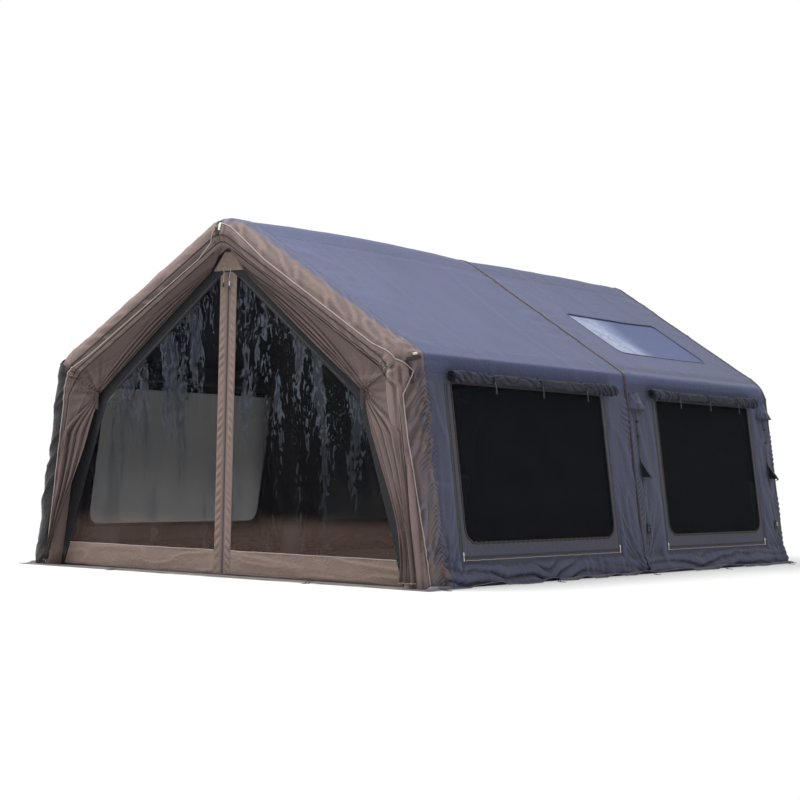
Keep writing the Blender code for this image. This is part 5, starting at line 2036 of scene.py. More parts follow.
@dataclass(frozen=True)
class Blind(WallPart):
    """Window blind wound up under the eave, held by toggled bands, with the cloth it hangs from."""

    height: float = 1.150
    core: float = 0.009
    radius: float = 0.0355
    stand: float = 0.0445
    press: float = 0.90
    turns: float = 5.5
    sheet: float = 0.0012
    bands: tuple[float, ...] = (0.22, 0.50, 0.78)
    tail: float = 0.060
    drop: float = 0.93
    hung_from: float = 1.1645
    start_turn: float = math.radians(235)
    clear: float = 0.0123
    bunches: tuple[tuple[float, float], ...] = ((0.03, 0.13), (0.97, 0.19))
    calm_pitch: float = 0.34
    bunched_pitch: float = 0.062

    @property
    def body(self) -> str:
        """Return the blind's body."""
        return "window_blind_" + self.tag

    def bunch(self, share: Array) -> Array:
        """Tell how much the roll is bunched at places along its length."""
        return np.clip(sum(bell(share - place, reach) for place, reach in self.bunches), 0, 1)

    def girth(self, share: Array, seed: int) -> Array:
        """Give the roll's fullness along its length.

        Args:
            share: places from its front end to its rear end.
            seed: seed of its unevenness.

        Returns:
            Shares of the full radius.
        """
        edge = np.minimum(share, 1 - share)
        full = (0.78 + 0.12 * ease(edge / 0.02)) * (1 + 0.22 * self.bunch(share))
        full *= 1 + 0.05 * Ripple(seed).field(share * 7, 0.0) * ease(edge / 0.1)
        for band in self.bands:
            full *= 1 - 0.15 * bell(share - band, 0.022)
        return full

    def build(self) -> None:
        """Build the roll, its bands and the cloth between the eave and the roll."""
        window = self.window
        seed = 80 + 3 * (self.bay == "rear") + (self.side < 0)
        noise = Ripple(seed)
        low, high = window.low - window.overhang[0], window.high + window.overhang[1]
        y = spaced(low + 0.004, high - 0.004, 0.0100)
        shown = 1 - 1.5 / self.turns
        wound = np.concatenate([spaced(0.0, shown, shown / 56)[:-1], spaced(shown, 1.0, 0.0052)])
        place, share = np.meshgrid(y, wound, indexing="ij")
        long = (place - low) / (high - low)
        turn = FULL_TURN * self.turns * share + self.start_turn + 0.25 * noise.field(long * 6, 3)
        outer = ease((share - 0.70) / 0.2)
        near = self.bunch((y - low) / (high - low))
        calm, bunched = 1 / self.calm_pitch, 1 / self.bunched_pitch
        pace = np.cumsum(np.gradient(y) * (calm + (bunched - calm) * near))
        swirl = pace[:, None] + 2.6 * turn / FULL_TURN + 0.8 * noise.field(place / 0.12, turn / 2)
        fold = 1 - (1 - np.abs(np.sin(math.pi * swirl))) ** 2.6
        cross = 1 - noise.crease(place / 0.060 + turn * 0.4, turn * 0.8 + 4, 3.0)
        bump = (0.0080 + 0.0080 * near[:, None]) * (fold - 1) + 0.0070 * (cross - 0.6) * (
            0.30 + near[:, None])
        for band in self.bands:
            fan = np.cos(FULL_TURN * (turn / 0.7 + 3 * noise.field(place / 0.2, 6.0)))
            bump += 0.0030 * (fan - 0.3) * bell(long - band, 0.05)
        bump = bump * outer

        def lay(lift: Array) -> Array:
            """Return the cloth's points at a lift from its outer face.

            Args:
                lift: heights over the roll's smooth face.

            Returns:
                Points of the face.
            """
            size = (self.core + (self.radius - self.core) * share) * self.girth(long, seed)
            size = size + lift
            stand = self.stand + self.press * size * np.cos(turn)
            z = self.height + size * np.sin(turn)
            return SHELL.wall_point(self.side, place, z, np.maximum(stand, self.clear))

        flat = FULL_TURN * self.turns * (self.core + self.radius) / 2
        roll = closed_sheet("blind_roll_" + self.tag, lay(bump), lay(bump - self.sheet),
                            np.stack([place, share * flat], -1), bump)
        fit(roll, Finish.BLIND, self.body, self.body)
        self.build_bands(low, high, seed)
        self.build_hanging()

    def build_bands(self, low: float, high: float, seed: int) -> None:
        """Build the bands round the roll with their hanging tails and toggles.

        Args:
            low: front end of the roll.
            high: rear end of the roll.
            seed: seed of the roll's unevenness.
        """
        for number, band in enumerate(self.bands):
            y = low + (high - low) * band
            girth = float(self.girth(np.array([band]), seed)[0])
            size = (self.radius + 0.0022) * girth + 0.0012
            turn = ring_turns(40)
            stand = self.stand + self.press * size * np.cos(turn)
            z = self.height + size * np.sin(turn)
            path = SHELL.wall_point(self.side, np.full(40, y), z,
                                    np.maximum(stand, self.clear + 0.0005))
            middle = SHELL.wall_point(self.side, np.array([y]), self.height, self.stand)[0]
            name = "%s_%d" % (self.tag, number)
            loop = ribbon("blind_band_" + name, path, path - middle, 0.016, 0.0014, True)
            fit(loop, Finish.BLIND, self.body)
            drop = spaced(0.0, self.tail, 0.006)
            z = self.height - size * 0.55 - drop
            stand = self.stand + self.press * size * 0.84 - 0.004 + 0.004 * bell(drop - 0.05, 0.03)
            sway = 0.004 * np.sin(drop / self.tail * 3.0 + number)
            path = SHELL.wall_point(self.side, y + sway, z, stand + 0.006)
            tail = round_cord("blind_tail_" + name, path, 0.0022, 8)
            fit(tail, Finish.ELASTIC, self.body)
            end, axis = Vector(path[-1]), Vector((0.0, 0.8, -0.6))
            half = TOGGLE[-1][0] / 2
            toggle = turned("blind_toggle_" + name, end - axis * half, axis, TOGGLE, 12)
            fit(toggle, Finish.COIL, self.body)

    def build_hanging(self) -> None:
        """Build the cloth that the blind hangs from."""
        y, share = np.meshgrid(spaced(self.window.low - 0.024, self.window.high + 0.024, 0.02),
                               spaced(0.0, 1.0, 1 / 44), indexing="ij")
        top, foot = self.hung_from, self.height + 0.004
        z = top + (foot - top) * share
        out = 0.0028 + 0.0012 * np.sin(math.pi * share) + 0.0105 * ease((share - 0.96) / 0.04)
        out = out + 0.0012 * Ripple(91).crease(y / 0.13, share * 3) * np.sin(math.pi * share)
        uv = np.stack([y, share * self.drop], -1)
        cloth = closed_sheet("blind_cloth_" + self.tag, SHELL.wall_point(self.side, y, z, out),
                             SHELL.wall_point(self.side, y, z, out - 0.0010), uv, out * 0)
        paint(cloth, Finish.BLIND)
        ends = [tuple(SHELL.wall_point(self.side, np.array([0.0]), level, 0.003)[0])
                for level in (top, foot)]
        self.body
        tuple(ends[0])
        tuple(ends[1])
        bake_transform(cloth)


@dataclass(frozen=True)
class RearWall:
    """Rear gable wall with its net vent."""

    half: float = 0.240
    foot: float = 1.430
    top: float = 1.620
    corner: float = 0.030
    lap: float = 0.016
    filled: float = 0.79

    def build(self) -> None:
        """Build the wall, the vent and its binding."""
        self.build_cloth()
        self.build_net()
        loop = rounded_loop(-self.half - 0.008, self.half + 0.008, self.foot - 0.008,
                            self.top + 0.008, self.corner, 0.010)
        face = SHELL.rear_wall_y + SHELL.skin
        path = np.stack([loop[:, 0], np.full(len(loop), face + 0.0006), loop[:, 1]], -1)
        up = np.broadcast_to(REARWARD, path.shape)
        fit(ribbon("vent_binding", path, up, 0.018, 0.002, True), Finish.SEAM, HULL)
        Repeat.STITCH.run("vent_stitches", [(path + [0, 0.002, 0], up)], HULL, 13)

    def build_cloth(self) -> None:
        """Build the wall's cloth round the vent's opening."""
        around = spaced(0.0, LINE.total, 0.017)
        edge = LINE.at(around, -0.0005, 0.0)[:, [0, 2]]
        base = np.stack([spaced(edge[-1, 0], edge[0, 0], 0.022)[1:-1]] * 2, -1)
        base[:, 1] = SHELL.foot
        edge = np.concatenate([edge, base])
        centre = np.array([0.0, (self.foot + self.top) / 2])
        hole = rounded_loop(-self.half, self.half, self.foot, self.top, self.corner, 0.004)
        angle = np.arctan2(*(hole - centre).T[::-1])
        order = np.argsort(angle)
        angle, hole = angle[order], hole[order]
        wanted = np.arctan2(*(edge - centre).T[::-1])
        inner = np.stack([np.interp(wanted, angle, hole[:, k], period=FULL_TURN)
                          for k in (0, 1)], -1)
        grid = between(inner, edge, 36)
        x, z = grid[..., 0], grid[..., 1]
        noise = Ripple(95)
        away = np.broadcast_to(np.linspace(1, 0, 37)[:, None], x.shape)
        run = np.broadcast_to(np.append(around, LINE.total + 0.022 * np.arange(len(base))),
                              x.shape)
        seam = away * np.linalg.norm(edge - inner, axis=1)[None]
        out = puckers(run, seam, 0.037, 0.05, 0.005, 96, 0.6)
        out += drapes(x, z, 0.20, 0.016, 97) + 0.014 * ease(seam / 0.5)
        out += 0.005 * noise.crease(x / 0.35 + z / 0.5, z / 0.30, 5.0)
        out *= ease(seam / 0.012) * ease((1 - away) / 0.05)
        face = SHELL.rear_wall_y + SHELL.skin
        front = np.stack([x, face + out, z], -1)
        back = np.stack([x, face + out - SHELL.skin, z], -1)
        sheet = closed_sheet("rear_cloth", front, back, np.stack([x, z], -1), out, None, True)
        fit(sheet, Finish.WALL, HULL, "rear_wall")
        wide, tall = float(np.ptp(edge[:, 0])), float(np.ptp(edge[:, 1]))

    def build_net(self) -> None:
        """Build the vent's netting."""
        x, z = np.meshgrid(spaced(-self.half - self.lap, self.half + self.lap, 0.02),
                           spaced(self.foot - self.lap, self.top + self.lap, 0.02))
        y = np.full_like(x, SHELL.rear_wall_y - 0.0006)
        net = closed_sheet("vent_cloth", np.stack([x, y, z], -1),
                           np.stack([x, y - 0.0012, z], -1), np.stack([x, z], -1))
        fit(net, Finish.NET, HULL, "rear_vent_net")


# ---- door end


@dataclass(frozen=True)
class DoorFrame:
    """Sizes of the door end that its surround, leaves and curtains share."""

    face_y: float = -2.1997
    back_y: float = -2.1957
    surround_inset: float = 0.1646
    tie: tuple[float, float] = (1.0028, 1.05)
    curtain_head: tuple[float, float] = (0.13, 1.7487)
    curtain_foot: tuple[float, float] = (1.3402, 0.03)
    foot: tuple[float, float] = (1.2902, 0.012)
    knee: tuple[float, float] = (0.9648, 0.985)
    shoulder: tuple[float, float] = (0.8638, 1.0844)
    top: tuple[float, float] = (0.0325, 1.7499)
    strip: float = 0.062
    band: float = 0.133
    film_in: float = 0.042
    film_low: float = 0.125
    film_y: float = -2.1977
    border_y: float = -2.2010
    stitch_y: float = -2.2014
    teeth_y: float = -2.1990
    strip_back_y: float = -2.1980

    @property
    def head_run(self) -> float:
        """Return the run over the rise of the leaves' sloping head."""
        return (self.shoulder[0] - self.top[0]) / (self.top[1] - self.shoulder[1])

    def edge_x(self, z: Array) -> Array:
        """Return x of the leaf's outer side at heights.

        Args:
            z: heights.

        Returns:
            Distances from the tent's middle plane.
        """
        low = self.foot[0] + (self.knee[0] - self.foot[0]) * (z - self.foot[1]) / (
            self.knee[1] - self.foot[1])
        heights = [self.knee[1], self.shoulder[1], self.top[1]]
        high = np.interp(z, heights, [self.knee[0], self.shoulder[0], self.top[0]])
        return np.where(z < self.knee[1], low, high)


DOOR = DoorFrame()


def area_under(height: Array, run: Array) -> float:
    """Return the area under a line of heights."""
    return float(((height[1:] + height[:-1]) / 2 * np.diff(run)).sum())


def span_over(place: Array, y: Array) -> Array:
    """Pull a row of cloth taut over whatever stands in front of it.

    Args:
        place: places along the row.
        y: depths of what it must stay in front of (the front is at lower values).

    Returns:
        Depths of the taut row.
    """
    hull = [0]
    for k in range(1, len(place)):
        while len(hull) > 1:
            a, b = hull[-2], hull[-1]
            if (y[b] - y[a]) * (place[k] - place[a]) < (y[k] - y[a]) * (place[b] - place[a]):
                break
            hull.pop()
        hull.append(k)
    return np.interp(place, place[hull], y[hull])


@dataclass(frozen=True)
class Surround:
    """Panel round the door opening, in near-black cloth that paints shade, and the gusset over it.
    """

    rows: int = 150
    grow: float = 0.0005
    gusset_half: float = 0.115
    gusset_foot: float = 1.7599
    gusset_top: float = 1.8691
    gusset_tip: float = 0.0308

    def build(self) -> None:
        """Build the surround, its stitches and the gusset."""
        self.build_cloth()
        slope = np.stack([np.linspace(0.86, 0.10, 90)] * 2, -1)
        slope[:, 1] = np.interp(-slope[:, 0], [-DOOR.shoulder[0], -DOOR.top[0]],
                                [DOOR.shoulder[1], DOOR.top[1]]) + 0.016
        paths = []
        for side in SIDES.values():
            path = np.stack([side * slope[:, 0], np.full(90, DOOR.face_y - 0.0016), slope[:, 1]],
                            -1)
            paths.append((path, FORWARD))
        Repeat.STITCH.run("surround_stitches", paths, HULL, 17)
        self.build_gusset()

    def outlines(self) -> tuple[Array, Array]:
        """Lay out the panel's edges.

        Returns:
            Points (x, z) of the outer edge and of the opening, as many of each.
        """
        rows = self.rows
        corner = (LINE.wall + LINE.bend_end) / 2
        half = rows * 2 // 5
        run = np.concatenate([np.linspace(0, corner, half),
                              np.linspace(corner, LINE.total / 2, rows - half + 1)[1:]])
        outer = LINE.at(run, -DOOR.surround_inset, 0.0)[:, [0, 2]]
        outer[:, 0] = np.maximum(outer[:, 0], 0.0)
        lean = (DOOR.foot[0] - DOOR.knee[0]) / (DOOR.knee[1] - DOOR.foot[1])
        drop = DOOR.foot[1] - SHELL.foot
        foot = (DOOR.foot[0] + self.grow + drop * lean, SHELL.foot)
        bend = ((DOOR.knee[0] + DOOR.shoulder[0]) / 2 + 0.012,
                (DOOR.knee[1] + DOOR.shoulder[1]) / 2)
        low = along_line(np.array([foot, (DOOR.knee[0] + self.grow, DOOR.knee[1]), bend]),
                         np.linspace(0, 1, half))
        high = along_line(np.array([bend, (DOOR.shoulder[0] + self.grow, DOOR.shoulder[1]),
                                    (DOOR.top[0], DOOR.top[1] + self.grow),
                                    (0.0, DOOR.top[1] + self.grow)]),
                          np.linspace(0, 1, rows - half + 1)[1:])
        inner = np.concatenate([low, high])
        return mirrored(outer), mirrored(inner)

    def build_cloth(self) -> None:
        """Build the panel's cloth."""
        outer, inner = self.outlines()
        across = np.linspace(0, 1, 15)[None, :, None]
        flat = inner[:, None] + (outer - inner)[:, None] * across
        length = np.broadcast_to(np.linspace(0, 5.0, len(outer))[:, None], flat.shape[:2])
        out = 0.0012 * (1 + Ripple(101).field(length / 0.05, flat[..., 1] / 0.2)) / 2
        out = out + 0.0010 * bell(across[..., 0] - 0.05, 0.10)
        front = np.stack([flat[..., 0], DOOR.face_y - out, flat[..., 1]], -1)
        back = np.stack([flat[..., 0], DOOR.back_y - out, flat[..., 1]], -1)
        sheet = closed_sheet("surround_cloth", front, back, flat, out)
        # The surround takes the near-black cloth as painted shade beside the film.
        fit(sheet, Finish.SHADE, HULL, "door_surround")

    def build_gusset(self) -> None:
        """Build the gusset over the door's head, its stitches and its zip pulls."""
        u, v = np.meshgrid(np.linspace(-1, 1, 45), np.linspace(0, 1, 27))
        z = self.gusset_foot + (self.gusset_top - self.gusset_foot) * v
        x = u * (self.gusset_half + (self.gusset_tip - self.gusset_half) * v)
        noise = Ripple(111)
        out = 0.0022 * noise.crease(x / 0.05 + 3, z / 0.035, 2.0) + 0.0024 * bell(u, 0.5)
        out *= ease((1 - np.abs(u)) / 0.12) * ease(v / 0.08) * ease((1 - v) / 0.08)
        y = DOOR.face_y - 0.0033
        front = np.stack([x, y - out, z], -1)
        back = np.stack([x, y - out + 0.0028, z], -1)
        sheet = closed_sheet("gusset_cloth", front, back, np.stack([x, z], -1), out)
        fit(sheet, Finish.FRONT, HULL, "apex_gusset")
        corners = np.array([(-0.107, 1.767), (0.107, 1.767), (0.028, 1.861), (-0.028, 1.861),
                            (-0.107, 1.767)])
        flat = along_line(corners, np.linspace(0, 1, 90))
        path = np.stack([flat[:, 0], np.full(90, y - 0.0004), flat[:, 1]], -1)
        Repeat.STITCH.run("gusset_stitches", [(path, FORWARD)], HULL, 19)
        for number, (x, long) in enumerate(((-0.030, 0.085), (0.018, 0.105))):
            down = spaced(0, long, 0.006)
            path = np.stack([x + 0.006 * np.sin(down * 40 + number),
                             y - 0.0085 - 0.004 * np.sin(down / long * 3), 1.775 - down], -1)
            cord = round_cord("door_pull_cord_%d" % number, path, 0.0022, 6)
            fit(cord, Finish.PIPING, HULL)
            pull = turned("door_pull_%d" % number, Vector(path[-1]), Vector(-UPWARD), PULL, 10)
            fit(pull, Finish.BUCKLE, HULL)


@dataclass(frozen=True)
class DoorLeaf(Sided):
    """One leaf of the door: clear film with a zip strip, a bottom band and half of the zip."""

    groove: float = 0.009
    pucker: float = 0.0056
    billow: float = 0.020
    free_end: float = 0.009

    @property
    def body(self) -> str:
        """Return the leaf's body."""
        return "door_leaf_" + self.label

    def lay(self, x: Array, y: Array, z: Array) -> Array:
        """Return points of the leaf on its side."""
        x, y, z = np.broadcast_arrays(x, y, z)
        return np.stack([self.side * x, y, z], -1)

    def build(self) -> None:
        """Build the leaf."""
        seed = 120 + (self.side < 0)
        self.build_strip(seed)
        self.build_band(seed)
        self.build_film(seed)
        z = spaced(0.016, 1.744, 0.02)
        teeth = self.lay(np.full_like(z, 0.0029), np.full_like(z, DOOR.teeth_y), z)
        Repeat.TOOTH.run("door_teeth_" + self.label, [(teeth, FORWARD)], self.body, 23)
        paths = []
        for x, top in ((0.0125, 1.742), (0.0545, 1.722)):
            z = spaced(0.02, top, 0.02)
            paths.append((self.lay(np.full_like(z, x), np.full_like(z, DOOR.stitch_y), z), FORWARD))
        for height in (DOOR.foot[1] + DOOR.band - 0.011, 0.026):
            x = spaced(0.07, float(DOOR.edge_x(np.array(height))) - 0.01, 0.02)
            y = np.full_like(x, DOOR.border_y - 0.0008)
            paths.append((self.lay(x, y, np.full_like(x, height)), FORWARD))
        Repeat.STITCH.run("door_stitches_" + self.label, paths, self.body, 29)
        x = spaced(0.064, float(DOOR.edge_x(np.array(0.145))) - self.free_end, 0.012)
        wave = 0.0012 * Ripple(seed).field(x / 0.05, 4.0)
        cord = self.lay(x, np.full_like(x, DOOR.border_y - 0.0006), 0.1445 + wave)
        fit(round_cord("band_piping_" + self.label, cord, 0.0026, 6), Finish.PIPING, self.body)

    def build_strip(self, seed: int) -> None:
        """Build the strip beside the zip, with its diagonal puckers.

        Args:
            seed: seed of the folds' unevenness.
        """
        x, share = np.meshgrid(spaced(0.0003, DOOR.strip, 0.0032), np.linspace(0, 1, 280))
        high = DOOR.top[1] - np.maximum(x - DOOR.top[0], 0) / DOOR.head_run
        z = DOOR.foot[1] + (high - DOOR.foot[1]) * share
        free = ease((x - 0.018) / 0.010) * ease((DOOR.strip - x) / 0.006)
        noise = Ripple(seed)
        out = self.pucker * (0.5 + 0.5 * np.sin(FULL_TURN * (z + 0.9 * x) / 0.052 + 1.6
                                                * noise.field(z / 0.13, 2.0)))
        out = out * free * (0.55 + 0.45 * noise.field(z / 0.09, x / 0.05))
        out += puckers(z, x - 0.013, 0.019, 0.006, 0.0009, seed + 4) * ease((x - 0.010) / 0.004)
        step = 0.0018 * (1 - ease((x - self.groove) / 0.003))
        face = DOOR.border_y + step - out
        sheet = closed_sheet("door_strip_" + self.label, self.lay(x, face, z),
                             self.lay(x, np.full_like(x, DOOR.strip_back_y), z),
                             np.stack([x, z], -1), out, 0.30 + 0.45 * bell(x, 0.012))
        fit(sheet, Finish.FRONT, self.body, "door_border_" + self.label)

    def build_band(self, seed: int) -> None:
        """Build the bottom band.

        Args:
            seed: seed of the folds' unevenness.
        """
        share, z = np.meshgrid(np.linspace(0, 1, 150),
                               spaced(DOOR.foot[1], DOOR.foot[1] + DOOR.band, 0.007))
        edge = DOOR.edge_x(z)
        x = DOOR.strip - 0.0008 + (edge - self.free_end - DOOR.strip) * share
        up = z - DOOR.foot[1]
        noise = Ripple(seed + 7)
        out = 0.0032 * noise.crease(x / 0.24, up / 0.05 + x * 1.5, 2.5)
        out += puckers(x, up - DOOR.band, 0.026, 0.030, 0.0030, seed + 8, 0.4)
        out += puckers(x, up, 0.030, 0.020, 0.0026, seed + 9, 0.3)
        out *= ease(up / 0.010) * ease((DOOR.band - up) / 0.008) * ease(share / 0.01)
        face = DOOR.border_y - out
        sheet = closed_sheet("door_band_" + self.label, self.lay(x, face, z),
                             self.lay(x, face + 0.0026, z), np.stack([x, z], -1), out)
        fit(sheet, Finish.FRONT, self.body, "door_border_" + self.label)

    def build_film(self, seed: int) -> None:
        """Build the clear film, wrinkled from its hanging.

        Args:
            seed: seed of the folds' unevenness.
        """
        high = DOOR.top[1] - (DOOR.film_in - DOOR.top[0] + 0.004) / DOOR.head_run
        share, z = np.meshgrid(np.linspace(0, 1, 92), spaced(DOOR.film_low, high, 0.0145))
        x = DOOR.film_in + (DOOR.edge_x(z) - DOOR.film_in) * share
        wide = DOOR.edge_x(z) - DOOR.film_in
        pin = ease(share * wide / 0.10) * ease((1 - share) * wide / 0.09)
        pin = pin * ease((z - DOOR.film_low - 0.015) / 0.16)
        noise = Ripple(seed + 11)
        lean = 0.28 * (z - 0.2) * share
        folds = noise.field((x + lean) / 0.115, z / 0.62)
        fine = noise.field((x + lean) / 0.045 + 9, z / 0.34)
        sharp = noise.crease((x + lean) / 0.15 + 5, z / 0.75, 5.0)
        out = pin * self.billow * (0.45 + 0.30 * folds + 0.10 * fine) + 0.006 * sharp * pin
        out = np.maximum(out, 0.0)
        y = DOOR.film_y + 0.0002 + out
        sheet = closed_sheet("leaf_film_" + self.label, self.lay(x, y, z),
                             self.lay(x, y + 0.0008, z), np.stack([x, z], -1), -out)
        fit(sheet, Finish.FILM, self.body, "door_film_" + self.label)
        area = area_under(wide[:, 0], z[:, 0])


@dataclass(frozen=True)
class Curtain(Sided):
    """Tied-back curtain: flat beside the arch, in long pleats along its free edge."""

    rows: int = 210
    columns: int = 112
    bow: float = 0.075
    drawn: float = 0.016
    pleats: float = 3.62
    fold: float = 0.024
    sheet: float = 0.0022
    cloth: float = 0.005
    fullness: float = 1.45
    taut_below: float = 1.30
    stitch_share: float = 0.90
    spoke: float = 0.0075
    crease: float = 0.0050
    ruck: float = 0.012
    tie_start: tuple[float, float] = (1.262, 1.195)
    tie_depth: tuple[float, float] = (-2.296, -2.240)
    tab_long: float = 0.105

    def outline(self) -> tuple[Array, Array, Array]:
        """Lay out the curtain's rows.

        Returns:
            Outer points, inner points and fold depths from the apex to the foot.
        """
        back = DOOR.face_y - 0.0042
        tie_x, tie_z = DOOR.tie
        right = np.array(self.side > 0)
        snug = SHELL.sleeve_radius + 0.0012
        right_half = slice(LINE.half - 1, None, -1)
        line, normals = LINE.points[right_half], LINE.normals[right_half]
        keep = line[:, 1] > tie_z
        line, normals = line[keep], normals[keep]
        turn = curtain_turn(line[:, 1], right)
        rafter = line - normals * (SHELL.arch_inset - snug * np.cos(turn))[:, None]
        last = curtain_turn(np.array([tie_z]), right)
        foot = LINE.x_at_z(tie_z, SHELL.arch_inset - snug * math.cos(float(last[0])))
        rafter = np.concatenate([rafter, [(float(foot), tie_z)]])
        depth = SHELL.front_arch_y - snug * np.sin(np.concatenate([turn, last]))
        upper = self.rows // 2
        share = np.linspace(0, 1, upper)
        run = run_of(rafter)
        at = run[-1] * (0.02 + 0.98 * share)
        outer = np.stack([np.interp(at, run, part) for part in (rafter[:, 0], depth,
                                                                rafter[:, 1])], -1)
        head = np.array(DOOR.curtain_head)
        inner = head + (np.array(DOOR.tie) - head) * share[:, None]
        inner = np.stack([inner[:, 0], np.full(upper, back), inner[:, 1]], -1)
        fold = self.fold * (0.55 + 0.45 * np.sin(math.pi * share))
        share = np.linspace(0, 1, self.rows - upper + 1)[1:]
        smooth = ease(share)
        turn = curtain_turn(np.zeros(len(share)), right)
        reach = snug + self.cloth * np.minimum(1, 4 * share)
        z = tie_z + (DOOR.curtain_foot[1] - tie_z) * share
        away = [float(LINE.x_at_z(level, SHELL.arch_inset - r * math.cos(t)))
                for level, r, t in zip(z, reach, turn)]
        low = np.stack([away, SHELL.front_arch_y - reach * np.sin(turn), z], -1)
        bow = self.bow * np.sin(math.pi * share ** 1.9) - self.drawn * np.sin(
            math.pi * share ** 0.6) if self.side > 0 else -0.022 * np.sin(math.pi * share)
        x = tie_x + (DOOR.curtain_foot[0] - tie_x) * share + bow
        front = SHELL.front_arch_y - SHELL.sleeve_radius - self.cloth
        edge = np.stack([x, back + (front - back) * smooth, z], -1)
        return (np.concatenate([outer, low]), np.concatenate([inner, edge]),
                np.concatenate([fold, self.fold * (0.55 + 0.70 * share)]))

    def build(self) -> None:
        """Build the curtain, its hem and its tie."""
        outer, inner, fold = self.outline()
        share = 1 - (1 - np.linspace(0, 1, self.columns)) ** 1.6
        wide = np.linalg.norm(inner - outer, axis=1)
        grid = self.spread(outer, inner, share, wide)
        swell, tint = self.pleated(grid, share, wide, fold)
        front, back = grid.copy(), grid.copy()
        front[..., 1] -= swell + self.cloth - 0.0008
        back[..., 1] -= swell + self.cloth - 0.0008 - self.sheet
        for face in (front, back):
            face[..., 0] *= self.side
        run = run_of(inner)
        uv = np.stack([wide[:, None] * share[None], np.broadcast_to(run[:, None], swell.shape)],
                      -1)
        sheet = closed_sheet("curtain_cloth_" + self.label, front, back, uv, swell, tint)
        fit(sheet, Finish.DRAPE, HULL, "curtain_" + self.label)
        self.build_trim(front)
        self.build_tie(front)

    def spread(self, outer: Array, inner: Array, share: Array, wide: Array) -> Array:
        """Lay the flat cloth between its sewn edge and its free edge, over the sleeve.

        Args:
            outer: points of the sewn edge, one a row.
            inner: points of the free edge.
            share: shares of the width at which the columns stand.
            wide: width of each row.

        Returns:
            rows x columns x 3 points of the right curtain.
        """
        grid = outer[:, None] + (inner - outer)[:, None] * share[None, :, None]
        depth = (outer[:, 1] - inner[:, 1])[:, None]
        upper = (np.arange(self.rows) < self.rows // 2)[:, None]
        grid[..., 1] += depth * ((1 - share) ** 1.8 - (1 - share))[None] * upper
        axis = (LINE.points - LINE.normals * SHELL.arch_inset)[:LINE.half:2]
        aside = np.min(np.hypot(grid[..., 0, None] - axis[:, 0], grid[..., 2, None] - axis[:, 1]),
                       axis=-1)
        wrap = np.sqrt(np.maximum((SHELL.sleeve_radius + 0.0014) ** 2 - aside ** 2, 0.0))
        grid[..., 1] = np.minimum(grid[..., 1], SHELL.front_arch_y - wrap)
        for row in np.flatnonzero(outer[:, 2] < self.taut_below):
            taut = span_over(share * wide[row], grid[row, :, 1])
            grip = float(ease((self.taut_below - outer[row, 2]) / 0.08))
            grid[row, :, 1] += (taut - grid[row, :, 1]) * grip
        return grid

    def pleated(self, grid: Array, share: Array, wide: Array,
                fold: Array) -> tuple[Array, Array]:
        """Give the curtain's pleats and creases.

        Args:
            grid: points of the flat cloth.
            share: shares of the width at which the columns stand.
            wide: width of each row.
            fold: depth of the pleats in each row.

        Returns:
            Heights of the cloth, and the share of its second colour.
        """
        place = np.broadcast_to(share, grid.shape[:2])
        level = np.broadcast_to(np.linspace(0, 1, self.rows)[:, None], grid.shape[:2])
        noise = Ripple(140 + (self.side < 0))
        away = (1 - place) * wide[:, None]
        gathered = 0.036 + 0.052 * np.sin(math.pi * np.clip(2 * level, 0, 1)) ** 0.8
        loose = ease((level - 0.5) / 0.12)
        zone = gathered + (0.96 * wide[:, None] - gathered) * loose
        pleat = np.clip(1 - away / zone, 0, 1)
        sway = 0.35 * noise.field(level * 5, 0.0) * np.sin(math.pi * pleat)
        phase = np.maximum(self.pleats * pleat + sway, 0.0)
        part = phase - np.floor(phase)
        wave = np.where(part < 0.70, (part / 0.70) ** 0.8, ((1 - part) / 0.30) ** 1.3)
        tall = 0.78 + 0.22 * noise.field(level * 4, np.floor(phase) * 3.3)
        swell = fold[:, None] * wave * tall * (1 - 0.35 * bell(level - 0.5, 0.05))
        swell += 0.0040 * noise.crease(level * 9 + place * 2, pleat * 8, 3.0) * (pleat > 0)
        aside, over = grid[..., 0] - DOOR.tie[0], grid[..., 2] - DOOR.tie[1]
        radius = np.hypot(aside, over)
        spoke = noise.crease(np.arctan2(over, aside) / 0.13 + 7, radius / 0.5, 2.0)
        swell += self.spoke * spoke * bell(radius, 0.16) * ease(radius / 0.03)
        flat_part = ease(place / 0.06) * (1 - pleat)
        swell += 0.0018 * (1 + noise.field(level * 6 + 2, place * 3)) * flat_part
        crease = noise.crease(level * 5 + place * 1.5, place * 2.6 + 3, 6.0)
        swell += self.crease * crease * flat_part
        ruck = noise.crease(level * 3 + 5, place * 3.4 + level, 2.0)
        swell += self.ruck * loose * ruck * ease(place / 0.1)
        hem = 1 - ease((away - 0.007) / 0.003)
        swell += 0.0022 * hem
        low_hem = bell(level - 1.0, 0.006) * 0.0020
        # Second colour: painted shade in the pleat hollows and over the whole left curtain, plus a
        # darker hem.
        tint = 0.55 * (1 - wave) ** 2 * (pleat > 0) * (pleat < 1) + 0.4 * hem
        return np.maximum(swell + low_hem, 0.0), np.clip(tint + 0.28 * (self.side < 0), 0, 1)

    def build_trim(self, front: Array) -> None:
        """Build the stitches, the corded hem and the dark seam cord on the curtain's front face, its
        darkness the painted shadow of the gap at the sleeve.

        Args:
            front: points of the curtain's front face.
        """
        column = int(self.columns * self.stitch_share)
        path = front[4:-4, column].copy()
        path[:, 1] -= 0.0004
        Repeat.STITCH.run("curtain_stitches_" + self.label,
                         [(path, FORWARD)], HULL, 31)
        path = front[-1, ::2].copy()
        path[:, 2] += 0.004
        path[:, 1] -= 0.0004
        fit(round_cord("curtain_hem_" + self.label, path, 0.0022, 6), Finish.PIPING, HULL)
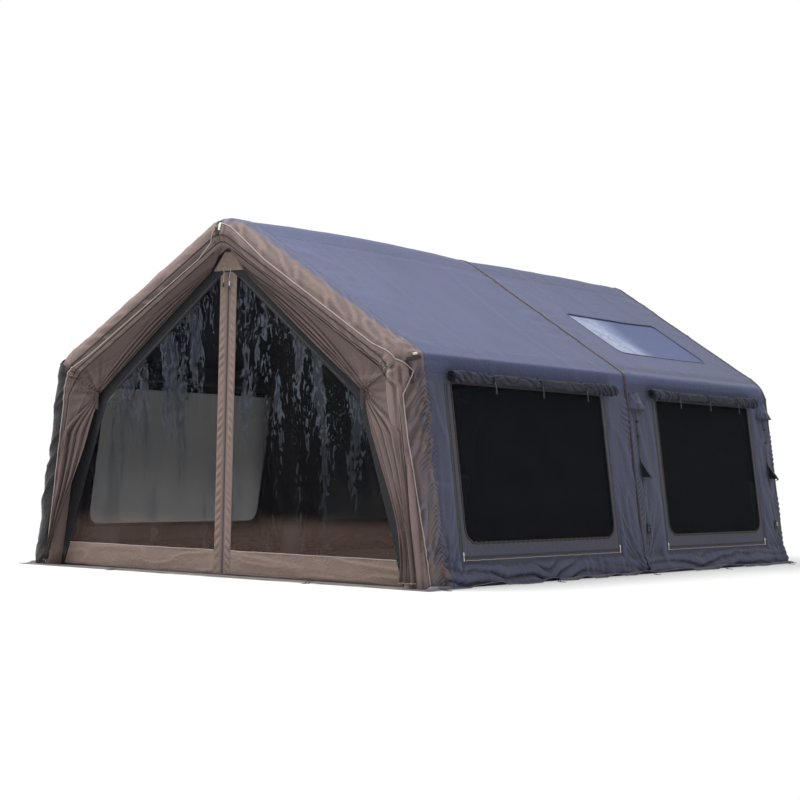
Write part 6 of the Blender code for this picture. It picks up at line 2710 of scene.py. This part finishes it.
        # Dark cord along the sewn edge: a seam, darkened as the painted shadow of the gap at the
        # sleeve.
        last = self.rows - 6
        path = front[4:last, 0].copy()
        path[:, 1] -= 0.0016
        fit(round_cord("curtain_seam_" + self.label, path, 0.0026, 6), Finish.HEM, HULL)

    def build_tie(self, front: Array) -> None:
        """Build the tie cord over the curtain's front face, with its bead and the tab under it.

        Args:
            front: points of the curtain's front face.
        """
        start = np.array(self.tie_start)
        end = np.array([DOOR.tie[0] + 0.012, DOOR.tie[1] + 0.012])
        share = np.linspace(0, 1, 30)
        flat = start + (end - start) * share[:, None]
        y = self.tie_depth[0] + (self.tie_depth[1] - self.tie_depth[0]) * share
        reach = np.hypot(np.abs(front[..., 0, None]) - flat[:, 0], front[..., 2, None] - flat[:, 1])
        over = np.where(reach < 0.012, front[..., 1, None], 0.0).min(axis=(0, 1)) - 0.0035
        over = np.minimum(y, over)
        y = np.convolve(np.pad(over, 3, mode="edge"), np.ones(7) / 7, mode="valid")
        path = np.stack([self.side * flat[:, 0], y, flat[:, 1] - 0.004 * np.sin(math.pi * share)],
                        -1)
        tie = round_cord("tie_cord_" + self.label, path, 0.0030, 8)
        fit(tie, Finish.WEBBING, HULL, "curtain_tie_" + self.label)
        way = Vector((self.side * (end[0] - start[0]), 0.0, end[1] - start[1]))
        bead = turned("tie_bead_" + self.label, Vector(path[22]), way, BEAD, 12)
        fit(bead, Finish.BUCKLE, HULL)
        float(run_of(path)[-1])
        down = spaced(0.0, self.tab_long, 0.006)
        x = self.side * (DOOR.tie[0] + 0.006 - 0.02 * down)
        path = np.stack([x, -2.2345 + 0.006 * ease(down / 0.1), 1.062 - down], -1)
        up = np.broadcast_to(FORWARD, path.shape)
        width = 0.030 * (1 - 0.35 * ease(down / self.tab_long))
        fit(ribbon("tie_tab_" + self.label, path, up, width, 0.0022), Finish.HEM, HULL)


# ---- frame, ground and fittings


@dataclass(frozen=True)
class AirFrame:
    """Inflated arches with the ridge and eave beams between them."""

    sides: int = 30
    step: float = 0.020
    ridge_radius: float = 0.065
    eave_radius: float = 0.060
    drop: float = 0.005
    weld: float = 0.0012
    weld_width: float = 0.08
    pinch: float = 0.03

    def build(self) -> None:
        """Build every air tube."""
        run = spaced(0.0, LINE.total, self.step)
        turn = ring_turns(self.sides)
        along, around = np.meshgrid(run, turn, indexing="ij")
        from_foot = LINE.from_foot(along)
        bend = bell(from_foot - (LINE.wall + LINE.bend_end) / 2, 0.14)
        bend += bell(from_foot - LINE.total / 2, 0.10)
        inside = np.clip(-np.cos(around), 0, 1)
        for number, (label, y) in enumerate(ARCHES.items()):
            noise = Ripple(160 + number)
            wrinkle = noise.crease(along / 0.022, around * 0.8, 2.0) * bend * inside
            welds = bell(np.sin(around), self.weld_width)
            size = SHELL.arch_radius - 0.0030 * wrinkle - self.weld * welds
            rings = LINE.at(along, size * np.cos(around) - SHELL.arch_inset,
                            y + size * np.sin(around))
            # Darker along the welds, and in the wrinkles at the bends as painted shade.
            tube = loft("arch_tube_" + label, rings, tint=np.clip(welds + 0.3 * wrinkle, 0, 1))
            fit(tube, Finish.BLADDER, HULL, "arch_beam_" + label)
        crest = SHELL.roof_z(SHELL.outer_bend, 0.0) + SHELL.outer_bend - SHELL.skin - SHELL.gap
        mid = (SHELL.wall_lean + math.pi / 2 - SHELL.pitch) / 2
        corner = SHELL.eave_point(SHELL.outer_bend)
        reach = (SHELL.outer_bend - SHELL.skin - SHELL.gap) * 0.998 - self.eave_radius - self.drop
        eave = (corner[0] + reach * math.cos(mid), corner[1] + reach * math.sin(mid))
        beams = {"ridge_beam": (0.0, crest - self.ridge_radius - self.drop, self.ridge_radius),
                 "eave_beam_right": (*eave, self.eave_radius),
                 "eave_beam_left": (-eave[0], eave[1], self.eave_radius)}
        ends = {"front": (SHELL.front_arch_y, SHELL.middle_arch_y),
                "rear": (SHELL.middle_arch_y, SHELL.rear_arch_y)}
        for bay, (start, end) in ends.items():
            for name, (x, z, radius) in beams.items():
                self.beam(name, bay, (x, z, radius), start, end)

    def beam(self, name: str, bay: str, section: tuple[float, float, float], start: float,
             end: float) -> None:
        """Build one beam, saddled to the arches at its ends.

        Args:
            name: name of the beam without its bay.
            bay: front or rear.
            section: centre (x, z) and radius.
            start: first arch's place.
            end: second arch's place.
        """
        x, z, radius = section
        turn = ring_turns(self.sides)
        line = LINE.points
        px, pz = x + radius * np.cos(turn), z + radius * np.sin(turn)
        first, second = line[:-1], line[1:]
        span = second - first
        point = np.stack([px, pz], -1)[:, None]
        share = np.clip(((point - first) * span).sum(-1) / (span ** 2).sum(-1), 0, 1)
        inset = np.linalg.norm(first + span * share[..., None] - point, axis=-1).min(axis=1)
        deep = (SHELL.arch_radius + 0.0006) ** 2 - (inset - SHELL.arch_inset) ** 2
        saddle = np.sqrt(np.maximum(deep, 1e-6))
        rows = spaced(0.0, 1.0, 0.028)[:, None]
        low, high = (start + saddle)[None], (end - saddle)[None]
        y = low + (high - low) * rows
        welds = bell(np.sin(turn), self.weld_width)[None]
        size = 1 - self.pinch * (bell(rows, 0.05) + bell(1 - rows, 0.05)) - 0.012 * welds
        rings = np.stack([x + radius * np.cos(turn)[None] * size, y,
                          z + radius * np.sin(turn)[None] * size], -1)
        tint = np.clip(welds + bell(rows, 0.03) + bell(1 - rows, 0.03), 0, 1)
        node = "%s_%s" % (name, bay)
        fit(loft(node.replace("beam", "tube"), rings, tint=tint), Finish.BLADDER, HULL, node)


@dataclass(frozen=True)
class Ground:
    """Groundsheet and the sod skirt that lies round the tent, with its peg loops."""

    skirt_side: float = 0.075
    skirt_end: float = 0.060
    thickness: float = 0.0024
    side_wave: float = 0.030
    end_wave: float = 0.0055
    tab: float = 0.040
    tab_half: float = 0.0115
    side_tabs: tuple[float, ...] = (SHELL.front_arch_y, -1.0275, SHELL.middle_arch_y, 1.1725,
                                    SHELL.rear_arch_y)
    end_tabs: tuple[float, ...] = (-0.741, 0.741)

    def build(self) -> None:
        """Build the groundsheet, the skirt and the peg loops."""
        half = SHELL.base_half_width - 0.0005
        near = SHELL.front_arch_y - SHELL.sleeve_radius
        far = SHELL.rear_arch_y + SHELL.sleeve_radius
        x, y = np.meshgrid(spaced(-half, half, 0.045), spaced(near, far, 0.045))
        noise = Ripple(170)
        from_arch = np.minimum.reduce([np.abs(y - place) for place in ARCHES.values()])
        free = ease((half - np.abs(x) - 0.18) / 0.15) * ease((from_arch - 0.10) / 0.12)
        out = (0.006 * noise.crease(x / 0.5 + y / 0.9, y / 0.6, 4.0)
               + 0.003 * (1 + noise.field(x / 0.2, y / 0.2))) * free
        top = np.stack([x, y, 0.0040 + out], -1)
        base = np.stack([x, y, 0.0008 + out * 0.9], -1)
        sheet = closed_sheet("floor_cloth", top, base, np.stack([x, y], -1), out)
        fit(sheet, Finish.FLOOR, HULL, "groundsheet")
        self.build_skirt(near, far)

    def build_skirt(self, near: float, far: float) -> None:
        """Build the wavy skirt, its stitches and the loops on it.

        Args:
            near: front end of the groundsheet.
            far: its rear end.
        """
        inner_half = SHELL.base_half_width + SHELL.gap
        inner, outer = ring_loops((-inner_half, inner_half, near - SHELL.gap, far + SHELL.gap),
                                  (0.004, 0.004),
                                  (-inner_half - self.skirt_side, inner_half + self.skirt_side,
                                   near - self.skirt_end, far + self.skirt_end), [0.016] * 4)
        run = run_of(outer)
        noise = Ripple(171)
        total = run[-1] + 0.016
        scallop = 0.0085 * (0.5 + 0.5 * np.cos(FULL_TURN * run / (total / 44)))
        scallop += 0.006 * (1 + noise.field(run / 0.23, 0.0))
        pull = (outer - inner) / np.linalg.norm(outer - inner, axis=1, keepdims=True)
        outer = outer - pull * scallop[:, None]
        grid = between(inner, outer, 9)
        share = np.broadcast_to(np.linspace(0, 1, 10)[:, None], grid.shape[:2])
        at_end = ease((np.abs(grid[..., 1] - (near + far) / 2) - (far - near) / 2 + 0.02) / 0.02)
        tall = self.side_wave + (self.end_wave - self.side_wave) * at_end
        along = np.broadcast_to(run, share.shape)
        wave = 0.5 + 0.5 * noise.field(along / 0.17, share * 1.5)
        fine = noise.crease(along / 0.26 + share, share * 2.0 + 5, 2.5)
        arcs = np.clip(noise.field(along / 0.19, 3.0) * 1.6, 0, 1) * share
        fall = 1 - (0.45 + 0.25 * (1 - at_end)) * share
        out = tall * ((0.45 * wave + 0.35 * fine) * ease(share / 0.25) * fall + 0.75 * arcs)
        out += tall * 0.40 * bell(share - 0.45, 0.25) * (0.5 + 0.5 * noise.field(along / 0.6, 8.0))
        top = np.stack([grid[..., 0], grid[..., 1], self.thickness + 0.0002 + out], -1)
        base = np.stack([grid[..., 0], grid[..., 1], 0.0002 + out], -1)
        sheet = closed_sheet("skirt_cloth", top, base, grid, out, None, True)
        fit(sheet, Finish.SKIRT, HULL, "ground_skirt")
        area = (2 * inner_half + 2 * self.skirt_side) * (far - near + 2 * self.skirt_end)
        area -= 2 * inner_half * (far - near)
        wide = area / total
        edge = top[-2]
        path = np.concatenate([edge, edge[:1]]) + [0, 0, 0.0004]
        Repeat.STITCH.run("skirt_stitches", [(path, UPWARD)], HULL, 37)
        self.build_loops(near, far)

    def build_loops(self, near: float, far: float) -> None:
        """Build the webbing peg loops.

        Args:
            near: front end of the groundsheet.
            far: its rear end.
        """
        out_x = SHELL.base_half_width + self.skirt_side
        places = [(side * out_x, y, side, 0) for side in (1, -1) for y in self.side_tabs]
        places += [(x, near - self.skirt_end, 0, -1) for x in self.end_tabs]
        places += [(x, far + self.skirt_end, 0, 1) for x in self.end_tabs]
        for number, (x, y, dx, dy) in enumerate(places):
            out, back = np.array([dx, dy, 0.0]), -0.034
            middle, aside = np.array([x, y, 0.0]), np.array([-dy, dx, 0.0]) * self.tab_half
            reach = self.tab - self.tab_half - 0.005
            path = [middle + out * back - aside]
            path += [middle + out * (reach + self.tab_half * math.cos(t)) + aside * math.sin(t)
                     for t in np.linspace(-math.pi / 2, math.pi / 2, 11)]
            path.append(middle + out * back + aside)
            path = along_line(np.array(path), np.linspace(0, 1, 40))
            reach = np.clip((path - [x, y, 0]) @ out, back, 0)
            high = 0.0135 if dx else 0.0082
            path[:, 2] = 0.0008 + high * ease(-reach / 0.012)
            up = np.broadcast_to(UPWARD, path.shape)
            fit(ribbon("peg_loop_%d" % number, path, up, 0.0095, 0.0016), Finish.WEBBING, HULL)


@dataclass(frozen=True)
class WallStrap(Sided):
    """Strap beside an arch: hood pocket, knotted webbing, tension tab and buckle."""

    arch: str
    centre: float
    width: float = 0.026
    hood_top: float = 1.150
    hood_foot: float = 1.040
    hood_half: float = 0.112
    hood_depth: float = 0.056
    tab_top: float = 0.725
    tab_foot: float = 0.600
    tab_depth: float = 0.070
    end: float = 0.190
    knots: tuple[float, ...] = (0.965, 0.870)
    buckle: tuple[float, float, float] = (0.2825, 0.0185, 0.0320)

    @property
    def tag(self) -> str:
        """Return the end of its pieces' names."""
        return "%s_%s" % (self.label, self.arch)

    def wall(self, y: Array, z: Array, stand: Array) -> Array:
        """Return points at a stand-off from this strap's wall."""
        return SHELL.wall_point(self.side, y, z, stand)

    def up(self, path: Array) -> Array:
        """Return the wall's outward direction, one a point."""
        return np.broadcast_to(SHELL.wall_out(self.side), path.shape)

    def build(self) -> None:
        """Build the strap."""
        self.build_hood()
        self.build_webbing()
        self.build_tab()
        self.build_buckle()

    def build_hood(self) -> None:
        """Build the hood pocket and its binding."""
        u, v = np.meshgrid(np.linspace(-1, 1, 37), np.linspace(0, 1, 25))
        z = self.hood_top + (self.hood_foot - self.hood_top) * v
        half = self.hood_half * (0.50 + 0.50 * v ** 0.8)
        depth = self.hood_depth * (1 - np.abs(u) ** 1.6) * ease(v * 0.9 + 0.08)
        ripple = 0.010 * Ripple(190).crease(u * 2.2 + v, v * 2.6, 2.0) * (1 - np.abs(u))
        stand = 0.0045 + depth * 0.92 + ripple
        y = self.centre + u * half
        hood = closed_sheet("strap_hood_" + self.tag, self.wall(y, z, stand),
                            self.wall(y, z, stand - 0.0026), np.stack([y, z], -1), ripple)
        fit(hood, Finish.WALL, HULL, "wall_strap_" + self.tag)
        edge = np.stack([u[-1], v[-1]], -1)
        path = self.wall(self.centre + edge[:, 0] * self.hood_half, self.hood_foot + 0.004,
                         stand[-1] + 0.0006)
        binding = ribbon("hood_binding_" + self.tag, path, self.up(path), 0.009, 0.0018)
        fit(binding, Finish.SEAM, HULL)

    def build_webbing(self) -> None:
        """Build the webbing that hangs from the hood, with its two knots."""
        z = spaced(self.hood_foot + 0.012, self.end, 0.010)
        noise = Ripple(191)
        y = np.full_like(z, self.centre) + 0.0022 * noise.field(z / 0.12, 1.0)
        lift = 0.0012 + 0.0035 * (1 + noise.field(z / 0.16, 5.0)) / 2
        path = self.wall(y, z, lift)
        fit(ribbon("strap_webbing_" + self.tag, path, self.up(path), self.width, 0.0018),
            Finish.WEBBING, HULL)
        for number, height in enumerate(self.knots):
            self.build_knot("strap_knot_%s_%d" % (self.tag, number), height)

    def build_knot(self, name: str, height: float) -> None:
        """Build one folded knot of the webbing.

        Args:
            name: name of the piece.
            height: height of its middle.
        """
        turn = ring_turns(32)
        y = self.centre + 0.0135 * np.cos(turn)
        z = height + 0.0045 * np.sin(2 * turn)
        path = self.wall(y, z, 0.0085 + 0.0045 * np.sin(turn))
        fit(round_cord(name, path, 0.0040, 8, True), Finish.WEBBING, HULL)

    def build_tab(self) -> None:
        """Build the tension tab, a triangle of folded webbing that stands off the wall."""
        corners = np.array([(self.tab_top, 0.006), (self.tab_top - 0.02, 0.010),
                            (self.tab_foot + 0.016, self.tab_depth - 0.004),
                            (self.tab_foot + 0.006, self.tab_depth - 0.002),
                            (self.tab_foot + 0.001, self.tab_depth - 0.010),
                            (self.tab_foot - 0.006, 0.012), (self.tab_foot - 0.008, 0.007)])
        flat = along_line(corners, np.linspace(0, 1, 60))
        path = self.wall(np.full(60, self.centre), flat[:, 0], flat[:, 1])
        side = np.broadcast_to(REARWARD, path.shape)
        up = np.cross(tangents(path), side) * self.side
        fit(ribbon("strap_tab_" + self.tag, path, up, 0.030, 0.0020), Finish.WEBBING, HULL)
        u, v = np.meshgrid(np.linspace(0, 1, 13), np.linspace(0, 1, 17))
        z = self.tab_top - 0.022 + (self.tab_foot + 0.010 - self.tab_top + 0.022) * v
        stand = 0.0065 + (self.tab_depth - 0.010) * v * u * 0.97
        y = self.centre + 0.0015 * np.sin(v * 7 + u * 3)
        gore = closed_sheet("strap_gore_" + self.tag, self.wall(y + 0.0012, z, stand),
                            self.wall(y - 0.0012, z, stand), np.stack([stand, z], -1), z * 0)
        # The gore takes the darkened blind cloth, painted shade under the tab.
        fit(gore, Finish.BLIND, HULL)

    def build_buckle(self) -> None:
        """Build the ladder buckle: an oval ring with two bars."""
        turn = ring_turns(40)
        middle, wide, tall = self.buckle
        y = self.centre + wide * np.sign(np.cos(turn)) * np.abs(np.cos(turn)) ** 0.75
        z = middle + tall * np.sign(np.sin(turn)) * np.abs(np.sin(turn)) ** 0.75
        path = self.wall(y, z, 0.0100 + 0 * y)
        fit(round_cord("strap_buckle_" + self.tag, path, 0.0042, 10, True), Finish.BUCKLE, HULL)
        for number, shift in enumerate((-0.011, 0.009)):
            y = self.centre + np.linspace(-wide, wide, 9)
            path = self.wall(y, np.full(9, middle + shift), 0.0112 + 0 * y)
            fit(round_cord("buckle_bar_%s_%d" % (self.tag, number), path, 0.0036, 8), Finish.BUCKLE,
                HULL)
        if self.arch == "rear":
            turn = ring_turns(24)
            path = self.wall(self.centre + 0.014 + 0.010 * np.cos(turn),
                             middle + 0.004 + 0.013 * np.sin(turn), 0.0168 + 0 * turn)
            fit(round_cord("peg_ring_" + self.tag, path, 0.0022, 8, True), Finish.CLIP, HULL)


@dataclass(frozen=True)
class ZipSlider:
    """Cast zip slider with a bridge and a hanging pull."""

    node: str
    length: float = 0.024
    half: float = 0.0058
    thickness: float = 0.0056
    pull: float = 0.029

    def build(self, body: str, place: Callable[[Array, Array, Array], Array],
              top: float) -> None:
        """Build the slider.

        Args:
            body: body that it moves with.
            place: gives points for (across, height, stand-off).
            top: height of its top end.
        """
        turn = ring_turns(20)
        across = np.sign(np.cos(turn)) * np.abs(np.cos(turn)) ** 0.5
        deep = 0.5 + 0.5 * np.sign(np.sin(turn)) * np.abs(np.sin(turn)) ** 0.5
        rings = []
        for share, wide, tall in SLIDER:
            height = np.full(20, top - self.length * (1 - share))
            rings.append(place(across * self.half * wide, height,
                               0.0006 + deep * self.thickness * tall))
        fit(loft(self.node + "_shell", np.array(rings)), Finish.METAL, body, self.node)
        share = np.linspace(0, math.pi, 15)
        height = top - self.length * (0.52 - 0.30 * np.cos(share))
        path = place(np.zeros(15), height, 0.0032 + 0.0022 * np.sin(share))
        fit(round_cord(self.node + "_bridge", path, 0.0010, 8), Finish.METAL, body)
        drop = np.linspace(0, 1, 22)
        height = top - self.length * 0.62 - drop * self.pull * 1.15
        path = place(np.zeros(22), height, np.full(22, 0.0007) + 0.0032 * bell(drop, 0.10))
        flat = np.zeros(22)
        up = (place(flat, height, flat + 1e-3) - place(flat, height, flat)) * 1000
        width = 0.0034 + 0.0034 * ease((drop - 0.15) / 0.6)
        fit(ribbon(self.node + "_pull", path, up, width, 0.0014, crown=0.4), Finish.METAL, body)


@dataclass(frozen=True)
class Studio:
    """Camera, soft lights, pale floor and white surroundings."""

    azimuth: float = math.radians(35.752)
    elevation: float = math.radians(-2.018)
    roll: float = math.radians(1.172)
    distance: float = 12.626
    lens: float = 82.765
    target: tuple[float, float, float] = (-0.3615, 0.020, 1.102)
    ambient: float = 0.54
    key: float = 1380.0
    key_size: float = 4.5
    key_colour: Colour = (1.0, 0.975, 0.94)
    key_place: tuple[float, float, float] = (-2.0, -4.5, 9.5)
    key_aim: tuple[float, float, float] = (0.0, 0.0, 0.8)
    sensor: float = 36.0
    far: float = 200.0
    floor_half: float = 60.0
    floor_z: float = -0.0015
    floor_fade: tuple[float, float] = (2.6, 4.2)

    def build_camera(self) -> None:
        """Build the camera and make it the scene's."""
        a, e = self.azimuth, self.elevation
        back = Vector((math.sin(a) * math.cos(e), -math.cos(a) * math.cos(e), math.sin(e)))
        right = (-back).cross(Vector((0, 0, 1))).normalized()
        up = right.cross(-back)
        across = right * math.cos(self.roll) + up * math.sin(self.roll)
        upright = up * math.cos(self.roll) - right * math.sin(self.roll)
        data = bpy.data.cameras.new("camera")
        data.lens, data.sensor_width, data.clip_end = self.lens, self.sensor, self.far
        data.dof.use_dof = False
        camera = linked("camera", data)
        frame_matrix = Matrix((across, upright, back)).transposed().to_4x4()
        frame_matrix.translation = Vector(self.target) + back * self.distance
        camera.matrix_world = frame_matrix
        bpy.context.scene.camera = camera
        bpy.context.scene.view_settings.view_transform = "Standard"

    def build_lights(self) -> None:
        """Build the key light and the white world."""
        data = bpy.data.lights.new("key", "AREA")
        data.shape, data.size, data.energy = "DISK", self.key_size, self.key
        data.color = self.key_colour
        light = linked("key", data)
        light.location = self.key_place
        aim = Vector(self.key_aim) - light.location
        light.rotation_euler = aim.to_track_quat("-Z", "Y").to_euler()
        world = bpy.data.worlds.new("studio")
        bpy.context.scene.world = world
        world.use_nodes = True
        tree = world.node_tree
        tree.nodes.clear()
        output = tree.nodes.new("ShaderNodeOutputWorld")
        lit, seen = (tree.nodes.new("ShaderNodeBackground") for _ in range(2))
        lit.inputs["Color"].default_value = (0.93, 0.96, 1.0, 1.0)
        lit.inputs["Strength"].default_value = self.ambient
        seen.inputs["Color"].default_value = (1.0, 1.0, 1.0, 1.0)
        seen.inputs["Strength"].default_value = 1.0
        path = tree.nodes.new("ShaderNodeLightPath")
        rays = path.outputs["Is Camera Ray"]
        for name in ("Is Glossy Ray", "Is Transmission Ray"):
            total = tree.nodes.new("ShaderNodeMath")
            total.use_clamp = True
            tree.links.new(rays, total.inputs[0])
            tree.links.new(path.outputs[name], total.inputs[1])
            rays = total.outputs[0]
        mix = tree.nodes.new("ShaderNodeMixShader")
        tree.links.new(rays, mix.inputs[0])
        tree.links.new(lit.outputs[0], mix.inputs[1])
        tree.links.new(seen.outputs[0], mix.inputs[2])
        tree.links.new(mix.outputs[0], output.inputs["Surface"])

    def build_floor(self) -> None:
        """Build the pale floor, which fades into the white behind it."""
        corners = [(-1, -1), (1, -1), (1, 1), (-1, 1)]
        mesh = bpy.data.meshes.new("floor")
        mesh.from_pydata([(x * self.floor_half, y * self.floor_half, self.floor_z)
                          for x, y in corners], [], [(0, 1, 2, 3)])
        floor = linked("floor", mesh)
        graph = Graph("floor_paint")
        place = graph.place()
        fine = graph.noise(place, 0.6, 3.0)
        graph.dress(Base_Color=graph.mix(fine, srgb(236, 236, 234), srgb(242, 242, 241)),
                    Roughness=0.9, Specular_IOR_Level=0.1)
        glow = graph.tree.nodes.new("ShaderNodeEmission")
        glow.inputs["Strength"].default_value = 1.0
        seen = graph.node("LightPath", result="Is Camera Ray")
        radius = graph.node("VectorMath", {"operation": "LENGTH"}, {0: place}, "Value")
        share = 0.50 + 0.50 * radius.step(*self.floor_fade)
        mixed = graph.node("MixShader", {}, {0: seen * share,
                                             1: Wire(graph, graph.principled.outputs[0]),
                                             2: Wire(graph, glow.outputs[0])})
        graph.tree.links.new(mixed.socket, graph.output.inputs["Surface"])
        floor.data.materials.append(graph.material)
        floor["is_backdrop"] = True


def dress_valve() -> None:
    """Give the inflation valve's own solids their moulded finish."""
    for node in ("valve_body", "valve_poppet", "valve_cap"):
        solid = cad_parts[node]
        finish = Finish.CLIP if node == "valve_cap" else Finish.BUCKLE
        if not solid.material_slots:
            solid.data.materials.append(finish.material())
        for slot in solid.material_slots:
            slot.material = finish.material()


def build_sliders() -> None:
    """Build the door's slider and the eight sliders beside the blinds."""
    def on_door(across: Array, height: Array, stand: Array) -> Array:
        """Return points over the door's zip."""
        across, height, stand = np.broadcast_arrays(across, height, stand)
        return np.stack([across + 0.0077, DOOR.border_y - 0.0002 - stand, height], -1)

    ZipSlider("door_zip_slider").build("door_zip_slider", on_door, DOOR.top[1] - 0.05)
    for label, side in SIDES.items():
        for bay, window in WINDOWS.items():
            for tag, y in (("a", window.low - window.margin), ("b", window.high + window.margin)):
                def on_wall(across: Array, height: Array, stand: Array, side: int = side,
                            y: float = y) -> Array:
                    """Return points over this zip's wall."""
                    return SHELL.wall_point(side, y + across, height, stand + 0.0022)

                name = "zip_slider_%s_%s_%s" % (label, bay, tag)
                ZipSlider(name, thickness=0.0042).build(name, on_wall, window.zip_foot + 0.024)


def write_size(stage: str, sizes: dict) -> None:
    """Args:
        stage: name of the moment.
        sizes: boxes so far, to which this one is added.
    """
    low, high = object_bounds()
    sizes[stage] = {"low": [float(value) for value in low],
                    "high": [float(value) for value in high]}


def main() -> None:
    """Build every piece in order."""
    logging.basicConfig(level=logging.INFO, format="%(name)s: %(message)s")
    sizes: dict = {}
    write_size("loaded", sizes)
    studio = Studio()
    studio.build_camera()
    for part in (Ground(), AirFrame(), FrontSleeve(), Roof()):
        part.build()
    for label in SIDES:
        for bay in BAYS:
            SideWall(label, bay).build()
            Blind(label, bay).build()
        for arch, centre in STRAPS.items():
            WallStrap(label, arch, centre).build()
    RearWall().build()
    Surround().build()
    for label in SIDES:
        Curtain(label).build()
        DoorLeaf(label).build()
    build_sliders()
    dress_valve()
    studio.build_floor()
    studio.build_lights()
    write_size("dressed", sizes)


if __name__ == "__main__":
    main()
